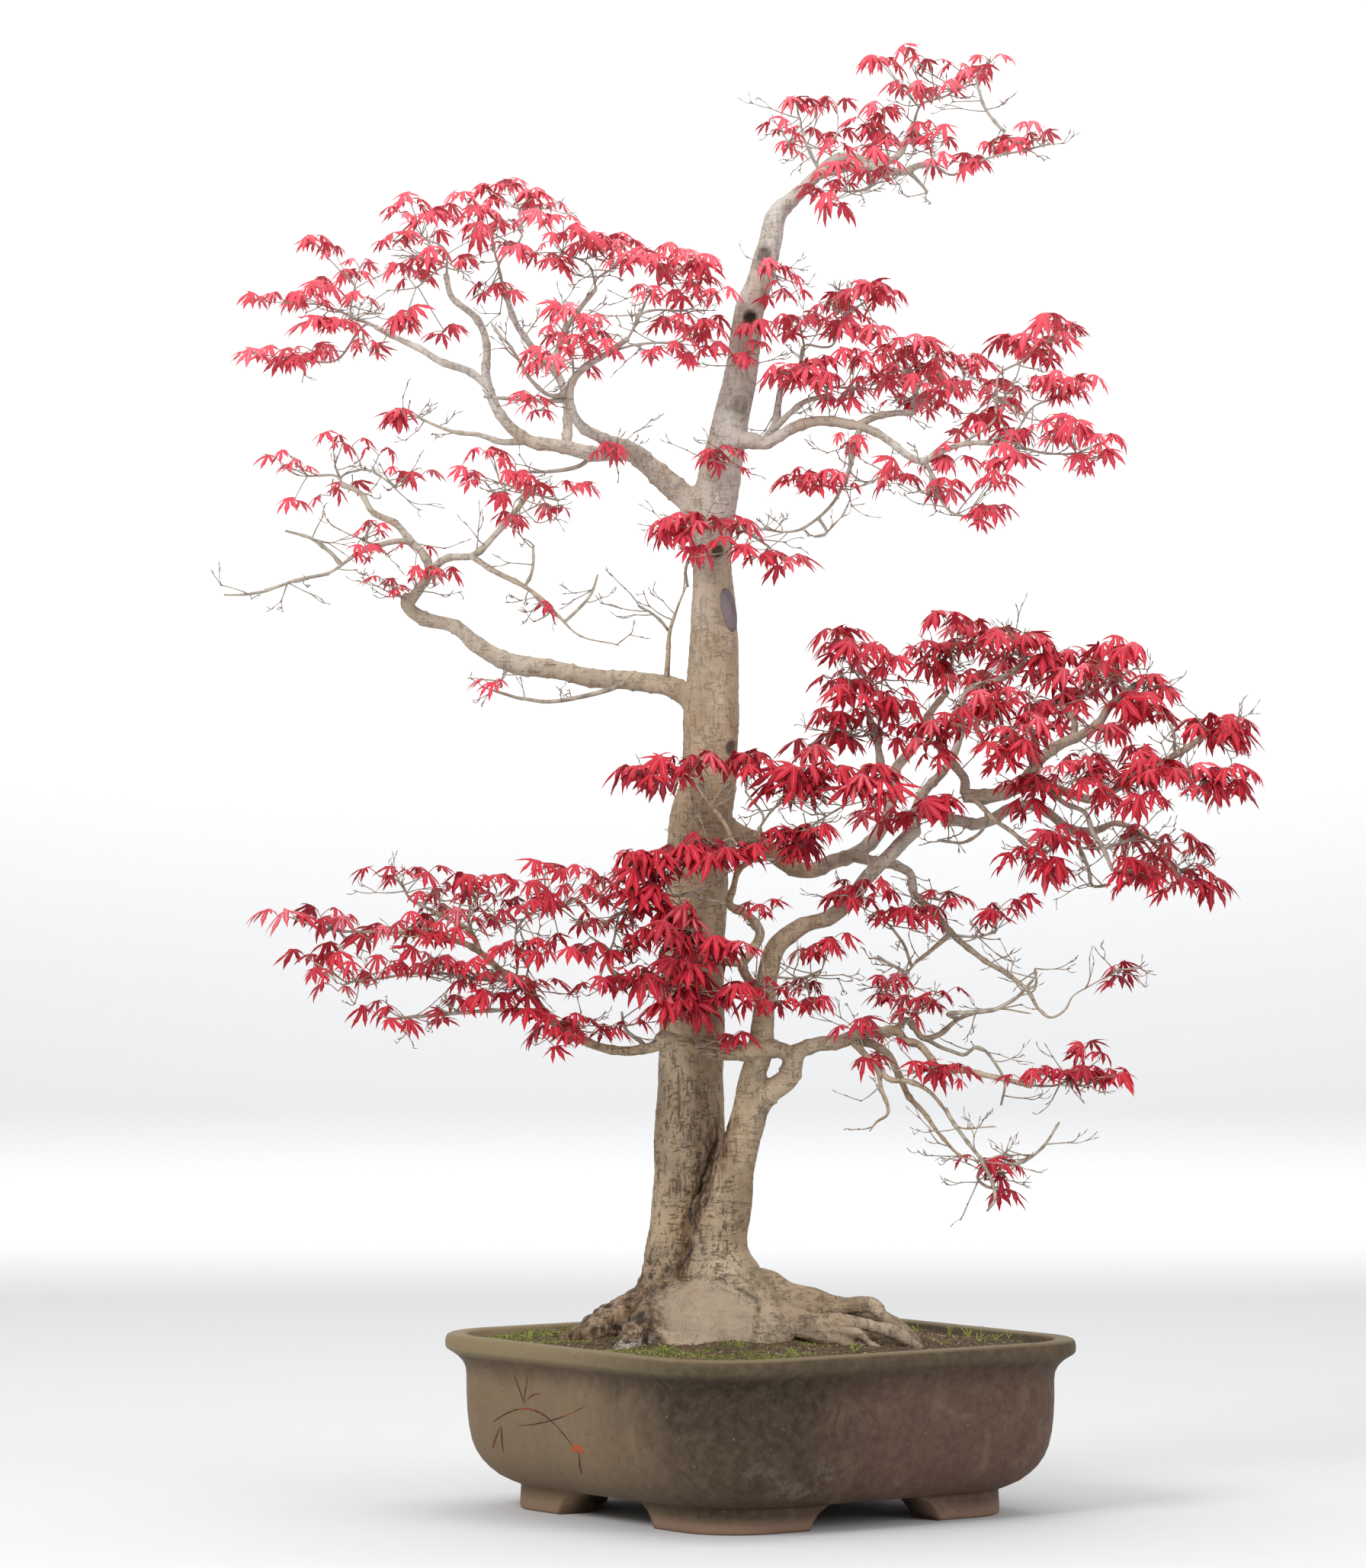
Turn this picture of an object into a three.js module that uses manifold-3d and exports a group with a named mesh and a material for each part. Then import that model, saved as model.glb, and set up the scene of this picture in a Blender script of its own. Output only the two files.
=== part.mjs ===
// A Japanese maple grown as a bonsai, in its square clay pot.
// Millimetres, +Z up. Tables use the pot's centre on its foot plane as zero, with -Y in front;
// the finished group is then centred on the middle of its bounding box, standing on z = 0.

import * as THREE from 'three';
import Module from 'manifold-3d';

const wasm = await Module();
wasm.setup();

// Driving sizes of the pot
const POT_TURN = 36.5;
const LIP_HALF = 165.5;
const LIP_CORNER = 60;
const LIP_WIDTH = 13;
const RIM_HEIGHT = 115;
const FLOOR_TOP = 29;
const FOOT_HALF = 125;
const FOOT_CORNER = 42;
const FOOT_DEPTH = 27;
const FOOT_GAP_TOP = 34;
const FOOT_GAP_BOTTOM = 53;
const FOOT_GAP_HEIGHT = 19;
const FOOT_GAP_STEPS = 4;
const CORNER_STEPS = 4;
const DRAIN_RADIUS = 12;
const DRAIN_PLACES = [-48, 48];
const SCREEN_SIDE = 42;
const SCREEN_THICK = 1.2;
const SCREEN_MESH = 2;
const GAP = 0.3;

// Driving sizes of the soil
const SOIL_EDGE = 109;
const SOIL_RISE = 10.5;
const SOIL_SPREAD = 95;
const SOIL_CENTRE = [-35, 0];
const SOIL_RINGS = 3;

// Driving sizes of a leaf: lobe directions round the stalk, lobe lengths, and how it droops
const LOBE_TURN = [-104, -54, 0, 54, 104];
const LOBE_LENGTH = [0.62, 0.92, 1, 0.92, 0.62];
const SINUS_LENGTH = 0.44;
const LEAF_LENGTH = 32;
const LEAF_THICK = 1.7;
const RIB_SHARE = 0.22;
const LOBE_PITCH = 52;
const SINUS_PITCH = 30;

// Driving sizes of a twig
const TWIG_TIP = 1.15;
const TWIG_GROWTH = 0.2;
const TWIG_SIDES = 3;
const TURN_COST = 0.9;
const STRAIGHT_LIMIT = 0.35;
const LEAD = 3;
const SUNK = 3;
const STUB_LENGTH = 3.5;
const STUB_RADIUS = 1.9;
const END_REACH = 2;

// The leaves are numbered through all sprays, and the solids carry every fourth one, a little larger
// than life, so that they fill the same cloud
const LEAF_CYCLE = 4;
const LEAF_SWING = 0.7;
const STALK_ROOT = 0.5;
const STALK_END = 0.6;
const STALK_SETBACK = 0.45;
const BEHIND_LIMIT = 0.27;
const TREE_DEPTH = 1.45;
const TRUNK_TOLERANCE = 2.2;
const PATH_TOLERANCE = 3.4;
const DEPTH_SHIFTS = [0, 4, -4, 8, -8, 12, -12];
const TWIG_TOLERANCE = 1.5;

// Outer wall of the pot from the underside to the lip: height, half side, corner radius
const OUTER_WALL = [
  [16, 124, 48],
  [19, 133, 54],
  [27, 143, 55],
  [37, 149.5, 56],
  [52, 153.2, 56],
  [90, 154.4, 56],
  [98, 157, 57],
  [103, 162, 58.5],
  [106, 165, 60],
  [RIM_HEIGHT - 1.5, LIP_HALF, LIP_CORNER],
  [RIM_HEIGHT, LIP_HALF - 1.2, LIP_CORNER - 1],
];

// Inner wall of the pot from its floor to the lip: height, half side, corner radius
const INNER_WALL = [
  [FLOOR_TOP, 122, 42],
  [40, 136, 44],
  [56, 140.5, 44],
  [96, 141.5, 44],
  [RIM_HEIGHT + 1, LIP_HALF - LIP_WIDTH, 47],
];

// Wood: each stem or limb is a list of x, y, z, radius, thick end first
const STEMS = {
  main_trunk: { sides: 10, path: [
    [-47, 2, 92, 56], [-47, 2, 112, 55], [-46, 2, 124, 47], [-44, 4, 136, 41], [-44, 6, 150, 35],
    [-45, 8, 165, 31.5], [-45, 9, 185, 27.5], [-45, 10, 212, 25], [-45, 10, 250, 23],
    [-44.5, 10, 300, 21.5], [-44, 10, 340, 21], [-41, 10, 400, 20], [-39.5, 10, 440, 20.5],
    [-37.5, 10, 460, 20.5], [-33.5, 9, 480, 18.5], [-31.5, 8, 520, 18.5], [-29.5, 7, 560, 16.5],
    [-29.5, 6, 590, 15.2], [-30.5, 5, 620, 13], [-31, 4, 640, 13.5], [-29, 3, 664, 15],
    [-24, 1, 690, 14], [-18, 0, 720, 11.8], [-11, -1, 752, 11], [-6, -2, 790, 10],
    [2, -2, 814, 9.2], [8, -2, 838, 7.6], [12, -1, 854, 6.8], [24, 1, 866, 5.2], [39, 3, 881, 4.6],
  ] },
  second_trunk: { sides: 8, path: [
    [-10, -26, 94, 33], [-12, -24, 118, 33], [-16, -21, 134, 29], [-22, -17, 150, 25],
    [-28, -12, 168, 21.5], [-24, -16, 200, 19], [-18, -20, 222, 15.5], [-13, -24, 243, 13],
    [-6, -27, 266, 11.5], [-6, -28, 282, 8.5], [-1, -29, 300, 8.5], [3, -29, 330, 7.2],
    [6, -28, 356, 7.2], [11, -26, 372, 6.6], [28, -22, 385, 6], [46, -16, 391, 5.7],
    [62, -9, 405, 5.4], [72, -3, 418, 5.2], [84, 3, 429, 5], [96, 7, 441, 4.7],
    [105, 9, 449, 4.4], [117, 10, 452.5, 4.2], [125, 10, 455, 4.2], [130, 9, 460, 4], [136, 7, 472, 4.2],
  ] },
  root_left: { sides: 6, path: [
    [-50, 0, 140, 24], [-85, -14, 133, 15], [-108, -20, 123, 11.5], [-126, -24, 113, 8], [-143, -28, 101, 5],
  ] },
  root_front_left: { sides: 5, path: [
    [-50, -16, 136, 22], [-70, -48, 126, 13], [-84, -68, 114, 9.5], [-97, -84, 101, 6],
  ] },
  root_front: { sides: 7, path: [
    [-37, -10, 140, 24], [-36, -38, 127, 24], [-35, -58, 114, 19], [-34, -74, 100, 12],
  ] },
  root_right_front: { sides: 5, path: [
    [-14, -22, 132, 20], [22, -38, 127, 10.5], [46, -48, 118, 8], [66, -55, 109, 5.5], [80, -60, 101, 4],
  ] },
  root_right: { sides: 5, path: [
    [-14, -8, 138, 18], [25, -12, 139, 9], [52, -10, 135, 7], [78, -8, 128, 6], [98, -6, 117, 4.5],
    [110, -5, 104, 3],
  ] },
  root_right_back: { sides: 5, path: [
    [-26, 6, 136, 24], [20, 35, 128, 12], [50, 52, 117, 9], [78, 66, 103, 6],
  ] },
  root_back_left: { sides: 5, path: [
    [-56, 12, 138, 24], [-80, 42, 125, 14], [-96, 60, 112, 10], [-108, 76, 100, 6],
  ] },
  root_back: { sides: 5, path: [
    [-44, 18, 138, 24], [-41, 60, 124, 14], [-38, 88, 110, 10], [-35, 110, 99, 6],
  ] },
  second_fork: { sides: 6, path: [
    [-6, -26, 260, 9], [6, -30, 277, 7.5], [18, -31, 286, 7.2], [23, -31, 302, 6.6],
  ] },
  low_left_arm: { sides: 6, path: [
    [25, -31, 300, 5], [12, -33, 305, 5.8], [-12, -35, 304, 5.7], [-24, -35, 304, 5.5], [-48, -34, 309, 5.2],
    [-66, -33, 312.5, 5.2],
  ] },
  low_left_reach: { sides: 4, path: [
    [-58, -33, 310.5, 3.8], [-72, -35, 306.5, 3.4], [-88, -38, 304.5, 3.2], [-104, -40, 307.5, 2.9],
    [-116, -42, 312.5, 2.8], [-130, -43, 319, 2.7], [-141, -45, 331, 2.7], [-149, -46, 343, 2.6],
    [-157, -48, 351, 2.5], [-167, -46, 356.5, 2.2], [-182, -43, 368.5, 2.1], [-195, -40, 375.5, 2],
    [-212, -36, 378.5, 1.8], [-235, -32, 381.5, 1.6],
  ] },
  low_left_rise: { sides: 3, path: [
    [-182, -43, 368.5, 2], [-187, -36, 380, 1.8], [-203, -28, 390.5, 1.7], [-214, -22, 395, 1.6],
  ] },
  low_right_arm: { sides: 6, path: [
    [20, -31, 302, 5.4], [36, -33, 308, 4.8], [56, -35, 311.5, 4.6], [64, -35, 315.5, 4.4],
    [80, -34, 316.5, 3.6],
    [90, -33, 317, 3.3], [94, -34, 312, 2.8], [104, -36, 308.5, 2.5], [110, -38, 301.5, 2.3],
    [115, -40, 294.5, 2.2], [134, -45, 292, 2], [150, -49, 288.5, 1.8], [176, -55, 283.2, 1.7],
  ] },
  low_right_knee: { sides: 4, path: [
    [88, -33, 317, 2.8], [96, -30, 324, 2.6], [101, -27, 319, 2.5], [107, -24, 312, 2.5],
    [117, -24, 314.5, 2.4],
    [131, -26, 325.5, 2.1], [142, -28, 329.4, 1.9], [155, -30, 331.7, 1.7], [177, -34, 329, 1.3],
  ] },
  hanging_twig: { sides: 3, path: [
    [60, -36, 311, 2.6], [69, -42, 302.5, 2.3], [77, -45, 293, 2.1], [78.5, -46, 283, 1.9],
    [82.5, -48, 263.5, 1.6], [76, -49, 259.5, 1.4], [71, -50, 253, 1.2],
  ] },
  hanging_fork: { sides: 3, path: [
    [76, -44, 294, 2.1], [85, -46, 286, 2], [94, -47, 285.5, 1.9], [109, -50, 279.6, 1.8],
    [118.5, -52, 269.5, 1.6],
    [126, -54, 257.3, 1.4], [153, -58, 257, 1.1],
  ] },
  hanging_limb: { sides: 4, path: [
    [66, -32, 311, 3.2], [77, -30, 307, 2.9], [85, -29, 301, 2.8], [91, -28, 288, 2.7], [97, -29, 275, 2.6],
    [107, -32, 264.5, 2.4], [118.5, -36, 248.3, 2.2], [130, -40, 237, 1.9], [147, -44, 232, 1.5],
  ] },
  front_twig: { sides: 4, path: [
    [1, -29, 335, 3.8], [-4, -34, 346, 3.3], [-11, -37, 361, 3.2], [-4, -37, 371, 3.1], [0.5, -37, 382, 3.1],
    [-8, -36, 393, 2.8], [-20, -35, 400, 2.7], [-17.5, -33, 410, 2.1], [-14.5, -32, 421, 2],
    [0, -30, 434, 1.7],
    [0, -28, 450, 1.4],
  ] },
  front_twig_left: { sides: 3, path: [
    [-15, -32, 422, 1.8], [-19, -34, 443, 1.5], [-24, -36, 454, 1.4], [-33, -38, 466, 1.3],
  ] },
  front_low_limb: { sides: 3, path: [
    [-11, -37, 361.5, 2.8], [-30, -38, 362.5, 2.3], [-46, -40, 359, 2.2], [-60, -43, 352, 2],
    [-77, -46, 346.5, 1.9],
    [-88, -47, 351, 1.8], [-96, -47, 357, 1.8], [-99.5, -47, 366, 1.7],
  ] },
  right_limb: { sides: 6, path: [
    [-34, 10, 460, 9], [-19, 11, 449, 7], [-5, 13, 442, 6.2], [10, 16, 432.5, 6], [22, 17, 424, 5.7],
    [33, 18, 421, 5.2], [50, 20, 427, 4.9], [66, 22, 433, 4.7], [77, 24, 442, 4.4], [85, 30, 455, 4],
    [90, 35, 473, 3.7], [92, 39, 488, 3.5], [101, 44, 499.5, 3.2], [107, 48, 510, 2.8], [117, 53, 528, 2.4],
    [128, 58, 541, 2],
  ] },
  right_limb_stem: { sides: 4, path: [
    [90, 35, 474, 2.8], [83, 35, 489, 2.7], [80.5, 34, 502, 2.4], [78, 32, 514, 2.3], [72, 30, 526, 1.9],
  ] },
  right_low_limb: { sides: 4, path: [
    [62, 21, 431, 4], [76, 14, 427, 3.6], [91, 12, 425, 3.4], [100.5, 12, 418.5, 3.2], [103, 10, 406, 3],
    [115, 6, 394, 2.8], [127, 4, 380, 2.7], [145, 2, 365, 2.4], [163.5, 0, 353.7, 2.2], [176, -2, 343.5, 2.1],
    [185.5, -4, 329, 1.8], [191, -5, 325, 1.7], [201.5, -7, 330, 1.4], [206, -9, 338.5, 1.3],
    [217, -10, 345.6, 1.2], [232, -12, 354, 1.1],
  ] },
  right_low_side: { sides: 3, path: [
    [127, 4, 380, 2], [113, 2, 368, 1.6], [101, 0, 358, 1.4], [97.5, -1, 352, 1.3],
  ] },
  knot_left: { sides: 4, path: [
    [136, 7, 472, 3.4], [136, 6, 481, 3.1], [131, 4, 488.5, 2.9], [121, 0, 501, 2.6], [117, -2, 506, 2.5],
  ] },
  knot_behind: { sides: 4, path: [
    [103, 10, 448, 3.8], [105, 16, 463, 3.3], [111, 21, 474.5, 3.1], [124, 27, 488, 3], [130, 30, 498, 2.9],
    [135, 34, 512, 2.6], [136, 38, 532, 2.4], [143, 41, 543, 2.3], [156, 44, 546.5, 2.2],
    [167, 47, 551.5, 2.1],
    [181, 51, 561, 1.8],
  ] },
  pad_limb: { sides: 5, path: [
    [136, 7, 471, 4.8], [150, 5, 470, 4.6], [160, 4, 472, 4.5], [172, 2, 477, 4.3], [179.5, 7, 486, 3.9],
    [189, 12, 497, 3.7], [200, 16, 504.5, 3.5], [215, 19, 511.6, 3.2], [225, 20, 518, 3],
    [234, 22, 530.5, 2.6],
    [245, 24, 540, 2.2], [256, 26, 548, 1.8],
  ] },
  pad_limb_low: { sides: 4, path: [
    [170, 2, 476.5, 3.8], [190, -1, 477, 3.4], [206, -3, 471.6, 3.1], [220, -6, 468, 2.8],
    [236, -12, 476, 2.5],
    [250, -16, 484.5, 2.4], [266, -21, 494, 2.3], [279.5, -26, 502, 2.2], [291, -30, 510.5, 2],
  ] },
  pad_limb_front: { sides: 3, path: [
    [182, 9, 489, 2.8], [182, 1, 500, 2.3], [180, -4, 510, 2], [178, -7, 518, 1.8],
  ] },
  pad_limb_back: { sides: 3, path: [
    [209, 18, 509.5, 2.6], [210, 26, 520, 2.2], [206, 32, 527, 2], [200, 38, 534, 1.8],
  ] },
  lower_pad_limb: { sides: 4, path: [
    [122, 10, 454, 4.2], [132, 12, 454.3, 4], [142, 14, 451.5, 3.9], [154, 16, 454.3, 3.8],
    [167, 18, 462.4, 3.7],
    [180, 20, 464.5, 3.5], [194, 21.5, 458, 3.2], [207, 23, 449, 2.9], [224, 25, 447.4, 2.4],
    [238, 27, 452.6, 1.9], [250, 28, 449, 1.6], [264, 28, 438, 1.4], [271, 28, 430.5, 1.4],
  ] },
  lower_pad_twig: { sides: 3, path: [
    [186, 0, 477, 2], [201, -6, 466, 1.7], [214, -11, 459, 1.6], [219, -12, 448, 1.6], [226, -14, 436, 1.5],
    [232, -16, 422, 1.2],
  ] },
  under_pad_twig: { sides: 3, path: [
    [139, 6, 470.5, 2.2], [147, 1, 464, 1.8], [157, -2, 454, 1.6], [168, -5, 446, 1.5], [179, -8, 436.5, 1.4],
    [190, -10, 434, 1.3],
  ] },
  middle_left_limb: { sides: 6, path: [
    [-30, 9, 518, 12], [-44, 12, 534, 7.6], [-58, 15, 543, 6.6], [-75, 18, 546, 6.2], [-110, 21, 549, 6],
    [-140, 22, 555, 6.1], [-163, 21, 558.5, 6.3], [-176, 20, 564.5, 5.6], [-187, 19, 571, 5.2],
    [-201, 17, 582.5, 4.7], [-224, 15, 589, 4.4], [-232, 15, 595, 4.4], [-234, 15, 603, 4],
  ] },
  middle_left_rise: { sides: 4, path: [
    [-232, 15, 598, 3.8], [-225, 12, 607, 3.5], [-218, 10, 619, 3.2], [-222, 12, 631, 2.8],
    [-229, 15, 638.5, 2.6],
    [-241, 21, 651, 2.3], [-257, 25, 660, 2], [-265, 28, 672, 1.8], [-277, 31, 678, 1.7],
  ] },
  middle_left_low: { sides: 3, path: [
    [-229, 14, 638.5, 2.2], [-240, 8, 639, 2], [-252, 4, 635.5, 1.9], [-265, 0, 630, 1.7],
    [-283, -7, 617.5, 1.5],
    [-302, -10, 613, 1.3], [-325, -12, 606, 1.2],
  ] },
  middle_left_inner: { sides: 4, path: [
    [-218, 10, 619, 2.8], [-208, 5, 626.5, 2.5], [-187, -5, 629.5, 2.3], [-172, -10, 644, 2],
    [-158, -13, 660, 1.8],
    [-148, -15, 674, 1.6],
  ] },
  middle_left_return: { sides: 3, path: [
    [-190, -4, 628.8, 2.1], [-168, -12, 615, 1.9], [-148, -16, 604, 1.7], [-131, -19, 588, 1.5],
    [-120, -20, 577, 1.3], [-92, -20, 569, 1.1],
  ] },
  upright_twig: { sides: 3, path: [
    [-61, 15, 546, 2.2], [-60, 12, 563, 1.8], [-59, 11, 578, 1.7], [-52, 9, 599, 1.4], [-47, 8, 611, 1.2],
  ] },
  upper_left_limb: { sides: 6, path: [
    [-30, 1, 648, 12], [-45, 3, 665, 8.8], [-58, 6, 676, 7.6], [-70, 10, 687, 7], [-82, 12, 696.5, 6],
    [-110, 15, 697.5, 5], [-130, 17, 702, 4.5], [-155, 20, 707.5, 4.1], [-166, 20, 717, 3.6],
    [-177, 18, 735, 3.4], [-181, 16, 751, 2.9], [-180, 12, 768, 2.5], [-186, 6, 786, 2.3], [-203, 0, 801, 2],
    [-206, 0, 815, 1.8],
  ] },
  upper_left_tip: { sides: 4, path: [
    [-179, 18, 742, 3], [-190, 23, 751.5, 2.6], [-212, 32, 760, 2.4], [-228, 39, 770, 2.1],
    [-248, 46, 780, 1.8],
    [-256, 48, 785, 1.7],
  ] },
  upper_left_front: { sides: 4, path: [
    [-74, 8, 694, 4.6], [-86, 0, 701, 4.2], [-104, -10, 706, 3.8], [-117, -17, 713.5, 3.4],
    [-124, -21, 727, 3],
    [-123, -22, 741, 2.6], [-114, -26, 751, 2.3], [-99, -30, 760, 2.1], [-86, -34, 769, 1.9],
  ] },
  upper_left_back: { sides: 4, path: [
    [-128, 18, 702, 3.6], [-127, 28, 713, 3.3], [-128, 38, 735, 2.9], [-134, 43, 752, 2.7],
    [-146, 47, 764, 2.5],
    [-159, 52, 782, 2.2], [-170, 58, 808, 1.9],
  ] },
  upper_left_back_fork: { sides: 3, path: [
    [-136, 44, 754, 2.3], [-131, 38, 776, 2], [-119, 33, 795, 1.8], [-108, 30, 808, 1.6],
  ] },
  upper_left_thin: { sides: 3, path: [
    [-154, 20, 706, 2.8], [-170, 25, 706, 2.2], [-186, 30, 711, 2], [-204, 35, 713.5, 1.8],
    [-225, 41, 722, 1.5],
    [-240, 45, 730, 1.2],
  ] },
  upper_right_limb: { sides: 5, path: [
    [-20, -2, 706, 8], [-6, -6, 704.5, 5.4], [4, -10, 702.5, 4.4], [13, -12, 707, 3.8], [24, -14, 713, 3.6],
    [38, -17, 716.5, 3.4], [57, -20, 714.5, 3.2], [70, -23, 711.5, 2.9], [86, -28, 702, 2.5],
    [107, -33, 689.5, 2.2],
    [116, -35, 694, 1.9], [132, -38, 699.5, 1.7], [148, -40, 701, 1.6],
  ] },
  upper_right_back: { sides: 4, path: [
    [64, -22, 713, 2.8], [74, -18, 718.5, 2.4], [88, -12, 722, 2.1], [102, -8, 723, 1.9],
  ] },
  upper_right_rise: { sides: 4, path: [
    [3, -9, 704, 3], [10, -3, 714, 2.6], [13, 2, 730, 2.3], [15, 3, 740, 2], [26, 5, 750, 1.8],
  ] },
  upper_right_middle: { sides: 3, path: [
    [11, -4, 713, 2.3], [20, -9, 722, 2], [31, -13, 730, 1.8], [46, -16, 733.5, 1.6],
  ] },
  upper_right_hang: { sides: 3, path: [
    [66, -22, 711, 2.2], [61, -25, 699, 1.9], [60, -27, 687, 1.7],
  ] },
  crown_upper: { sides: 4, path: [
    [38, 3, 880, 4], [47, 5, 889, 3.6], [57, 7, 893, 3.3], [68, 9, 891, 3], [84, 10, 890, 2.7],
    [92, 11, 894, 2.4],
    [98, 11, 905, 2.2], [103, 10, 916, 2],
  ] },
  crown_lower: { sides: 4, path: [
    [38, 2, 880, 3.8], [49, -3, 883, 3.4], [63, -8, 885, 3.2], [76, -12, 883, 3], [97, -16, 880.5, 2.5],
    [104, -17, 884, 2.2], [113, -18, 885, 1.9],
  ] },
};

// Short side shoots, each carrying a spray in front of its stem: x, y, z, radius
const SHOOTS = {
  shoot_trunk_wound: [[-30, -4, 632, 3], [-28, -13.5, 634, 2.2]],
  shoot_second_top: [[6, -30, 352, 3], [6, -38, 353, 2.2]],
  shoot_second_right: [[6, -27, 350, 3], [18, -22, 351, 2]],
  shoot_bend: [[60, -10, 404, 3], [60, -19, 404, 2.2]],
};

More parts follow.
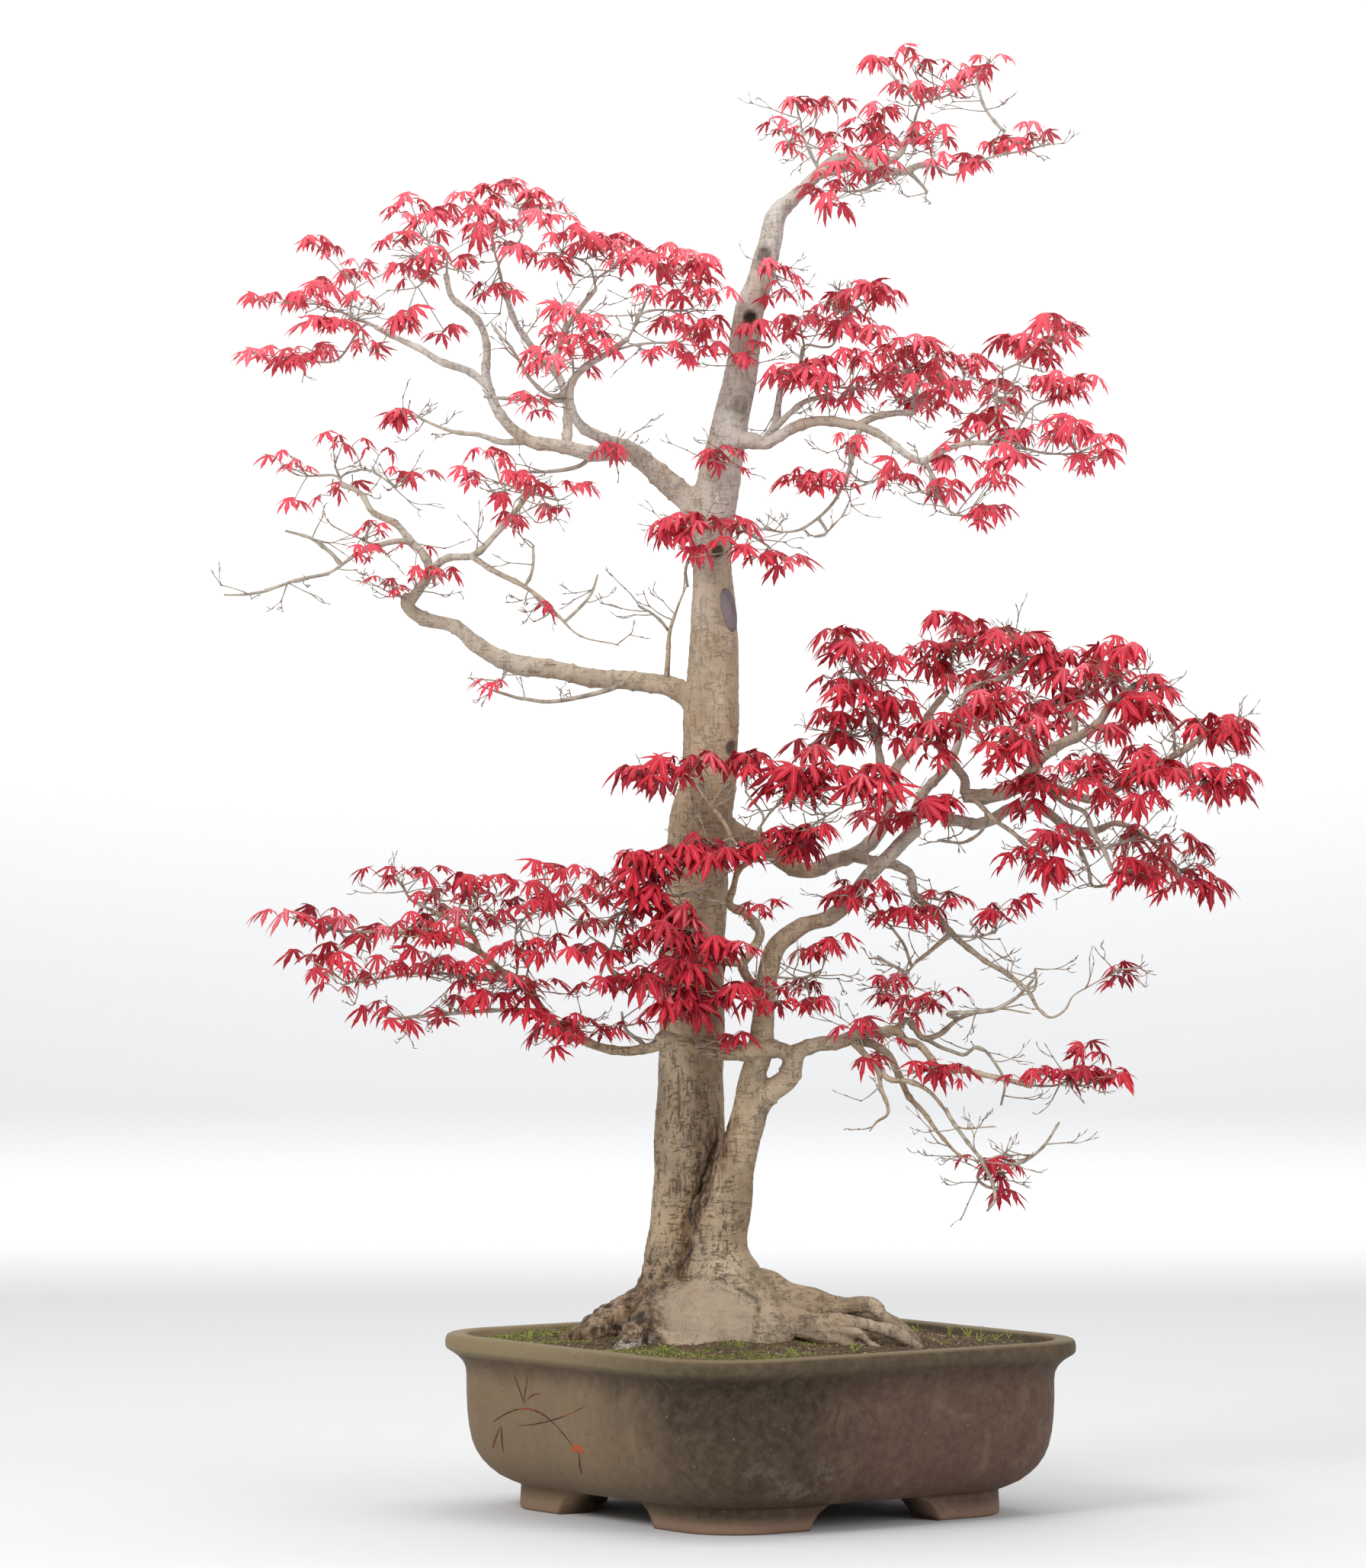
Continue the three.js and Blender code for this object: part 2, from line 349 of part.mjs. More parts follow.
// Sprays: where each leaves its limb, the depth of its middle and how far its leaves spread in
// depth, the points its twigs pass, and the top of each leaf as x, z
const SPRAYS = {
  crown_tip: { root: [103, 10, 916], depth: 8, spread: 36,
    guides: [[106, 10, 926], [125, 8, 934], [142, 5, 945]],
    leaves: [[95, 966], [80, 960], [73, 956], [104, 960], [90, 942], [104, 941], [114, 942], [124, 941],
      [125, 955], [136, 949], [146, 957], [158, 956]] },
  crown_left: { root: [36, 6, 884], depth: 10, spread: 34,
    guides: [[31, 6, 902], [20, 16, 904], [27, 4, 918], [52, 2, 908]],
    leaves: [[20, 932], [33, 932], [7, 917], [16, 915], [22, 907], [37, 915], [47, 911], [44, 898], [46, 936],
      [58, 936]] },
  crown_middle: { fused: true, root: [86, 10, 892], depth: 22, spread: 18,
    guides: [[84, 16, 904]],
    leaves: [[64, 921], [76, 931], [85, 930], [79, 919], [88, 912], [72, 914]] },
  crown_low: { root: [76, -14, 880], depth: -27, spread: 12,
    guides: [[72, -20, 869], [58, -24, 866]],
    leaves: [[83, 900], [75, 894], [89, 886], [61, 888], [50, 885], [66, 880], [40, 879], [51, 875],
      [33, 871],
      [44, 864]] },
  crown_right_low: { root: [113, -18, 885], depth: -26, spread: 16,
    guides: [[124, -21, 878], [150, -27, 888], [176, -29, 893], [190, -30, 897]],
    leaves: [[119, 892], [136, 893], [144, 891], [152, 900], [161, 905], [169, 901], [178, 910],
      [188, 907]] },
  crown_right: { fused: true, root: [96, 10, 900], depth: -6, spread: 12,
    guides: [[105, 0, 905]],
    leaves: [[105, 915], [113, 916], [121, 912], [110, 904], [99, 904]] },
  trunk_top: { fused: true, root: [8, -13, 818], depth: -22, spread: 7,
    guides: [],
    leaves: [[5, 823], [15, 818], [23, 812], [18, 803], [28, 802]] },
  inner_right_high: { root: [26, 5, 750], depth: 6, spread: 26,
    guides: [[30, 6, 768], [27, 7, 782], [47, 4, 767], [57, 2, 788], [71, 0, 797]],
    leaves: [[6, 785], [14, 788], [24, 791], [38, 791], [49, 798], [51, 806], [45, 787], [60, 805], [63, 797],
      [56, 783], [65, 782], [74, 780], [69, 810], [80, 808], [91, 805]] },
  inner_right_low: { root: [46, -16, 733.5], depth: -22, spread: 18,
    guides: [[40, -17, 745], [60, -19, 738]],
    leaves: [[43, 760], [54, 763], [31, 752], [8, 752], [16, 753], [24, 746], [68, 761], [77, 759], [40, 747],
      [46, 736], [62, 740], [75, 747], [85, 747]] },
  trunk_side: { fused: true, root: [-9, -16, 758], depth: -27, spread: 5,
    guides: [],
    leaves: [[-10, 761], [3, 768], [0, 783]] },
  right_upper_mass: { root: [102, -8, 723], depth: 4, spread: 42,
    guides: [[104, -2, 740], [96, 4, 752], [122, 4, 742], [135, 2, 735]],
    leaves: [[85, 771], [93, 767], [103, 774], [112, 773], [120, 768], [127, 764], [90, 757], [106, 760],
      [118, 756], [137, 756], [131, 749], [143, 761], [150, 757], [101, 747], [112, 742], [124, 744],
      [136, 745],
      [146, 747], [104, 734], [120, 735], [96, 740]] },
  right_far_high: { root: [131, -36, 701], depth: -10, spread: 26,
    guides: [[153, -34, 716], [155, -24, 732], [158, -16, 748], [172, -12, 756], [186, -10, 768]],
    leaves: [[164, 776], [174, 775], [158, 772], [183, 767], [192, 764], [184, 784], [196, 789], [205, 783],
      [198, 775], [153, 745], [162, 746], [158, 734], [167, 731], [149, 722], [140, 720]] },
  right_far_middle: { root: [148, -40, 701], depth: -42, spread: 24,
    guides: [[166, -41, 708], [178, -41, 724], [193, -41, 730]],
    leaves: [[181, 745], [192, 747], [199, 742], [207, 745], [217, 743], [197, 733], [208, 737], [160, 711],
      [173, 711], [184, 715]] },
  right_far_low: { root: [140, -43, 697], depth: -60, spread: 24,
    guides: [[168, -46, 697], [185, -48, 693.5], [205, -50, 693]],
    leaves: [[191, 709], [200, 715], [207, 711], [216, 704], [232, 705], [218, 698], [224, 695], [208, 692],
      [156, 698], [167, 694], [152, 691]] },
  right_under: { root: [107, -35, 688], depth: -42, spread: 22,
    guides: [[114, -38, 677], [117, -40, 666], [123, -41, 657], [134, -42, 652]],
    leaves: [[130, 711], [113, 693], [123, 694], [134, 693], [120, 678], [129, 677], [150, 682], [160, 680],
      [142, 658], [151, 656], [161, 662]] },
  right_hanging: { root: [60, -27, 686], depth: -30, spread: 18,
    guides: [[56, -29, 673], [68, -28, 676], [84, -28, 681]],
    leaves: [[18, 682], [25, 686], [33, 677], [44, 684], [52, 681], [87, 691], [97, 682], [63, 706]] },
  trunk_high: { fused: true, root: [-23, -16, 704], depth: -24, spread: 5,
    guides: [],
    leaves: [[-32, 698], [-22, 700], [-13, 697]] },
  trunk_wound: { root: [-28, -13.5, 634], depth: -27, spread: 10,
    guides: [[-46, -26, 646], [-10, -24, 644], [6, -24, 634]],
    leaves: [[-68, 651], [-60, 653], [-53, 656], [-43, 656], [-30, 653], [-50, 643], [-38, 635], [-15, 655],
      [-8, 652], [-24, 640], [-10, 635], [3, 630], [12, 631], [26, 629]] },
  left_limb_front: { fused: true, root: [-97, 4, 700], depth: -8, spread: 6,
    guides: [],
    leaves: [[-102, 703], [-92, 702]] },
  left_far_tip: { root: [-256, 48, 785], depth: 52, spread: 38,
    guides: [[-272, 52, 792], [-292, 54, 800], [-270, 50, 812], [-284, 52, 762], [-304, 52, 762]],
    leaves: [[-299, 843], [-291, 845], [-275, 828], [-262, 830], [-291, 820], [-299, 812], [-306, 807],
      [-314, 810], [-323, 805], [-337, 806], [-268, 806], [-294, 790], [-283, 790], [-276, 787], [-286, 772],
      [-266, 775], [-256, 774], [-296, 776], [-327, 773], [-336, 768], [-314, 770]] },
  left_crown_outer: { root: [-206, 0, 815], depth: 0, spread: 36,
    guides: [[-206, 0, 828], [-222, -2, 840], [-226, 2, 806]],
    leaves: [[-232, 865], [-243, 861], [-218, 856], [-241, 840], [-231, 842], [-212, 846], [-205, 866],
      [-212, 860], [-241, 822], [-222, 820], [-215, 830], [-226, 827], [-205, 785], [-237, 788],
      [-228, 793]] },
  left_crown_middle: { root: [-170, 58, 808], depth: 54, spread: 36,
    guides: [[-174, 56, 826], [-180, 54, 850], [-158, 52, 846], [-160, 54, 864]],
    leaves: [[-196, 873], [-189, 867], [-184, 884], [-178, 877], [-168, 888], [-160, 883], [-153, 878],
      [-146, 876], [-132, 872], [-197, 858], [-187, 852], [-175, 862], [-198, 836], [-166, 845], [-187, 816],
      [-176, 815], [-163, 808]] },
  left_crown_inner: { root: [-108, 30, 808], depth: 26, spread: 38,
    guides: [[-112, 28, 822], [-130, 26, 832], [-96, 26, 822]],
    leaves: [[-146, 858], [-134, 855], [-122, 849], [-112, 844], [-104, 845], [-93, 843], [-83, 842],
      [-76, 832],
      [-88, 828], [-96, 848], [-136, 842], [-138, 828], [-148, 832], [-158, 834]] },
  left_inner_high: { root: [-86, -34, 769], depth: -36, spread: 24,
    guides: [[-78, -35, 784], [-70, -36, 800], [-58, -36, 808], [-48, -36, 787]],
    leaves: [[-78, 822], [-69, 822], [-58, 821], [-46, 825], [-34, 823], [-60, 831], [-78, 804], [-68, 802],
      [-43, 804], [-32, 810], [-20, 801], [-62, 785], [-52, 784], [-38, 781], [-27, 786]] },
  left_inner_low: { fused: true, root: [-99, -32, 760], depth: -36, spread: 14,
    guides: [[-80, -36, 765], [-56, -36, 766]],
    leaves: [[-68, 763], [-56, 767], [-46, 768], [-35, 765], [-25, 768], [-26, 778], [-110, 775],
      [-100, 768]] },
  left_knee: { root: [-122, -24, 742], depth: -34, spread: 24,
    guides: [[-122, -28, 756], [-126, -30, 772]],
    leaves: [[-118, 771], [-106, 786], [-132, 793], [-125, 791], [-137, 778], [-150, 761], [-143, 762],
      [-113, 755], [-154, 734], [-152, 727]] },
  left_low_twig: { fused: true, root: [-240, 45, 730], depth: 46, spread: 6,
    guides: [],
    leaves: [[-236, 730], [-244, 727]] },
  middle_left_tip: { root: [-277, 31, 678], depth: 33, spread: 20,
    guides: [[-282, 32, 690], [-300, 33, 684], [-264, 31, 688], [-240, 26, 676]],
    leaves: [[-317, 701], [-325, 697], [-311, 692], [-288, 713], [-280, 712], [-262, 709], [-246, 703],
      [-268, 681], [-281, 677], [-236, 688], [-229, 686], [-218, 688], [-312, 669]] },
  middle_left_under: { fused: true, root: [-252, 2, 634], depth: -8, spread: 12,
    guides: [[-262, -4, 640]],
    leaves: [[-264, 636], [-255, 636], [-249, 634], [-258, 653], [-249, 650]] },
  middle_left_knob: { fused: true, root: [-233, 10, 598], depth: 4, spread: 14,
    guides: [[-244, 8, 606], [-226, 0, 606]],
    leaves: [[-254, 616], [-243, 615], [-226, 622], [-218, 636], [-211, 621], [-203, 622]] },
  middle_left_fan: { root: [-148, -15, 674], depth: -18, spread: 30,
    guides: [[-160, -18, 664], [-170, -16, 676], [-132, -18, 664]],
    leaves: [[-186, 699], [-177, 700], [-169, 698], [-194, 686], [-188, 684], [-165, 683], [-156, 683],
      [-150, 680], [-168, 672], [-127, 677], [-117, 675], [-140, 664], [-129, 661], [-167, 658],
      [-159, 657]] },
  middle_left_leaf: { fused: true, root: [-150, -17, 606], depth: -20, spread: 3,
    guides: [],
    leaves: [[-138, 598]] },
  middle_left_hang: { fused: true, root: [-165, 15, 553], depth: 2, spread: 5,
    guides: [[-172, 6, 544]],
    leaves: [[-184, 548], [-175, 546]] },
  front_high_left: { root: [-33, -38, 466], depth: -42, spread: 10,
    guides: [[-46, -40, 482], [-64, -42, 486]],
    leaves: [[-88, 491], [-78, 491], [-67, 496], [-56, 490], [-45, 497], [-32, 500]] },
  front_high_right: { root: [0, -28, 450], depth: -28, spread: 12,
    guides: [[7, -27, 460], [-9, -29, 474], [28, -25, 474]],
    leaves: [[-15, 499], [-5, 501], [4, 495], [12, 489], [22, 489], [33, 491], [46, 493], [8, 481], [26, 481],
      [38, 483], [54, 491]] },
  front_middle_right: { root: [1, -32, 434], depth: -36, spread: 10,
    guides: [[20, -32, 441], [38, -32, 454], [55, -28, 464]],
    leaves: [[8, 450], [16, 450], [27, 452], [41, 452], [29, 443], [26, 434], [67, 485], [76, 491], [86, 487],
      [62, 480], [88, 478]] },
  front_middle_left: { fused: true, root: [-19, -35, 443], depth: -44, spread: 8,
    guides: [[-34, -40, 436]],
    leaves: [[-11, 441], [-3, 440], [-22, 438], [-31, 437], [-41, 438], [-50, 440], [-61, 439], [-44, 447]] },
  front_left_twig: { root: [-22, -37, 400.5], depth: -48, spread: 10,
    guides: [[-46, -41, 405.5], [-60, -43, 406.5], [-81, -46, 410]],
    leaves: [[-86, 436], [-76, 436], [-67, 436], [-61, 431], [-82, 424], [-66, 421], [-55, 424], [-78, 411],
      [-70, 411], [-60, 400], [-50, 400], [-74, 401], [-92, 416]] },
  front_low_left: { root: [-30, -41, 362.5], depth: -58, spread: 10,
    guides: [[-31, -46, 374], [-46, -52, 384], [-46, -54, 356]],
    leaves: [[-44, 392], [-62, 391], [-53, 384], [-50, 376], [-42, 378], [-30, 381], [-22, 376], [-11, 377],
      [-66, 364], [-56, 366], [-45, 363], [-35, 366], [-80, 361]] },
  front_lowest: { fused: true, root: [-60, -46, 349], depth: -62, spread: 9,
    guides: [[-48, -56, 344]],
    leaves: [[-52, 344], [-42, 347], [-58, 340], [-66, 338], [-43, 337], [-30, 345], [-22, 346],
      [-15, 350]] },
  second_front: { root: [6, -38, 353], depth: -50, spread: 9,
    guides: [],
    leaves: [[4, 353], [-3, 346], [13, 346], [-9, 339], [6, 338], [20, 340], [1, 401], [9, 404]] },
  second_right: { root: [18, -22, 351], depth: -24, spread: 14,
    guides: [[30, -22, 352], [41, -23, 357]],
    leaves: [[28, 371], [35, 373], [46, 378], [56, 381], [27, 352], [35, 349], [41, 341], [30, 338]] },
  second_low: { fused: true, root: [-16, -43, 306], depth: -48, spread: 4,
    guides: [],
    leaves: [[-20, 316], [-12, 318]] },
  bend_front: { root: [60, -19, 404], depth: -32, spread: 9,
    guides: [],
    leaves: [[62, 412], [68, 416], [54, 409], [48, 405], [78, 417], [85, 410], [72, 404]] },
  left_pad_middle: { root: [-99.5, -47, 366], depth: -46, spread: 34,
    guides: [[-95, -46, 376], [-92, -45, 392], [-85, -45, 404], [-110, -48, 379]],
    leaves: [[-122, 374], [-114, 373], [-106, 376], [-97, 371], [-88, 371], [-75, 386], [-84, 381],
      [-64, 383],
      [-85, 396], [-97, 391], [-108, 392], [-114, 396], [-88, 360], [-104, 355], [-93, 353], [-115, 350],
      [-84, 352]] },
  left_pad_high: { root: [-157, -48, 353], depth: -44, spread: 34,
    guides: [[-158, -48, 368], [-158, -48, 384], [-146, -48, 396], [-130, -48, 398]],
    leaves: [[-145, 430], [-137, 427], [-128, 425], [-119, 427], [-110, 424], [-102, 418], [-94, 414],
      [-148, 416], [-126, 414], [-113, 413], [-103, 407], [-136, 408], [-121, 404], [-158, 416], [-148, 404],
      [-160, 405], [-133, 381], [-143, 380]] },
  left_pad_back: { root: [-187, -36, 381], depth: -24, spread: 32,
    guides: [[-190, -30, 392], [-186, -26, 404]],
    leaves: [[-170, 420], [-179, 419], [-189, 420], [-196, 421], [-174, 408], [-183, 398], [-168, 397],
      [-196, 398], [-176, 394], [-190, 408]] },
  left_pad_far: { root: [-214, -22, 395], depth: -14, spread: 24,
    guides: [[-228, -18, 403], [-237, -16, 415]],
    leaves: [[-257, 424], [-241, 425], [-226, 424], [-218, 421], [-210, 425], [-222, 409], [-213, 410],
      [-204, 413], [-208, 400]] },
  left_pad_mass: { fused: true, root: [-203, -39, 376], depth: -58, spread: 24,
    guides: [[-214, -50, 384]],
    leaves: [[-225, 397], [-217, 394], [-234, 390], [-226, 386], [-207, 390], [-197, 386], [-215, 384]] },
  left_pad_tip: { root: [-235, -32, 381.5], depth: -32, spread: 18,
    guides: [[-252, -32, 382], [-272, -32, 382.3], [-290, -31, 385.5], [-306, -30, 391.5]],
    leaves: [[-245, 387], [-252, 385], [-277, 398], [-285, 392], [-271, 393], [-308, 397], [-321, 397]] },
  left_pad_inner: { root: [-149, -46, 344], depth: -62, spread: 20,
    guides: [[-160, -54, 350], [-150, -56, 362]],
    leaves: [[-178, 358], [-169, 358], [-160, 353], [-150, 351], [-142, 352], [-133, 353], [-178, 346],
      [-165, 344], [-151, 342], [-151, 377], [-161, 378], [-144, 371], [-170, 374]] },
  left_pad_west: { root: [-168, -47, 356], depth: -56, spread: 20,
    guides: [[-186, -52, 353], [-208, -53, 355.5], [-232, -54, 354.7], [-252, -55, 351.5], [-268, -56, 350]],
    leaves: [[-186, 366], [-195, 364], [-204, 368], [-212, 366], [-220, 363], [-230, 364], [-224, 374],
      [-195, 352], [-239, 362], [-247, 368], [-265, 364], [-257, 357], [-281, 358], [-283, 350], [-283, 368],
      [-292, 368], [-303, 371], [-280, 376]] },
  left_pad_low: { fused: true, root: [-141, -46, 331], depth: -54, spread: 14,
    guides: [[-160, -50, 332], [-185, -52, 331], [-210, -53, 329.5], [-232, -54, 327]],
    leaves: [[-160, 334], [-151, 334], [-198, 342], [-189, 341], [-182, 345], [-206, 327], [-248, 338],
      [-256, 334], [-241, 335]] },
  left_under: { root: [-116, -42, 312.5], depth: -56, spread: 12,
    guides: [[-120, -48, 322]],
    leaves: [[-136, 330], [-128, 324], [-119, 331], [-112, 327], [-142, 322], [-133, 322], [-146, 317],
      [-125, 319], [-101, 323], [-93, 321], [-78, 327]] },
  pad_left_high: { root: [72, 30, 526], depth: 26, spread: 28,
    guides: [[72, 28, 540], [62, 26, 556], [84, 28, 548]],
    leaves: [[45, 582], [54, 584], [67, 582], [75, 572], [61, 573], [66, 561], [45, 573], [81, 571],
      [91, 563],
      [83, 556], [43, 551], [53, 544], [62, 548], [71, 550], [80, 541], [90, 536], [100, 535], [97, 543]] },
  pad_left_low: { root: [79, 32, 512], depth: 22, spread: 16,
    guides: [[66, 28, 510], [52, 26, 516]],
    leaves: [[41, 529], [52, 527], [27, 509], [47, 513], [58, 512], [38, 505], [64, 529], [74, 528],
      [88, 519],
      [96, 517]] },
  pad_middle_high: { root: [128, 58, 541], depth: 51, spread: 28,
    guides: [[124, 56, 556], [132, 54, 570]],
    leaves: [[104, 571], [113, 575], [121, 573], [110, 561], [121, 561], [130, 576], [118, 594], [135, 591],
      [143, 590], [128, 552], [140, 585], [144, 575]] },
  pad_back: { root: [181, 51, 561], depth: 52, spread: 30,
    guides: [[170, 50, 568], [194, 52, 562]],
    leaves: [[151, 581], [160, 581], [168, 585], [177, 578], [184, 579], [193, 577], [156, 570], [166, 566],
      [190, 566], [200, 569], [208, 569], [218, 569], [152, 556], [142, 556], [184, 555], [204, 556]] },
  pad_middle: { fused: true, root: [137, 36, 526], depth: 10, spread: 24,
    guides: [[146, 26, 532], [160, 20, 534]],
    leaves: [[146, 541], [156, 542], [165, 543], [173, 540], [150, 531], [160, 529], [142, 552]] },
  pad_front: { root: [117, -2, 506], depth: -18, spread: 16,
    guides: [[124, -12, 516]],
    leaves: [[118, 498], [109, 507], [105, 519], [113, 521], [122, 526], [132, 529], [139, 520],
      [103, 509]] },
  pad_front_right: { root: [178, -7, 518], depth: -22.5, spread: 16,
    guides: [[166, -18, 514], [160, -20, 506]],
    leaves: [[156, 516], [165, 513], [150, 506], [164, 504], [174, 508], [175, 526], [182, 523], [171, 518],
      [160, 498], [186, 517]] },
  pad_back_right: { root: [200, 38, 534], depth: 42.5, spread: 22,
    guides: [[206, 40, 538]],
    leaves: [[188, 534], [180, 533], [197, 534], [207, 543], [214, 543], [223, 541], [199, 521],
      [213, 529]] },
  pad_right_high: { root: [245, 24, 540], depth: 22, spread: 30,
    guides: [[236, 24, 552]],
    leaves: [[227, 570], [236, 577], [241, 568], [248, 572], [232, 561], [224, 562], [214, 558], [240, 556],
      [226, 551]] },
  pad_right_tip: { root: [256, 26, 548], depth: 12, spread: 18,
    guides: [[256, 20, 540]],
    leaves: [[262, 552], [268, 545], [256, 540], [247, 541], [240, 535], [252, 534], [264, 532],
      [270, 527]] },
  pad_dark_leaf: { fused: true, root: [222, 17, 516], depth: 4, spread: 5,
    guides: [],
    leaves: [[240, 518], [231, 519]] },
  pad_far: { root: [291, -30, 510.5], depth: -30, spread: 18,
    guides: [[298, -30, 512]],
    leaves: [[285, 522], [295, 525], [305, 524], [299, 515], [310, 517], [317, 521], [310, 508]] },
  pad_far_low: { fused: true, root: [266, -24, 493], depth: -38, spread: 14,
    guides: [[282, -34, 482], [298, -36, 480]],
    leaves: [[275, 493], [284, 492], [292, 489], [296, 481], [283, 478], [269, 489], [310, 492], [320, 488],
      [313, 476]] },
  pad_low_mass: { root: [206, -6, 471.6], depth: -32, spread: 20,
    guides: [[208, -26, 482], [224, -30, 480]],
    leaves: [[203, 498], [213, 497], [225, 498], [196, 493], [217, 489], [229, 489], [209, 482], [222, 476],
      [232, 471], [238, 481]] },
  pad_low_right: { fused: true, root: [250, -19, 484.5], depth: -34, spread: 16,
    guides: [[250, -30, 490]],
    leaves: [[243, 504], [252, 503], [258, 498], [264, 494], [247, 494], [253, 488], [240, 487], [256, 474],
      [246, 472]] },
  pad_low_left: { fused: true, root: [178, -2, 477.5], depth: -16, spread: 9,
    guides: [],
    leaves: [[180, 486], [170, 484], [163, 481], [191, 479], [170, 469]] },
  arm_high: { fused: true, root: [129, 6, 459], depth: -10, spread: 9,
    guides: [[118, -8, 458], [100, -8, 456]],
    leaves: [[115, 471], [123, 472], [108, 468], [88, 464], [78, 463], [68, 460]] },
  under_pad: { root: [190, -10, 434], depth: -14, spread: 14,
    guides: [[196, -12, 442]],
    leaves: [[196, 452], [186, 449], [211, 448], [172, 438], [163, 434], [180, 431], [194, 431]] },
  under_pad_right: { root: [232, -16, 422], depth: -18, spread: 18,
    guides: [[246, -18, 422]],
    leaves: [[241, 431], [250, 429], [236, 422], [258, 434], [265, 431], [268, 421], [276, 418],
      [254, 420]] },
  under_pad_tip: { root: [271, 28, 430.5], depth: 28, spread: 10,
    guides: [[282, 28, 420]],
    leaves: [[285, 446], [295, 440], [292, 426], [300, 421], [307, 416]] },
  under_pad_twig: { fused: true, root: [243, 27, 452], depth: 20, spread: 4,
    guides: [],
    leaves: [[252, 452], [244, 446]] },
  right_low_leaves: { fused: true, root: [103, 7, 409], depth: -10, spread: 12,
    guides: [[100, -6, 400], [120, -8, 402]],
    leaves: [[80, 396], [89, 397], [98, 398], [106, 396], [115, 399], [125, 408], [134, 405], [110, 393]] },
  right_low_twig: { fused: true, root: [127, 2, 377], depth: -4, spread: 12,
    guides: [[145, -2, 378], [156, -4, 381]],
    leaves: [[176, 406], [168, 403], [155, 397], [165, 397], [149, 394]] },
  right_low_hang: { fused: true, root: [97.5, -1, 352], depth: -6, spread: 6,
    guides: [],
    leaves: [[80, 353], [88, 354], [95, 352], [79, 341], [86, 341]] },
  low_right_knee: { fused: true, root: [98, -29, 324], depth: -36, spread: 10,
    guides: [[104, -36, 332]],
    leaves: [[105, 341], [96, 341], [112, 338], [120, 344], [130, 346], [92, 333]] },
  low_right_front: { fused: true, root: [64, -39, 316], depth: -46, spread: 6,
    guides: [],
    leaves: [[66, 327], [53, 322], [76, 303], [90, 314]] },
  low_right_twig: { fused: true, root: [115, -42, 294.5], depth: -46, spread: 8,
    guides: [],
    leaves: [[100, 299], [107, 298], [113, 293], [120, 296], [127, 297], [134, 295]] },
  low_right_tip: { root: [176, -55, 283.2], depth: -58, spread: 18,
    guides: [[188, -57, 283], [204, -58, 288]],
    leaves: [[161, 291], [174, 295], [182, 294], [207, 312], [215, 312], [223, 304], [208, 297], [198, 294],
      [190, 294], [217, 296], [227, 294], [237, 294]] },
  lowest_twig: { fused: true, root: [147, -44, 232], depth: -46, spread: 6,
    guides: [[155, -46, 224]],
    leaves: [[134, 238], [150, 236], [157, 234], [166, 233], [156, 224], [163, 215]] },
};

const seedOf = (index) => 97 * (index + 3);

// Even pseudo-random numbers from 0 to 1, the same on every run
function seededDraws(seed) {
  let state = seed;
  return () => {
    state = (state * 1664525 + 1013904223) % 4294967296;
    return state / 4294967296;
  };
}

// A closed solid from loose points and triangles
function solidFrom(points, triangles) {
  const mesh = new wasm.Mesh({
    numProp: 3,
    vertProperties: new Float32Array(points.flat()),
    triVerts: new Uint32Array(triangles.flat()),
  });
  return new wasm.Manifold(mesh);
}

// Everything in the list fused to one body: hollows that this seals and loose scraps go
function fused(solids) {
  const parts = wasm.Manifold.union(solids).decompose();
  return parts.reduce((best, part) => (part.volume() > best.volume() ? part : best));
}

// The triangles between rings of points that each hold as many, with a flat cap on the first
function ringTriangles(ringCount, count) {
  const triangles = [];
  for (let ring = 0; ring + 1 < ringCount; ring += 1) {
    for (let side = 0; side < count; side += 1) {
      const next = (side + 1) % count;
      const low = ring * count;
      const high = low + count;
      triangles.push([low + side, low + next, high + next]);
      triangles.push([low + side, high + next, high + side]);
    }
  }
  for (let side = 1; side + 1 < count; side += 1) triangles.push([0, side + 1, side]);
  return triangles;
}

// A skin over rings of points, closed by flat ends
function skinnedRings(rings) {
  const count = rings[0].length;
  const triangles = ringTriangles(rings.length, count);
  const last = (rings.length - 1) * count;
  for (let side = 1; side + 1 < count; side += 1) triangles.push([last, last + side, last + side + 1]);
  return solidFrom(rings.flat(), triangles);
}

// A ring of points across a stem, the first of them towards `up`
function ringAcross(centre, along, up, radius, sides) {
  const across = up.clone().addScaledVector(along, -up.dot(along)).normalize();
  const third = along.clone().cross(across);
  return Array.from({ length: sides }, (_, side) => {
    const angle = (side / sides) * Math.PI * 2;
    return centre.clone()
      .addScaledVector(across, Math.cos(angle) * radius)
      .addScaledVector(third, Math.sin(angle) * radius)
      .toArray();
  });
}

// A tapering stem along a path of x, y, z, radius, made larger all over by `extra`
function stem(path, sides, extra = 0) {
  const points = path.map(([x, y, z]) => new THREE.Vector3(x, y, z));
  const up = new THREE.Vector3(0.36, -0.82, 0.44);
  const rings = points.map((point, index) => {
    const before = points[Math.max(index - 1, 0)];
    const after = points[Math.min(index + 1, points.length - 1)];
    const along = after.clone().sub(before).normalize();
    up.addScaledVector(along, -up.dot(along)).normalize();
    const isStart = index === 0 ? -extra : 0;
    const reach = index === points.length - 1 ? extra : isStart;
    const centre = point.clone().addScaledVector(along, reach);
    return ringAcross(centre, along, up, path[index][3] + extra, sides);
  });
  return skinnedRings(rings);
}

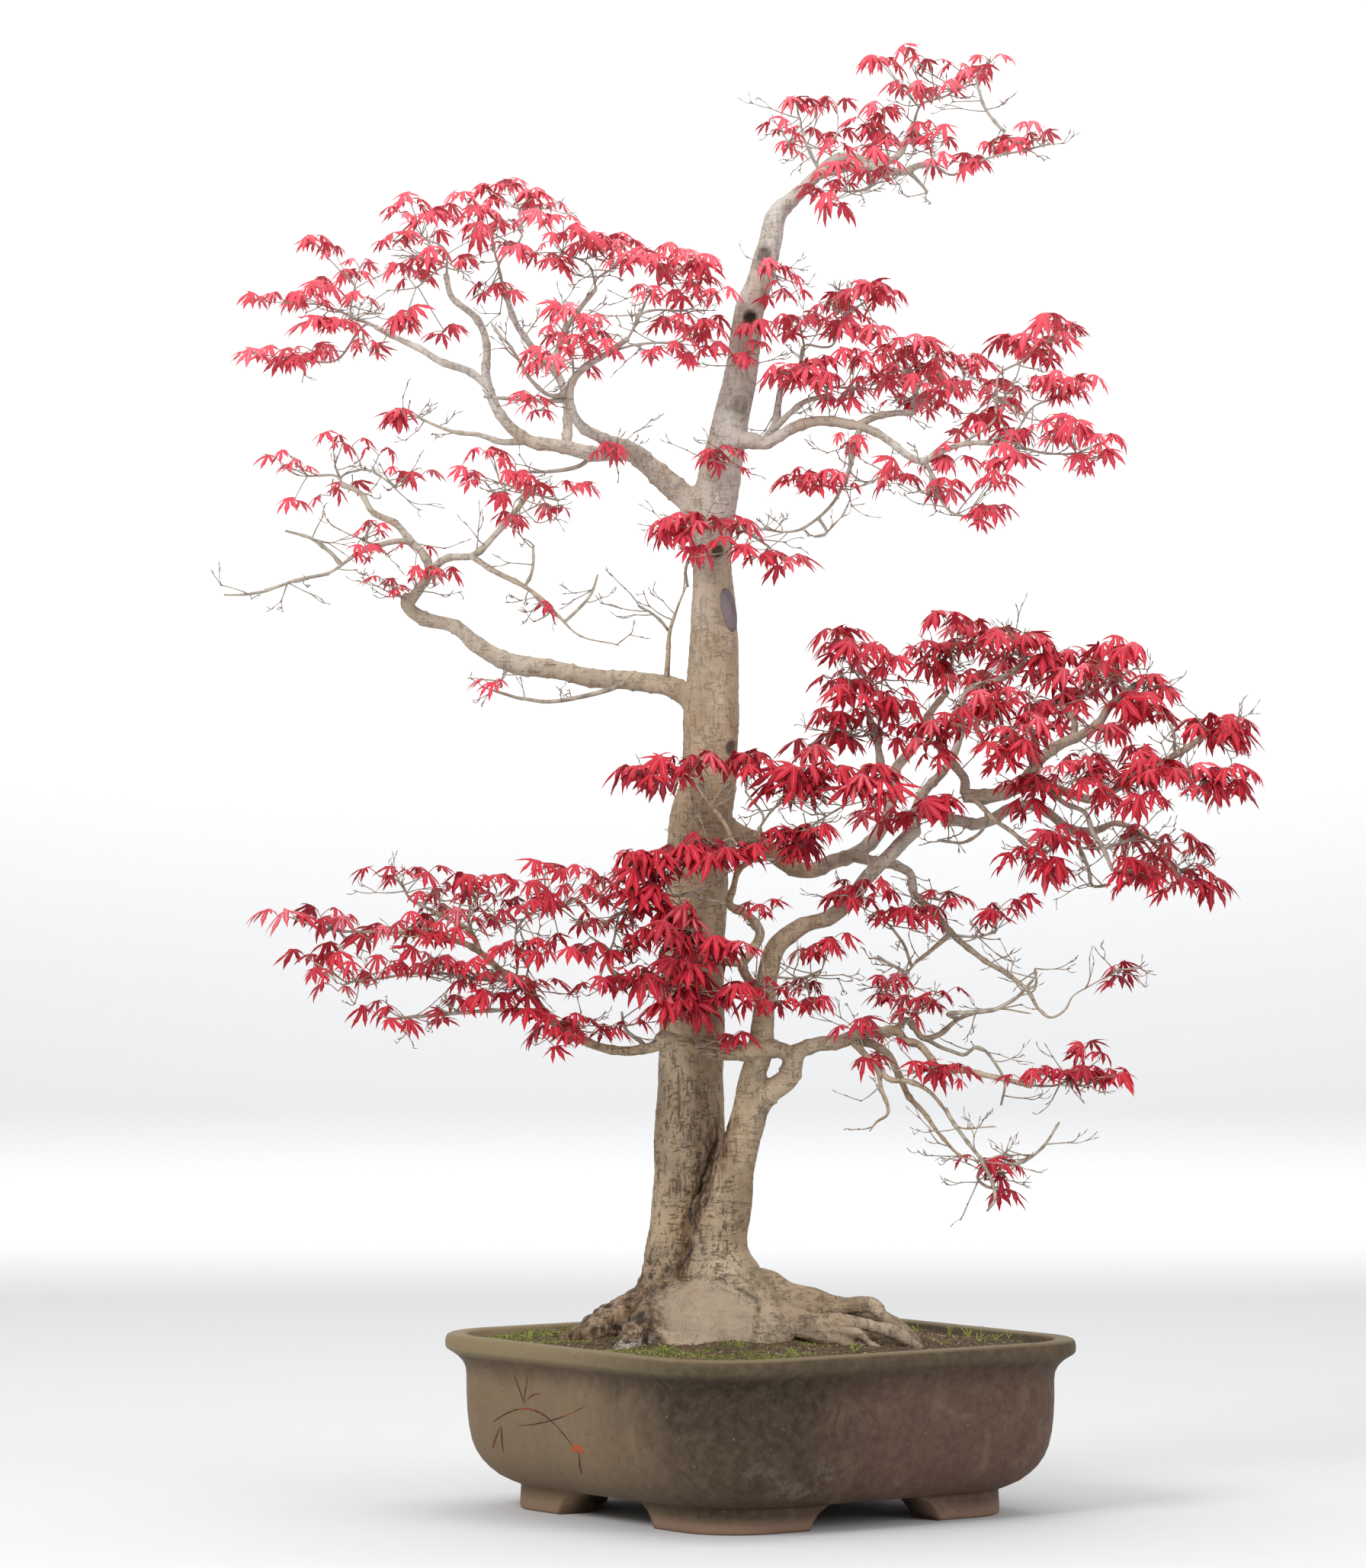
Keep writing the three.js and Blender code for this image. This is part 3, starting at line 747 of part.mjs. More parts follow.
// A path without the points that lie within the tolerance of the line past them
function slimPath(path, tolerance) {
  const first = path[0];
  const last = path[path.length - 1];
  const axis = new THREE.Line3(new THREE.Vector3(...first), new THREE.Vector3(...last));
  let worst = { off: 0, index: 0 };
  path.slice(1, -1).forEach((point, index) => {
    const at = new THREE.Vector3(...point);
    const share = axis.closestPointToPointParameter(at, true);
    const bulge = Math.abs(point[3] - THREE.MathUtils.lerp(first[3], last[3], share));
    const off = axis.at(share, new THREE.Vector3()).distanceTo(at) + 2 * bulge;
    if (off > worst.off) worst = { off, index: index + 1 };
  });
  if (worst.off <= tolerance) return [first, last];
  const before = slimPath(path.slice(0, worst.index + 1), tolerance);
  const after = slimPath(path.slice(worst.index), tolerance);
  return [...before, ...after.slice(1)];
}

// The tables hold the tree's depth as it looks from the front; it is this much deeper
const deepened = ([x, y, ...rest]) => [x, y * TREE_DEPTH, ...rest];

function deepenedSpray(spray) {
  return {
    ...spray,
    root: deepened(spray.root),
    depth: spray.depth * TREE_DEPTH,
    spread: spray.spread * TREE_DEPTH,
    guides: spray.guides.map(deepened),
  };
}

// The stems and shoots of the wood as they are built, the slimmer ones with fewer points
function builtLimbs() {
  const limbs = Object.entries(STEMS).map(([name, { sides, path }]) => {
    const thickest = Math.max(...path.map((point) => point[3]));
    const tolerance = thickest > 20 ? TRUNK_TOLERANCE : PATH_TOLERANCE * (0.5 + thickest / 12);
    const placed = name.startsWith('root_') ? path : path.map(deepened);
    return { name, sides, path: slimPath(placed, tolerance) };
  });
  const shoots = Object.entries(SHOOTS).map(([name, path]) => ({ name, sides: 4, path: path.map(deepened) }));
  return [...limbs, ...shoots];
}

// The outline of a square with rounded corners, turned as the pot stands
function roundedSquare(half, corner, height) {
  const points = [];
  for (let quarter = 0; quarter < 4; quarter += 1) {
    const middle = new THREE.Vector2(half - corner, half - corner)
      .rotateAround(new THREE.Vector2(), THREE.MathUtils.degToRad(90 * quarter + POT_TURN));
    for (let step = 0; step <= CORNER_STEPS; step += 1) {
      const angle = THREE.MathUtils.degToRad(90 * (quarter + step / CORNER_STEPS) + POT_TURN);
      points.push([middle.x + Math.cos(angle) * corner, middle.y + Math.sin(angle) * corner, height]);
    }
  }
  return points;
}

function squareLoft(levels) {
  return skinnedRings(levels.map(([height, half, corner]) => roundedSquare(half, corner, height)));
}

// A level prism through the pot's centre for the gaps between feet: its section narrows upwards, faster
// near the bowl
function footGap(turn) {
  const corners = [[FOOT_GAP_BOTTOM, -1]];
  for (let step = 1; step <= FOOT_GAP_STEPS; step += 1) {
    const share = step / FOOT_GAP_STEPS;
    const half = THREE.MathUtils.lerp(FOOT_GAP_BOTTOM, FOOT_GAP_TOP, share ** 2);
    corners.push([half, share * FOOT_GAP_HEIGHT]);
  }
  corners.push([FOOT_GAP_TOP, FLOOR_TOP]);
  const mirrored = corners.map(([half, height]) => [-half, height]).reverse();
  const outline = new THREE.Shape([...corners, ...mirrored].map(([x, y]) => new THREE.Vector2(x, y)));
  const length = FOOT_HALF * 3;
  const prism = new THREE.ExtrudeGeometry(outline, { depth: length, bevelEnabled: false });
  prism.translate(0, 0, -length / 2);
  prism.rotateX(Math.PI / 2);
  prism.rotateZ(THREE.MathUtils.degToRad(turn));
  return solidOfGeometry(prism);
}

// A solid from one of the library's closed geometries, whose doubled corners are merged here
function solidOfGeometry(geometry) {
  const source = geometry.index ? geometry.toNonIndexed() : geometry;
  const place = source.getAttribute('position');
  const found = new Map();
  const points = [];
  const corners = [];
  for (let index = 0; index < place.count; index += 1) {
    const point = [place.getX(index), place.getY(index), place.getZ(index)];
    const key = point.map((value) => Math.round(value * 1e4)).join();
    if (!found.has(key)) {
      found.set(key, points.length);
      points.push(point);
    }
    corners.push(found.get(key));
  }
  const triangles = [];
  for (let index = 0; index < corners.length; index += 3) {
    const [a, b, c] = corners.slice(index, index + 3);
    if (a !== b && b !== c && c !== a) triangles.push([a, b, c]);
  }
  return solidFrom(points, triangles);
}

function uprightCylinder(radius, low, high, sides, x) {
  const cylinder = new THREE.CylinderGeometry(radius, radius, high - low, sides);
  cylinder.rotateX(Math.PI / 2);
  cylinder.translate(x, 0, (low + high) / 2);
  cylinder.rotateZ(THREE.MathUtils.degToRad(POT_TURN));
  return solidOfGeometry(cylinder);
}

function plate(side, low, high, x) {
  const box = new THREE.BoxGeometry(side, side, high - low);
  box.translate(x, 0, (low + high) / 2);
  box.rotateZ(THREE.MathUtils.degToRad(POT_TURN));
  return solidOfGeometry(box);
}

// The pot: bowl with its lip and cove, four corner feet, drain holes
function potSolid() {
  const bowl = squareLoft(OUTER_WALL);
  const feet = squareLoft([
    [0, FOOT_HALF, FOOT_CORNER],
    [OUTER_WALL[1][0], FOOT_HALF - 1, FOOT_CORNER],
  ]);
  const inside = squareLoft([
    [-1, FOOT_HALF - FOOT_DEPTH, FOOT_CORNER / 2],
    [OUTER_WALL[1][0] + 1, FOOT_HALF - FOOT_DEPTH, FOOT_CORNER / 2],
  ]);
  const cornerFeet = feet.subtract(inside).subtract(footGap(POT_TURN)).subtract(footGap(POT_TURN + 90));
  let pot = wasm.Manifold.union([bowl, cornerFeet]).subtract(squareLoft(INNER_WALL));
  for (const x of DRAIN_PLACES) {
    pot = pot.subtract(uprightCylinder(DRAIN_RADIUS, 0, FLOOR_TOP + 2, 16, x));
  }
  return pot;
}

// A drain screen: a thin square plate with rows of square meshes
function screenSolid(x) {
  const low = FLOOR_TOP + GAP;
  let screen = plate(SCREEN_SIDE, low, low + SCREEN_THICK, x);
  const pitch = SCREEN_SIDE / (SCREEN_MESH + 0.5);
  for (let row = 0; row < SCREEN_MESH; row += 1) {
    for (let column = 0; column < SCREEN_MESH; column += 1) {
      const mesh = new THREE.BoxGeometry(pitch * 0.62, pitch * 0.62, SCREEN_THICK * 4);
      const middle = (SCREEN_MESH - 1) / 2;
      mesh.translate(x + (column - middle) * pitch, (row - middle) * pitch, low);
      mesh.rotateZ(THREE.MathUtils.degToRad(POT_TURN));
      screen = screen.subtract(solidOfGeometry(mesh));
    }
  }
  return screen;
}

// The soil: fills the pot, mounds up to the trunk in rings, and has a recess for the root base
function soilSolid(rootRecess) {
  const walls = INNER_WALL.slice(0, -1).map(([height, half, corner]) => (
    roundedSquare(half - GAP - 0.1, corner - GAP, height + (height === FLOOR_TOP ? GAP : 0))
  ));
  const top = roundedSquare(INNER_WALL[3][1] + 6.5, 45, SOIL_EDGE);
  const rings = [...walls, top];
  for (let ring = 1; ring < SOIL_RINGS; ring += 1) {
    const share = ring / SOIL_RINGS;
    rings.push(top.map(([x, y]) => {
      const px = THREE.MathUtils.lerp(x, SOIL_CENTRE[0], share);
      const py = THREE.MathUtils.lerp(y, SOIL_CENTRE[1], share);
      return [px, py, soilHeight(px, py)];
    }));
  }
  let soil = skinnedRings(rings).subtract(rootRecess);
  for (const x of DRAIN_PLACES) {
    soil = soil.subtract(plate(SCREEN_SIDE + 2 * GAP, 0, FLOOR_TOP + SCREEN_THICK + 2 * GAP, x));
  }
  return soil;
}

// Height of the soil: a low mound round the trunk with a gentle waviness
function soilHeight(x, y) {
  const distance = Math.hypot(x - SOIL_CENTRE[0], y - SOIL_CENTRE[1]);
  const mound = SOIL_RISE * Math.exp(-((distance / SOIL_SPREAD) ** 2));
  return SOIL_EDGE + 1 + mound + 1.2 * Math.sin(x / 17) * Math.cos(y / 21);
}

// The part of the wood that meets the soil, made thicker all round by the clearance
function rootRecess() {
  const roots = LIMBS.filter(({ name }) => name.startsWith('root_') || name.endsWith('_trunk'));
  return wasm.Manifold.union(roots.map(({ sides, path }) => stem(path, sides, GAP * 1.5)));
}

// A leaf on its stalk: five pointed lobes that droop round the stalk's end like a half closed
// umbrella. A stalk that comes from behind is one skin with the blade, and its last ring is the
// leaf's top and underside. Any other stalk is a solid of its own that ends inside the blade.
function stalkedLeaf({ from, top, heading, length, droop }, clearance) {
  const forward = new THREE.Vector3(Math.cos(heading), Math.sin(heading), 0);
  const crown = top.clone().add(new THREE.Vector3(0, 0, clearance));
  const approach = crown.clone().sub(from).normalize();
  const up = new THREE.Vector3(0, 0, 1).addScaledVector(forward, approach.z > 0 ? -0.5 : 0.5);
  const isFromBehind = approach.dot(forward) >= BEHIND_LIMIT;
  const root = ringAcross(from, approach, up, STALK_ROOT + clearance, 3);
  const rings = isFromBehind ? [root] : [];
  const reach = (turn, share, pitch) => {
    const angle = heading + THREE.MathUtils.degToRad(turn);
    const fall = THREE.MathUtils.degToRad(pitch * droop);
    return new THREE.Vector3(
      Math.cos(angle) * Math.cos(fall),
      Math.sin(angle) * Math.cos(fall),
      -Math.sin(fall),
    ).multiplyScalar(share * length + clearance).add(crown).toArray();
  };
  const rim = [];
  LOBE_TURN.forEach((turn, lobe) => {
    rim.push(reach(turn, LOBE_LENGTH[lobe], LOBE_PITCH));
    if (lobe + 1 < LOBE_TURN.length) {
      rim.push(reach((turn + LOBE_TURN[lobe + 1]) / 2, SINUS_LENGTH, SINUS_PITCH));
    }
  });
  const thickness = LEAF_THICK + 2 * clearance;
  const under = crown.clone().add(new THREE.Vector3(0, 0, -thickness));
  const side = new THREE.Vector3(-forward.y, forward.x, 0).multiplyScalar(thickness * RIB_SHARE);
  rings.push([crown.toArray(), under.clone().sub(side).toArray(), under.clone().add(side).toArray()]);
  const topIndex = (rings.length - 1) * 3;
  const [right, left, first] = [topIndex + 1, topIndex + 2, topIndex + 3];
  const last = first + rim.length - 1;
  const tip = first + (rim.length - 1) / 2;
  const triangles = ringTriangles(rings.length, 3);
  for (let index = first; index < last; index += 1) {
    triangles.push([topIndex, index, index + 1]);
    triangles.push([index < tip ? right : left, index + 1, index]);
  }
  triangles.push([right, left, tip], [topIndex, right, first], [topIndex, last, left]);
  const blade = solidFrom([...rings.flat(), ...rim], triangles);
  if (isFromBehind) return blade;
  const end = crown.clone().add(new THREE.Vector3(0, 0, -thickness / 2));
  return blade.add(skinnedRings([root, ringAcross(end, approach, up, STALK_END + clearance, 3)]));
}

// Twigs: from the spray's start, each guide joins the nearest twig, with a cost for turning back
function growTwigs(start, direction, guides) {
  const root = { at: start, from: null, along: direction, load: 0 };
  const lead = { at: start.clone().addScaledVector(direction, LEAD), from: root, along: direction, load: 0 };
  const nodes = [root, lead];
  const waiting = guides.map((point) => new THREE.Vector3(...point));
  while (waiting.length > 0) {
    let best = { cost: Infinity };
    for (const at of waiting) {
      for (const node of nodes.slice(1)) {
        const step = at.clone().sub(node.at);
        const turn = 1 - step.dot(node.along) / step.length();
        const cost = step.length() * (1 + TURN_COST * turn);
        if (cost < best.cost) best = { cost, at, node, step };
      }
    }
    waiting.splice(waiting.indexOf(best.at), 1);
    nodes.push({ at: best.at, from: best.node, along: best.step.normalize(), load: 0 });
  }
  return nodes;
}

// Counts a leaf on the twig nearest to it and on all that carry that twig
function loadTwigs(nodes, top) {
  const distances = nodes.slice(1).map(({ from, at }) => (
    new THREE.Line3(from.at, at).closestPointToPoint(top, true, new THREE.Vector3()).distanceTo(top)
  ));
  const nearest = nodes[1 + distances.indexOf(Math.min(...distances))];
  for (let carrier = nearest; carrier !== null; carrier = carrier.from) carrier.load += 1;
}

// The twigs that the leaves need: an outer guide that carries fewer than two of them is left out
function busyTwigs(start, direction, guides, leaves) {
  const nodes = growTwigs(start, direction, guides);
  for (const leaf of leaves) loadTwigs(nodes, leaf.top);
  const idle = nodes.slice(2).find((node) => node.load < 2 && !nodes.some(({ from }) => from === node));
  if (!idle) return nodes;
  const rest = guides.filter(([x, y, z]) => idle.at.distanceTo(new THREE.Vector3(x, y, z)) > 0);
  return busyTwigs(start, direction, rest, leaves);
}

const twigRadius = (load) => TWIG_TIP + TWIG_GROWTH * Math.sqrt(load);

// Twigs as runs: from each fork, the straightest branch carries the run on
function twigRuns(nodes) {
  const runs = [];
  const heir = new Map();
  for (const node of nodes) {
    const branches = nodes.filter((other) => other.from === node);
    branches.sort((a, b) => b.along.dot(node.along) - a.along.dot(node.along));
    const straight = branches.find((branch) => branch.along.dot(node.along) > STRAIGHT_LIMIT);
    if (straight) heir.set(node, straight);
    for (const branch of branches) {
      if (branch !== straight) runs.push([node, branch]);
    }
  }
  runs.unshift([nodes[0], heir.get(nodes[0])]);
  for (const run of runs) {
    while (heir.has(run[run.length - 1])) run.push(heir.get(run[run.length - 1]));
  }
  return runs;
}

// Where a leaf's stalk springs from: the nearest place on the twigs' paths, a little back along them
function stalkRoot(paths, top) {
  let best = { distance: Infinity };
  paths.forEach((path, run) => {
    for (let index = 1; index < path.length; index += 1) {
      const axis = new THREE.Line3(new THREE.Vector3(...path[index - 1]), new THREE.Vector3(...path[index]));
      const share = axis.closestPointToPointParameter(top, true);
      const distance = axis.at(share, new THREE.Vector3()).distanceTo(top);
      if (distance < best.distance) best = { distance, axis, share, isLead: run === 0 && index === 1 };
    }
  });
  const { distance, axis, share, isLead } = best;
  const back = (STALK_SETBACK * distance) / axis.distance();
  const lowest = isLead ? 0.8 : 0.1;
  return axis.at(THREE.MathUtils.clamp(share - back, lowest, 0.96), new THREE.Vector3());
}

// The place on the wood that a spray leaves from: the end of a limb, or the axis of one beside it
function placeOnWood(root) {
  let best = { distance: Infinity };
  for (const { path } of LIMBS) {
    for (let index = 1; index < path.length; index += 1) {
      const low = new THREE.Vector3(...path[index - 1]);
      const high = new THREE.Vector3(...path[index]);
      const axis = new THREE.Line3(low, high);
      const share = axis.closestPointToPointParameter(root, true);
      const at = axis.at(share, new THREE.Vector3());
      const radius = THREE.MathUtils.lerp(path[index - 1][3], path[index][3], share);
      const distance = at.distanceTo(root) - radius;
      const along = high.clone().sub(low).normalize();
      const isEnd = index === path.length - 1 && high.distanceTo(root) < END_REACH;
      if (isEnd) return { at: high, along, radius, isEnd };
      if (distance < best.distance) best = { distance, at, along, radius, isEnd };
    }
  }
  return best;
}

// Where a spray starts and the way it sets off, with the stub of wood that carries it, if any
function springing({ root, depth, guides, leaves, fused: isFused }) {
  const { at, along, radius, isEnd } = placeOnWood(new THREE.Vector3(...root));
  if (isEnd) {
    const reach = isFused ? -SUNK : GAP;
    return { start: at.clone().addScaledVector(along, reach), direction: along, stub: null };
  }
  const target = guides.length > 0 ? guides[0] : [leaves[0][0], depth, leaves[0][1] - 8];
  const direction = new THREE.Vector3(...target).sub(at);
  direction.addScaledVector(along, -direction.dot(along) * 0.7).normalize();
  if (isFused) return { start: at.clone().addScaledVector(direction, radius * 0.5), direction, stub: null };
  const tip = at.clone().addScaledVector(direction, radius + STUB_LENGTH);
  const stub = [[...at.toArray(), STUB_RADIUS + 0.6], [...tip.toArray(), STUB_RADIUS]];
  return { start: tip.clone().addScaledVector(direction, GAP), direction, stub };
}

// The wood without its fused sprays: limbs, shoots and the stubs that carry side sprays
function woodParts() {
  const limbs = LIMBS.map(({ sides, path }) => stem(path, sides));
  const stubs = Object.values(SPRAYS)
    .map((spray) => springing(deepenedSpray(spray)).stub)
    .filter((stub) => stub !== null);
  return [...limbs, ...stubs.map((path) => stem(path, 4))];
}

// All pieces of the tree with the node each belongs to, so that no two nodes cross
const pieces = [];

function addPiece(owner, solid) {
  pieces.push({ owner, solid, box: solid.boundingBox() });
}

function overlap(owner, solid, sameOwner) {
  const { min, max } = solid.boundingBox();
  let volume = 0;
  for (const other of pieces) {
    const near = (other.owner === owner) === sameOwner
      && other.box.min.every((value, axis) => value < max[axis])
      && other.box.max.every((value, axis) => value > min[axis]);
    if (near) volume += solid.intersect(other.solid).volume();
  }
  return volume;
}

// The leaves of a spray, each at its place with the random turn, size and droop it is given
function sprayLeaves({ depth, spread, leaves }, seed, firstNumber) {
  const draw = seededDraws(seed);
  const tops = leaves.map(([x, z]) => new THREE.Vector3(x, depth + spread * (2 * draw() - 1), z));
  const all = tops.map((top) => ({
    top,
    swing: LEAF_SWING * (2 * draw() - 1),
    length: LEAF_LENGTH * (0.82 + 0.36 * draw()),
    droop: 0.85 + 0.3 * draw(),
  }));
  return all.filter((_, index) => (firstNumber + index) % LEAF_CYCLE === 0);
}

// A spray's twigs, moved in depth where they would cross another node
function addTwigs(owner, spray, leaves) {
  const { start, direction } = springing(spray);
  for (const shift of DEPTH_SHIFTS) {
    const nodes = busyTwigs(start, direction, spray.guides.map(([x, y, z]) => [x, y + shift, z]), leaves);
    if (owner === 'wood' && nodes.length === 2) {
      for (const leaf of leaves) leaf.from = start;
      return;
    }
    const paths = twigRuns(nodes).map((run) => {
      const path = run.map((node) => [...node.at.toArray(), twigRadius(node.load)]);
      if (run[0] === nodes[0]) return [path[0], ...slimPath(path.slice(1), TWIG_TOLERANCE)];
      const [x, y, z, radius] = path[0];
      return slimPath([[x, y, z, radius * 0.5], ...path.slice(1)], TWIG_TOLERANCE);
    });
    if (paths.every((path) => overlap(owner, stem(path, TWIG_SIDES, GAP * 0.7), false) === 0)) {
      for (const path of paths) addPiece(owner, stem(path, TWIG_SIDES));
      for (const leaf of leaves) leaf.from = stalkRoot(paths, leaf.top);
      return;
    }
  }
  throw new Error(`the twigs of a spray of ${owner} cross another node`);
}

// A spray's leaves, each turned so that it crosses no other node and its own as little as can be.
// One that crosses another node whichever way it is turned is left out.
function addLeaves(owner, leaves) {
  for (const leaf of leaves) {
    const outward = Math.atan2(leaf.top.y - leaf.from.y, leaf.top.x - leaf.from.x);
    let best = { crossing: Infinity };
    const tryTurn = (turn) => {
      const blade = { ...leaf, heading: outward + turn };
      if (overlap(owner, stalkedLeaf(blade, GAP), false) > 0) return;
      const solid = stalkedLeaf(blade, 0);
      const crossing = overlap(owner, solid, true);
      if (crossing < best.crossing) best = { crossing, solid };
    };
    [leaf.swing, -leaf.swing, 0, 1, -1].forEach(tryTurn);
    if (!best.solid) [1.5, -1.5, 2, -2, 2.8].forEach(tryTurn);
    if (best.solid) addPiece(owner, best.solid);
  }
}

function meshOf(name, solid, material) {
  const { vertProperties, triVerts } = solid.getMesh();
  const geometry = new THREE.BufferGeometry();
  geometry.setAttribute('position', new THREE.BufferAttribute(new Float32Array(vertProperties), 3));
  geometry.setIndex(new THREE.BufferAttribute(new Uint32Array(triVerts), 1));
  geometry.computeVertexNormals();
  const mesh = new THREE.Mesh(geometry, material);
  mesh.name = name;
  return mesh;
}

const clay = new THREE.MeshStandardMaterial({ color: 0x7b6a5a, roughness: 0.85, metalness: 0 });
const earth = new THREE.MeshStandardMaterial({ color: 0x5b5030, roughness: 1, metalness: 0 });
const bark = new THREE.MeshStandardMaterial({ color: 0xb3a48c, roughness: 0.9, metalness: 0 });
const foliage = new THREE.MeshStandardMaterial({ color: 0xb3202c, roughness: 0.6, metalness: 0 });
const netting = new THREE.MeshStandardMaterial({ color: 0x202020, roughness: 0.7, metalness: 0 });

const LIMBS = builtLimbs();
const tree = new THREE.Group();
tree.add(meshOf('pot', potSolid(), clay));
tree.add(meshOf('soil', soilSolid(rootRecess()), earth));
DRAIN_PLACES.forEach((x, index) => tree.add(meshOf(`drain_screen_${index + 1}`, screenSolid(x), netting)));

woodParts().forEach((solid) => addPiece('wood', solid));
let leafNumber = 0;
const sprays = Object.entries(SPRAYS).map(([name, entry], index) => {
  const spray = deepenedSpray(entry);
  const leaves = sprayLeaves(spray, seedOf(index), leafNumber);
  leafNumber += spray.leaves.length;
  return { owner: spray.fused ? 'wood' : `spray_${name}`, spray, leaves };
});
sprays.forEach(({ owner, spray, leaves }) => addTwigs(owner, spray, leaves));
sprays.forEach(({ owner, leaves }) => addLeaves(owner, leaves));
for (const owner of new Set(pieces.map((piece) => piece.owner))) {
  const own = pieces.filter((piece) => piece.owner === owner).map(({ solid }) => solid);
  tree.add(meshOf(owner, fused(own), owner === 'wood' ? bark : foliage));
}

// The whole is centred on its bounding box and stands on z = 0
const extent = new THREE.Box3().setFromObject(tree);
const middle = extent.getCenter(new THREE.Vector3());
tree.position.set(-middle.x, -middle.y, -extent.min.z);

const part = new THREE.Group();
part.add(tree);

export default part;
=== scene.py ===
"""A red-leaved Japanese maple bonsai in its square clay pot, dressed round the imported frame."""

import logging
import math
from dataclasses import dataclass, field
from enum import Enum
from typing import NamedTuple

import bpy
import numpy as np
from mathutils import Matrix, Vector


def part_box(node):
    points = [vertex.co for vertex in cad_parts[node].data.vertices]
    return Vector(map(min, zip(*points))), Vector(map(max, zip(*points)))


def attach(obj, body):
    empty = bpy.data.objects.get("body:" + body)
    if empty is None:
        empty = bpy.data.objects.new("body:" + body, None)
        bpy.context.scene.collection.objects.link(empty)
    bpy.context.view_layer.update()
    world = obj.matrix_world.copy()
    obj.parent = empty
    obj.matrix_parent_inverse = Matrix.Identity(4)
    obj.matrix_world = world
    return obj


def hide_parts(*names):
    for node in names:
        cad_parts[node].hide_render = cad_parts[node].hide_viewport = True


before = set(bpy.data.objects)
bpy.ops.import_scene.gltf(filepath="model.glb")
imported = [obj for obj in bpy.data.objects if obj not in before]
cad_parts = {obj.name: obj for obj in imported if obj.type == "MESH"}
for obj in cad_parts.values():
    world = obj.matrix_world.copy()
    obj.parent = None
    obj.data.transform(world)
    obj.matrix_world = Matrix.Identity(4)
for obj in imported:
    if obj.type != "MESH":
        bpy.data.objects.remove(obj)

LOG = logging.getLogger("bonsai")
MM = 0.001
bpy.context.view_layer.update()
POT_BOX = [np.array(corner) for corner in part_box("pot")]
POT_CENTRE = np.array([*(POT_BOX[0] + POT_BOX[1])[:2] / 2, 0.0])

Array = np.ndarray


class Region(Enum):
    """The leafy masses of the crown, each one piece of foliage."""

    CROWN = "crown"
    UPPER_LEFT = "upper_left"
    UPPER_RIGHT = "upper_right"
    MIDDLE_LEFT = "middle_left"
    FRONT = "front"
    LOW_LEFT = "low_left"
    PAD = "pad"
    LOW_RIGHT = "low_right"


class Limb(NamedTuple):
    """A stem: its name and its path as x, y, z and radius in mm, thick end first."""

    name: str
    path: tuple


class Spray(NamedTuple):
    """A leafy twig: name, whether it has a node of its own, root, depth of its middle, spread in
    depth, the points that its twigs pass and the top of each leaf as x, z, in mm."""

    name: str
    own_node: bool
    root: tuple
    depth: float
    spread: float
    guides: tuple
    leaves: tuple


class Scar(NamedTuple):
    """A healed cut: centre and radius in mm, height of its lip, depth of its middle, darkness."""

    centre: tuple
    radius: float
    lip: float
    hollow: float
    dark: float


# The tree is this much deeper than the depths in the tables
TREE_DEPTH = 1.45

# The pot's sides are turned by this angle from the X and Y axes
POT_TURN = math.radians(36.5)

# Factor, step and range of the rule that draws even numbers, which the part's source shares
DRAW_FACTOR = 1664525
DRAW_STEP = 1013904223
DRAW_RANGE = 2**32

# Bark and twigs turn from brown to pale over this stretch of height in mm
PALE_FROM = 520
PALE_SPAN = 250

REGION_PREFIXES = (
    ("crown", Region.CROWN), ("trunk_top", Region.CROWN),
    ("right_low", Region.LOW_RIGHT), ("inner_right", Region.UPPER_RIGHT), ("right_", Region.UPPER_RIGHT),
    ("trunk_", Region.UPPER_RIGHT),
    ("left_pad", Region.LOW_LEFT), ("left_under", Region.LOW_LEFT), ("left_", Region.UPPER_LEFT),
    ("middle_left", Region.MIDDLE_LEFT), ("front_", Region.FRONT),
    ("pad_", Region.PAD), ("arm_high", Region.PAD), ("under_pad", Region.PAD),
    ("low", Region.LOW_RIGHT), ("second", Region.LOW_RIGHT), ("bend", Region.LOW_RIGHT),
)

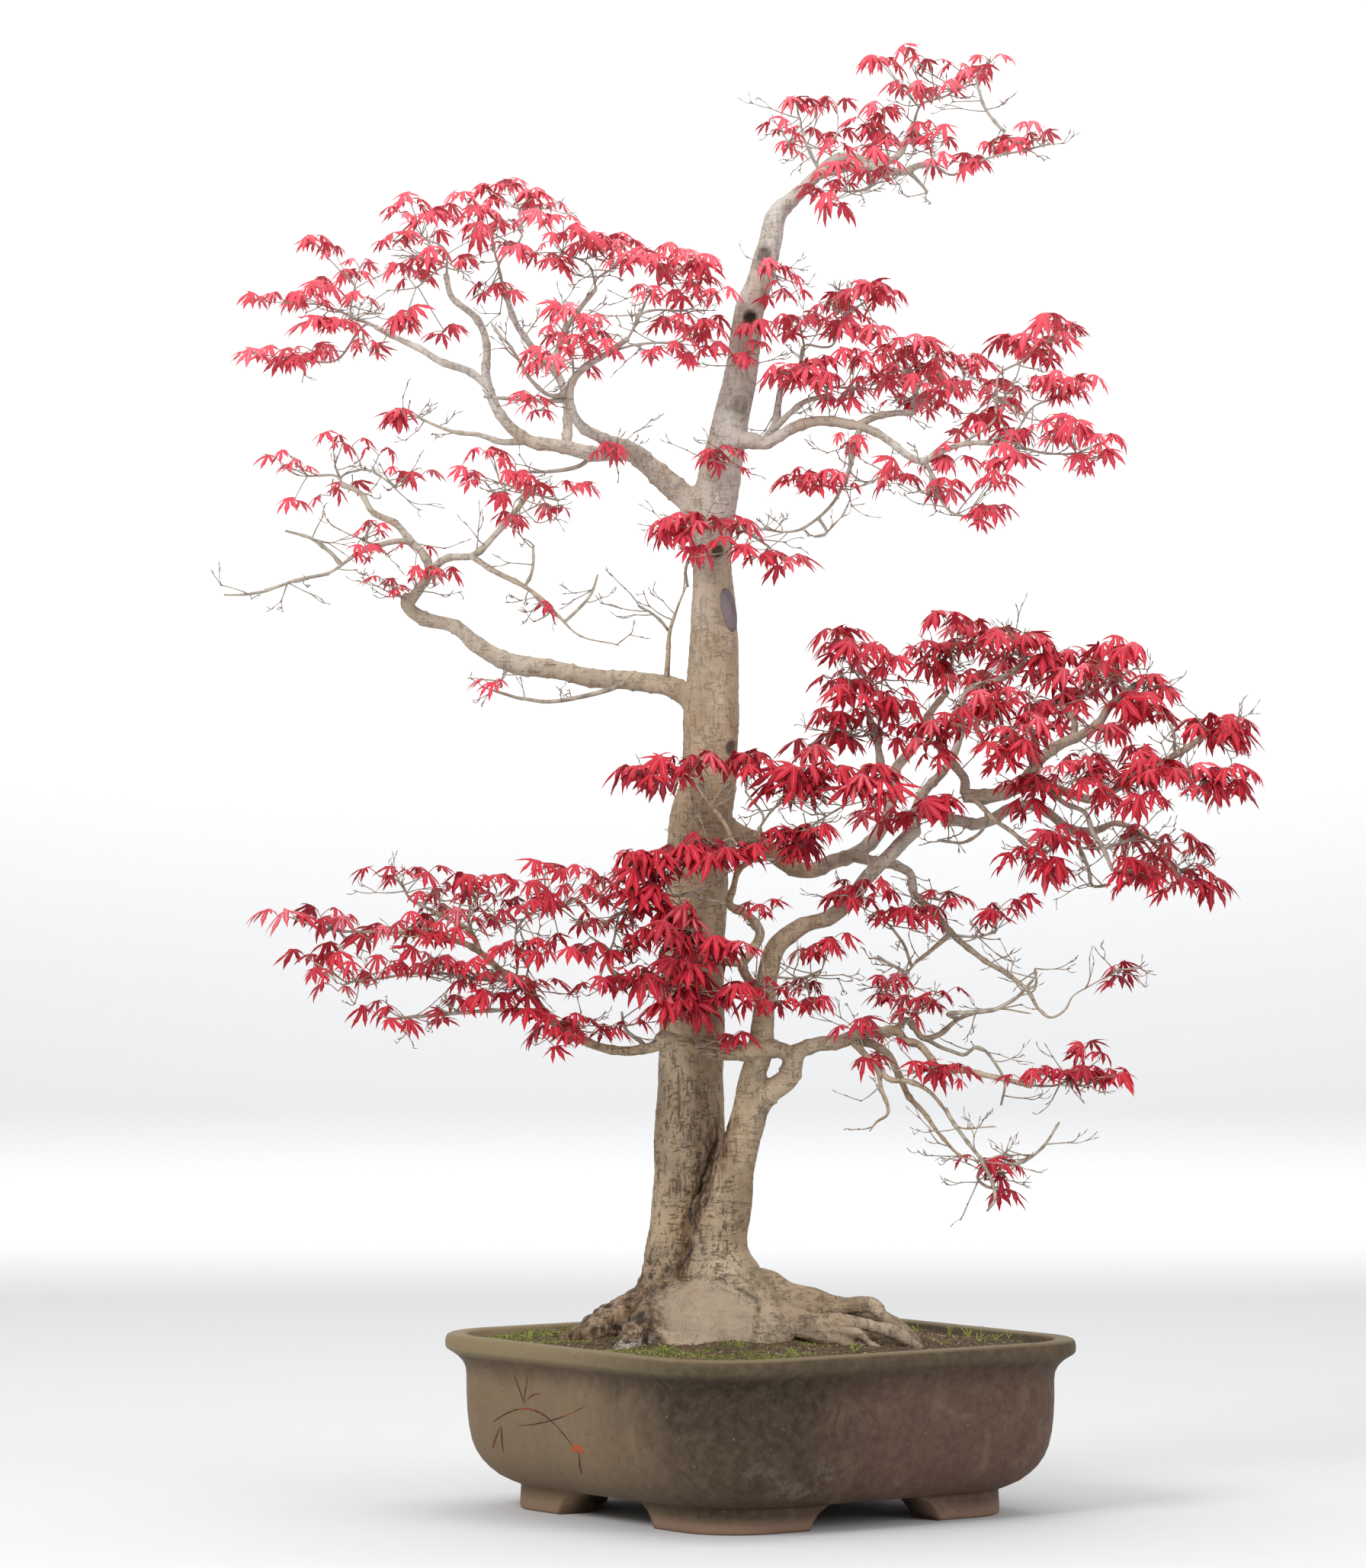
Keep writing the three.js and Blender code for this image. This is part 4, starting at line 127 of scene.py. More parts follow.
LIMBS = (
    Limb("main_trunk", (
        (-47, 2, 92, 56), (-47, 2, 112, 55), (-46, 2, 124, 47), (-44, 4, 136, 41), (-44, 6, 150, 35),
        (-45, 8, 165, 31.5), (-45, 9, 185, 27.5), (-45, 10, 212, 25), (-45, 10, 250, 23),
        (-44.5, 10, 300, 21.5), (-44, 10, 340, 21), (-41, 10, 400, 20), (-39.5, 10, 440, 20.5),
        (-37.5, 10, 460, 20.5), (-33.5, 9, 480, 18.5), (-31.5, 8, 520, 18.5), (-29.5, 7, 560, 16.5),
        (-29.5, 6, 590, 15.2), (-30.5, 5, 620, 13), (-31, 4, 640, 13.5), (-29, 3, 664, 15),
        (-24, 1, 690, 14), (-18, 0, 720, 11.8), (-11, -1, 752, 11), (-6, -2, 790, 10),
        (2, -2, 814, 9.2), (8, -2, 838, 7.6), (12, -1, 854, 6.8), (24, 1, 866, 5.2), (39, 3, 881, 4.6),
    )),
    Limb("second_trunk", (
        (-10, -26, 94, 33), (-12, -24, 118, 33), (-16, -21, 134, 29), (-22, -17, 150, 25),
        (-28, -12, 168, 21.5), (-24, -16, 200, 19), (-18, -20, 222, 15.5), (-13, -24, 243, 13),
        (-6, -27, 266, 11.5), (-6, -28, 282, 8.5), (-1, -29, 300, 8.5), (3, -29, 330, 7.2),
        (6, -28, 356, 7.2), (11, -26, 372, 6.6), (28, -22, 385, 6), (46, -16, 391, 5.7),
        (62, -9, 405, 5.4), (72, -3, 418, 5.2), (84, 3, 429, 5), (96, 7, 441, 4.7), (105, 9, 449, 4.4),
        (117, 10, 452.5, 4.2), (125, 10, 455, 4.2), (130, 9, 460, 4), (136, 7, 472, 4.2),
    )),
    Limb("root_left", (
        (-50, 0, 138, 24), (-85, -14, 128, 15), (-108, -20, 119, 11), (-126, -24, 109, 7.5),
        (-143, -28, 98, 5),
    )),
    Limb("root_front_left", (
        (-50, -16, 136, 22), (-70, -48, 126, 13), (-84, -68, 114, 9.5), (-97, -84, 101, 6),
    )),
    Limb("root_front", (
        (-37, -10, 140, 24), (-36, -38, 127, 24), (-35, -58, 114, 19), (-34, -74, 100, 12),
    )),
    Limb("root_right_front", (
        (-14, -22, 132, 20), (22, -38, 127, 10.5), (46, -48, 118, 8), (66, -55, 109, 5.5),
        (80, -60, 101, 4),
    )),
    Limb("root_right", (
        (-14, -8, 138, 18), (25, -12, 139, 9), (52, -10, 135, 7), (78, -8, 128, 6), (98, -6, 117, 4.5),
        (110, -5, 104, 3),
    )),
    Limb("root_right_back", (
        (-26, 6, 136, 24), (20, 35, 128, 12), (50, 52, 117, 9), (78, 66, 103, 6),
    )),
    Limb("root_back_left", (
        (-56, 12, 138, 24), (-80, 42, 125, 14), (-96, 60, 112, 10), (-108, 76, 100, 6),
    )),
    Limb("root_back", (
        (-44, 18, 138, 24), (-41, 60, 124, 14), (-38, 88, 110, 10), (-35, 110, 99, 6),
    )),
    Limb("second_fork", (
        (-6, -26, 260, 9), (6, -30, 277, 7.5), (18, -31, 286, 7.2), (23, -31, 302, 6.6),
    )),
    Limb("low_left_arm", (
        (25, -31, 300, 5), (12, -33, 305, 5.8), (-12, -35, 304, 5.7), (-24, -35, 304, 5.5),
        (-48, -34, 309, 5.2), (-66, -33, 312.5, 5.2),
    )),
    Limb("low_left_reach", (
        (-58, -33, 310.5, 3.8), (-72, -35, 306.5, 3.4), (-88, -38, 304.5, 3.2),
        (-104, -40, 307.5, 2.9), (-116, -42, 312.5, 2.8), (-130, -43, 319, 2.7), (-141, -45, 331, 2.7),
        (-149, -46, 343, 2.6), (-157, -48, 351, 2.5), (-167, -46, 356.5, 2.2), (-182, -43, 368.5, 2.1),
        (-195, -40, 375.5, 2), (-212, -36, 378.5, 1.8), (-235, -32, 381.5, 1.6),
    )),
    Limb("low_left_rise", (
        (-182, -43, 368.5, 2), (-187, -36, 380, 1.8), (-203, -28, 390.5, 1.7), (-214, -22, 395, 1.6),
    )),
    Limb("low_right_arm", (
        (20, -31, 302, 5.4), (36, -33, 308, 4.8), (56, -35, 311.5, 4.6), (64, -35, 315.5, 4.4),
        (80, -34, 316.5, 3.6), (90, -33, 317, 3.3), (94, -34, 312, 2.8), (104, -36, 308.5, 2.5),
        (110, -38, 301.5, 2.3), (115, -40, 294.5, 2.2), (134, -45, 292, 2), (150, -49, 288.5, 1.8),
        (176, -55, 283.2, 1.7),
    )),
    Limb("low_right_knee", (
        (88, -33, 317, 2.8), (96, -30, 324, 2.6), (101, -27, 319, 2.5), (107, -24, 312, 2.5),
        (117, -24, 314.5, 2.4), (131, -26, 325.5, 2.1), (142, -28, 329.4, 1.9), (155, -30, 331.7, 1.7),
        (177, -34, 329, 1.3),
    )),
    Limb("hanging_twig", (
        (60, -36, 311, 2.6), (69, -42, 302.5, 2.3), (77, -45, 293, 2.1), (78.5, -46, 283, 1.9),
        (82.5, -48, 263.5, 1.6), (76, -49, 259.5, 1.4), (71, -50, 253, 1.2),
    )),
    Limb("hanging_fork", (
        (76, -44, 294, 2.1), (85, -46, 286, 2), (94, -47, 285.5, 1.9), (109, -50, 279.6, 1.8),
        (118.5, -52, 269.5, 1.6), (126, -54, 257.3, 1.4), (153, -58, 257, 1.1),
    )),
    Limb("hanging_limb", (
        (66, -32, 311, 3.2), (77, -30, 307, 2.9), (85, -29, 301, 2.8), (91, -28, 288, 2.7),
        (97, -29, 275, 2.6), (107, -32, 264.5, 2.4), (118.5, -36, 248.3, 2.2), (130, -40, 237, 1.9),
        (147, -44, 232, 1.5),
    )),
    Limb("front_twig", (
        (1, -29, 335, 3.8), (-4, -34, 346, 3.3), (-11, -37, 361, 3.2), (-4, -37, 371, 3.1),
        (0.5, -37, 382, 3.1), (-8, -36, 393, 2.8), (-20, -35, 400, 2.7), (-17.5, -33, 410, 2.1),
        (-14.5, -32, 421, 2), (0, -30, 434, 1.7), (0, -28, 450, 1.4),
    )),
    Limb("front_twig_left", (
        (-15, -32, 422, 1.8), (-19, -34, 443, 1.5), (-24, -36, 454, 1.4), (-33, -38, 466, 1.3),
    )),
    Limb("front_low_limb", (
        (-11, -37, 361.5, 2.8), (-30, -38, 362.5, 2.3), (-46, -40, 359, 2.2), (-60, -43, 352, 2),
        (-77, -46, 346.5, 1.9), (-88, -47, 351, 1.8), (-96, -47, 357, 1.8), (-99.5, -47, 366, 1.7),
    )),
    Limb("right_limb", (
        (-34, 10, 460, 9), (-19, 11, 449, 7), (-5, 13, 442, 6.2), (10, 16, 432.5, 6),
        (22, 17, 424, 5.7), (33, 18, 421, 5.2), (50, 20, 427, 4.9), (66, 22, 433, 4.7),
        (77, 24, 442, 4.4), (85, 30, 455, 4), (90, 35, 473, 3.7), (92, 39, 488, 3.5),
        (101, 44, 499.5, 3.2), (107, 48, 510, 2.8), (117, 53, 528, 2.4), (128, 58, 541, 2),
    )),
    Limb("right_limb_stem", (
        (90, 35, 474, 2.8), (83, 35, 489, 2.7), (80.5, 34, 502, 2.4), (78, 32, 514, 2.3),
        (72, 30, 526, 1.9),
    )),
    Limb("right_low_limb", (
        (62, 21, 431, 4), (76, 14, 427, 3.6), (91, 12, 425, 3.4), (100.5, 12, 418.5, 3.2),
        (103, 10, 406, 3), (115, 6, 394, 2.8), (127, 4, 380, 2.7), (145, 2, 365, 2.4),
        (163.5, 0, 353.7, 2.2), (176, -2, 343.5, 2.1), (185.5, -4, 329, 1.8), (191, -5, 325, 1.7),
        (201.5, -7, 330, 1.4), (206, -9, 338.5, 1.3), (217, -10, 345.6, 1.2), (232, -12, 354, 1.1),
    )),
    Limb("right_low_side", (
        (127, 4, 380, 2), (113, 2, 368, 1.6), (101, 0, 358, 1.4), (97.5, -1, 352, 1.3),
    )),
    Limb("knot_left", (
        (136, 7, 472, 3.4), (136, 6, 481, 3.1), (131, 4, 488.5, 2.9), (121, 0, 501, 2.6),
        (117, -2, 506, 2.5),
    )),
    Limb("knot_behind", (
        (103, 10, 448, 3.8), (105, 16, 463, 3.3), (111, 21, 474.5, 3.1), (124, 27, 488, 3),
        (130, 30, 498, 2.9), (135, 34, 512, 2.6), (136, 38, 532, 2.4), (143, 41, 543, 2.3),
        (156, 44, 546.5, 2.2), (167, 47, 551.5, 2.1), (181, 51, 561, 1.8),
    )),
    Limb("pad_limb", (
        (136, 7, 471, 4.8), (150, 5, 470, 4.6), (160, 4, 472, 4.5), (172, 2, 477, 4.3),
        (179.5, 7, 486, 3.9), (189, 12, 497, 3.7), (200, 16, 504.5, 3.5), (215, 19, 511.6, 3.2),
        (225, 20, 518, 3), (234, 22, 530.5, 2.6), (245, 24, 540, 2.2), (256, 26, 548, 1.8),
    )),
    Limb("pad_limb_low", (
        (170, 2, 476.5, 3.8), (190, -1, 477, 3.4), (206, -3, 471.6, 3.1), (220, -6, 468, 2.8),
        (236, -12, 476, 2.5), (250, -16, 484.5, 2.4), (266, -21, 494, 2.3), (279.5, -26, 502, 2.2),
        (291, -30, 510.5, 2),
    )),
    Limb("pad_limb_front", (
        (182, 9, 489, 2.8), (182, 1, 500, 2.3), (180, -4, 510, 2), (178, -7, 518, 1.8),
    )),
    Limb("pad_limb_back", (
        (209, 18, 509.5, 2.6), (210, 26, 520, 2.2), (206, 32, 527, 2), (200, 38, 534, 1.8),
    )),
    Limb("lower_pad_limb", (
        (122, 10, 454, 4.2), (132, 12, 454.3, 4), (142, 14, 451.5, 3.9), (154, 16, 454.3, 3.8),
        (167, 18, 462.4, 3.7), (180, 20, 464.5, 3.5), (194, 21.5, 458, 3.2), (207, 23, 449, 2.9),
        (224, 25, 447.4, 2.4), (238, 27, 452.6, 1.9), (250, 28, 449, 1.6), (264, 28, 438, 1.4),
        (271, 28, 430.5, 1.4),
    )),
    Limb("lower_pad_twig", (
        (186, 0, 477, 2), (201, -6, 466, 1.7), (214, -11, 459, 1.6), (219, -12, 448, 1.6),
        (226, -14, 436, 1.5), (232, -16, 422, 1.2),
    )),
    Limb("under_pad_twig", (
        (139, 6, 470.5, 2.2), (147, 1, 464, 1.8), (157, -2, 454, 1.6), (168, -5, 446, 1.5),
        (179, -8, 436.5, 1.4), (190, -10, 434, 1.3),
    )),
    Limb("middle_left_limb", (
        (-30, 9, 518, 12), (-44, 12, 534, 7.6), (-58, 15, 543, 6.6), (-75, 18, 546, 6.2),
        (-110, 21, 549, 6), (-140, 22, 555, 6.1), (-163, 21, 558.5, 6.3), (-176, 20, 564.5, 5.6),
        (-187, 19, 571, 5.2), (-201, 17, 582.5, 4.7), (-224, 15, 589, 4.4), (-232, 15, 595, 4.4),
        (-234, 15, 603, 4),
    )),
    Limb("middle_left_rise", (
        (-232, 15, 598, 3.8), (-225, 12, 607, 3.5), (-218, 10, 619, 3.2), (-222, 12, 631, 2.8),
        (-229, 15, 638.5, 2.6), (-241, 21, 651, 2.3), (-257, 25, 660, 2), (-265, 28, 672, 1.8),
        (-277, 31, 678, 1.7),
    )),
    Limb("middle_left_low", (
        (-229, 14, 638.5, 2.2), (-240, 8, 639, 2), (-252, 4, 635.5, 1.9), (-265, 0, 630, 1.7),
        (-283, -7, 617.5, 1.5), (-302, -10, 613, 1.3), (-325, -12, 606, 1.2),
    )),
    Limb("middle_left_inner", (
        (-218, 10, 619, 2.8), (-208, 5, 626.5, 2.5), (-187, -5, 629.5, 2.3), (-172, -10, 644, 2),
        (-158, -13, 660, 1.8), (-148, -15, 674, 1.6),
    )),
    Limb("middle_left_return", (
        (-190, -4, 628.8, 2.1), (-168, -12, 615, 1.9), (-148, -16, 604, 1.7), (-131, -19, 588, 1.5),
        (-120, -20, 577, 1.3), (-92, -20, 569, 1.1),
    )),
    Limb("upright_twig", (
        (-61, 15, 546, 2.2), (-60, 12, 563, 1.8), (-59, 11, 578, 1.7), (-52, 9, 599, 1.4),
        (-47, 8, 611, 1.2),
    )),
    Limb("upper_left_limb", (
        (-30, 1, 648, 12), (-45, 3, 665, 8.8), (-58, 6, 676, 7.6), (-70, 10, 687, 7),
        (-82, 12, 696.5, 6), (-110, 15, 697.5, 5), (-130, 17, 702, 4.5), (-155, 20, 707.5, 4.1),
        (-166, 20, 717, 3.6), (-177, 18, 735, 3.4), (-181, 16, 751, 2.9), (-180, 12, 768, 2.5),
        (-186, 6, 786, 2.3), (-203, 0, 801, 2), (-206, 0, 815, 1.8),
    )),
    Limb("upper_left_tip", (
        (-179, 18, 742, 3), (-190, 23, 751.5, 2.6), (-212, 32, 760, 2.4), (-228, 39, 770, 2.1),
        (-248, 46, 780, 1.8), (-256, 48, 785, 1.7),
    )),
    Limb("upper_left_front", (
        (-74, 8, 694, 4.6), (-86, 0, 701, 4.2), (-104, -10, 706, 3.8), (-117, -17, 713.5, 3.4),
        (-124, -21, 727, 3), (-123, -22, 741, 2.6), (-114, -26, 751, 2.3), (-99, -30, 760, 2.1),
        (-86, -34, 769, 1.9),
    )),
    Limb("upper_left_back", (
        (-128, 18, 702, 3.6), (-127, 28, 713, 3.3), (-128, 38, 735, 2.9), (-134, 43, 752, 2.7),
        (-146, 47, 764, 2.5), (-159, 52, 782, 2.2), (-170, 58, 808, 1.9),
    )),
    Limb("upper_left_back_fork", (
        (-136, 44, 754, 2.3), (-131, 38, 776, 2), (-119, 33, 795, 1.8), (-108, 30, 808, 1.6),
    )),
    Limb("upper_left_thin", (
        (-154, 20, 706, 2.8), (-170, 25, 706, 2.2), (-186, 30, 711, 2), (-204, 35, 713.5, 1.8),
        (-225, 41, 722, 1.5), (-240, 45, 730, 1.2),
    )),
    Limb("upper_right_limb", (
        (-20, -2, 706, 8), (-6, -6, 704.5, 5.4), (4, -10, 702.5, 4.4), (13, -12, 707, 3.8),
        (24, -14, 713, 3.6), (38, -17, 716.5, 3.4), (57, -20, 714.5, 3.2), (70, -23, 711.5, 2.9),
        (86, -28, 702, 2.5), (107, -33, 689.5, 2.2), (116, -35, 694, 1.9), (132, -38, 699.5, 1.7),
        (148, -40, 701, 1.6),
    )),
    Limb("upper_right_back", (
        (64, -22, 713, 2.8), (74, -18, 718.5, 2.4), (88, -12, 722, 2.1), (102, -8, 723, 1.9),
    )),
    Limb("upper_right_rise", (
        (3, -9, 704, 3), (10, -3, 714, 2.6), (13, 2, 730, 2.3), (15, 3, 740, 2), (26, 5, 750, 1.8),
    )),
    Limb("upper_right_middle", (
        (11, -4, 713, 2.3), (20, -9, 722, 2), (31, -13, 730, 1.8), (46, -16, 733.5, 1.6),
    )),
    Limb("upper_right_hang", (
        (66, -22, 711, 2.2), (61, -25, 699, 1.9), (60, -27, 687, 1.7),
    )),
    Limb("crown_upper", (
        (38, 3, 880, 4), (47, 5, 889, 3.6), (57, 7, 893, 3.3), (68, 9, 891, 3), (84, 10, 890, 2.7),
        (92, 11, 894, 2.4), (98, 11, 905, 2.2), (103, 10, 916, 2),
    )),
    Limb("crown_lower", (
        (38, 2, 880, 3.8), (49, -3, 883, 3.4), (63, -8, 885, 3.2), (76, -12, 883, 3),
        (97, -16, 880.5, 2.5), (104, -17, 884, 2.2), (113, -18, 885, 1.9),
    )),
)

SPRAYS = (
    Spray("crown_tip", True, (103, 10, 916), 8, 36, ((106, 10, 926), (125, 8, 934), (142, 5, 945)), (
          (95, 966), (80, 960), (73, 956), (104, 960), (90, 942), (104, 941), (114, 942), (124, 941),
          (125, 955), (136, 949), (146, 957), (158, 956),
    )),
    Spray("crown_left", True, (36, 6, 884), 10, 34,
          ((31, 6, 902), (20, 16, 904), (27, 4, 918), (52, 2, 908)), (
          (20, 932), (33, 932), (7, 917), (16, 915), (22, 907), (37, 915), (47, 911), (44, 898),
          (46, 936), (58, 936),
    )),
    Spray("crown_middle", False, (86, 10, 892), 22, 18, ((84, 16, 904),), (
          (64, 921), (76, 931), (85, 930), (79, 919), (88, 912), (72, 914),
    )),
    Spray("crown_low", True, (76, -14, 880), -27, 12, ((72, -20, 869), (58, -24, 866)), (
          (83, 900), (75, 894), (89, 886), (61, 888), (50, 885), (66, 880), (40, 879), (51, 875),
          (33, 871), (44, 864),
    )),
    Spray("crown_right_low", True, (113, -18, 885), -26, 16,
          ((124, -21, 878), (150, -27, 888), (176, -29, 893), (190, -30, 897)), (
          (119, 892), (136, 893), (144, 891), (152, 900), (161, 905), (169, 901), (178, 910),
          (188, 907),
    )),
    Spray("crown_right", False, (96, 10, 900), -6, 12, ((105, 0, 905),), (
          (105, 915), (113, 916), (121, 912), (110, 904), (99, 904),
    )),
    Spray("trunk_top", False, (8, -13, 818), -22, 7, (), (
          (5, 823), (15, 818), (23, 812), (18, 803), (28, 802),
    )),
    Spray("inner_right_high", True, (26, 5, 750), 6, 26,
          ((30, 6, 768), (27, 7, 782), (47, 4, 767), (57, 2, 788), (71, 0, 797)), (
          (6, 785), (14, 788), (24, 791), (38, 791), (49, 798), (51, 806), (45, 787), (60, 805),
          (63, 797), (56, 783), (65, 782), (74, 780), (69, 810), (80, 808), (91, 805),
    )),
    Spray("inner_right_low", True, (46, -16, 733.5), -22, 18, ((40, -17, 745), (60, -19, 738)), (
          (43, 760), (54, 763), (31, 752), (8, 752), (16, 753), (24, 746), (68, 761), (77, 759),
          (40, 747), (46, 736), (62, 740), (75, 747), (85, 747),
    )),
    Spray("trunk_side", False, (-9, -16, 758), -27, 5, (), (
          (-10, 761), (3, 768), (0, 783),
    )),
    Spray("right_upper_mass", True, (102, -8, 723), 4, 42,
          ((104, -2, 740), (96, 4, 752), (122, 4, 742), (135, 2, 735)), (
          (85, 771), (93, 767), (103, 774), (112, 773), (120, 768), (127, 764), (90, 757), (106, 760),
          (118, 756), (137, 756), (131, 749), (143, 761), (150, 757), (101, 747), (112, 742),
          (124, 744), (136, 745), (146, 747), (104, 734), (120, 735), (96, 740),
    )),
    Spray("right_far_high", True, (131, -36, 701), -10, 26,
          ((153, -34, 716), (155, -24, 732), (158, -16, 748), (172, -12, 756), (186, -10, 768)), (
          (164, 776), (174, 775), (158, 772), (183, 767), (192, 764), (184, 784), (196, 789),
          (205, 783), (198, 775), (153, 745), (162, 746), (158, 734), (167, 731), (149, 722),
          (140, 720),
    )),
    Spray("right_far_middle", True, (148, -40, 701), -42, 24,
          ((166, -41, 708), (178, -41, 724), (193, -41, 730)), (
          (181, 745), (192, 747), (199, 742), (207, 745), (217, 743), (197, 733), (208, 737),
          (160, 711), (173, 711), (184, 715),
    )),
    Spray("right_far_low", True, (140, -43, 697), -60, 24,
          ((168, -46, 697), (185, -48, 693.5), (205, -50, 693)), (
          (191, 709), (200, 715), (207, 711), (216, 704), (232, 705), (218, 698), (224, 695),
          (208, 692), (156, 698), (167, 694), (152, 691),
    )),
    Spray("right_under", True, (107, -35, 688), -42, 22,
          ((114, -38, 677), (117, -40, 666), (123, -41, 657), (134, -42, 652)), (
          (130, 711), (113, 693), (123, 694), (134, 693), (120, 678), (129, 677), (150, 682),
          (160, 680), (142, 658), (151, 656), (161, 662),
    )),
    Spray("right_hanging", True, (60, -27, 686), -30, 18, ((56, -29, 673), (68, -28, 676), (84, -28, 681)), (
          (18, 682), (25, 686), (33, 677), (44, 684), (52, 681), (87, 691), (97, 682), (63, 706),
    )),
    Spray("trunk_high", False, (-23, -16, 704), -24, 5, (), (
          (-32, 698), (-22, 700), (-13, 697),
    )),
    Spray("trunk_wound", True, (-28, -13.5, 634), -27, 10,
          ((-46, -26, 646), (-10, -24, 644), (6, -24, 634)), (
          (-68, 651), (-60, 653), (-53, 656), (-43, 656), (-30, 653), (-50, 643), (-38, 635),
          (-15, 655), (-8, 652), (-24, 640), (-10, 635), (3, 630), (12, 631), (26, 629),
    )),
    Spray("left_limb_front", False, (-97, 4, 700), -8, 6, (), (
          (-102, 703), (-92, 702),
    )),
    Spray("left_far_tip", True, (-256, 48, 785), 52, 38,
          ((-272, 52, 792), (-292, 54, 800), (-270, 50, 812), (-284, 52, 762), (-304, 52, 762)), (
          (-299, 843), (-291, 845), (-275, 828), (-262, 830), (-291, 820), (-299, 812), (-306, 807),
          (-314, 810), (-323, 805), (-337, 806), (-268, 806), (-294, 790), (-283, 790), (-276, 787),
          (-286, 772), (-266, 775), (-256, 774), (-296, 776), (-327, 773), (-336, 768), (-314, 770),
    )),
    Spray("left_crown_outer", True, (-206, 0, 815), 0, 36,
          ((-206, 0, 828), (-222, -2, 840), (-226, 2, 806)), (
          (-232, 865), (-243, 861), (-218, 856), (-241, 840), (-231, 842), (-212, 846), (-205, 866),
          (-212, 860), (-241, 822), (-222, 820), (-215, 830), (-226, 827), (-205, 785), (-237, 788),
          (-228, 793),
    )),
    Spray("left_crown_middle", True, (-170, 58, 808), 54, 36,
          ((-174, 56, 826), (-180, 54, 850), (-158, 52, 846), (-160, 54, 864)), (
          (-196, 873), (-189, 867), (-184, 884), (-178, 877), (-168, 888), (-160, 883), (-153, 878),
          (-146, 876), (-132, 872), (-197, 858), (-187, 852), (-175, 862), (-198, 836), (-166, 845),
          (-187, 816), (-176, 815), (-163, 808),
    )),
    Spray("left_crown_inner", True, (-108, 30, 808), 26, 38,
          ((-112, 28, 822), (-130, 26, 832), (-96, 26, 822)), (
          (-146, 858), (-134, 855), (-122, 849), (-112, 844), (-104, 845), (-93, 843), (-83, 842),
          (-76, 832), (-88, 828), (-96, 848), (-136, 842), (-138, 828), (-148, 832), (-158, 834),
    )),
    Spray("left_inner_high", True, (-86, -34, 769), -36, 24,
          ((-78, -35, 784), (-70, -36, 800), (-58, -36, 808), (-48, -36, 787)), (
          (-78, 822), (-69, 822), (-58, 821), (-46, 825), (-34, 823), (-60, 831), (-78, 804),
          (-68, 802), (-43, 804), (-32, 810), (-20, 801), (-62, 785), (-52, 784), (-38, 781),
          (-27, 786),
    )),
    Spray("left_inner_low", False, (-99, -32, 760), -36, 14, ((-80, -36, 765), (-56, -36, 766)), (
          (-68, 763), (-56, 767), (-46, 768), (-35, 765), (-25, 768), (-26, 778), (-110, 775),
          (-100, 768),
    )),
    Spray("left_knee", True, (-122, -24, 742), -34, 24, ((-122, -28, 756), (-126, -30, 772)), (
          (-118, 771), (-106, 786), (-132, 793), (-125, 791), (-137, 778), (-150, 761), (-143, 762),
          (-113, 755), (-154, 734), (-152, 727),
    )),
    Spray("left_low_twig", False, (-240, 45, 730), 46, 6, (), (
          (-236, 730), (-244, 727),
    )),
    Spray("middle_left_tip", True, (-277, 31, 678), 33, 20,
          ((-282, 32, 690), (-300, 33, 684), (-264, 31, 688), (-240, 26, 676)), (
          (-317, 701), (-325, 697), (-311, 692), (-288, 713), (-280, 712), (-262, 709), (-246, 703),
          (-268, 681), (-281, 677), (-236, 688), (-229, 686), (-218, 688), (-312, 669),
    )),
    Spray("middle_left_under", False, (-252, 2, 634), -8, 12, ((-262, -4, 640),), (
          (-264, 636), (-255, 636), (-249, 634), (-258, 653), (-249, 650),
    )),
    Spray("middle_left_knob", False, (-233, 10, 598), 4, 14, ((-244, 8, 606), (-226, 0, 606)), (
          (-254, 616), (-243, 615), (-226, 622), (-218, 636), (-211, 621), (-203, 622),
    )),
    Spray("middle_left_fan", True, (-148, -15, 674), -18, 30,
          ((-160, -18, 664), (-170, -16, 676), (-132, -18, 664)), (
          (-186, 699), (-177, 700), (-169, 698), (-194, 686), (-188, 684), (-165, 683), (-156, 683),
          (-150, 680), (-168, 672), (-127, 677), (-117, 675), (-140, 664), (-129, 661), (-167, 658),
          (-159, 657),
    )),
    Spray("middle_left_leaf", False, (-150, -17, 606), -20, 3, (), (
          (-138, 598),
    )),
    Spray("middle_left_hang", False, (-165, 15, 553), 2, 5, ((-172, 6, 544),), (
          (-184, 548), (-175, 546),
    )),
    Spray("front_high_left", True, (-33, -38, 466), -42, 10, ((-46, -40, 482), (-64, -42, 486)), (
          (-88, 491), (-78, 491), (-67, 496), (-56, 490), (-45, 497), (-32, 500),
    )),
    Spray("front_high_right", True, (0, -28, 450), -28, 12, ((7, -27, 460), (-9, -29, 474), (28, -25, 474)), (
          (-15, 499), (-5, 501), (4, 495), (12, 489), (22, 489), (33, 491), (46, 493), (8, 481),
          (26, 481), (38, 483), (54, 491),
    )),
    Spray("front_middle_right", True, (1, -32, 434), -36, 10,
          ((20, -32, 441), (38, -32, 454), (55, -28, 464)), (
          (8, 450), (16, 450), (27, 452), (41, 452), (29, 443), (26, 434), (67, 485), (76, 491),
          (86, 487), (62, 480), (88, 478),
    )),
    Spray("front_middle_left", False, (-19, -35, 443), -44, 8, ((-34, -40, 436),), (
          (-11, 441), (-3, 440), (-22, 438), (-31, 437), (-41, 438), (-50, 440), (-61, 439),
          (-44, 447),
    )),
    Spray("front_left_twig", True, (-22, -37, 400.5), -48, 10,
          ((-46, -41, 405.5), (-60, -43, 406.5), (-81, -46, 410)), (
          (-86, 436), (-76, 436), (-67, 436), (-61, 431), (-82, 424), (-66, 421), (-55, 424),
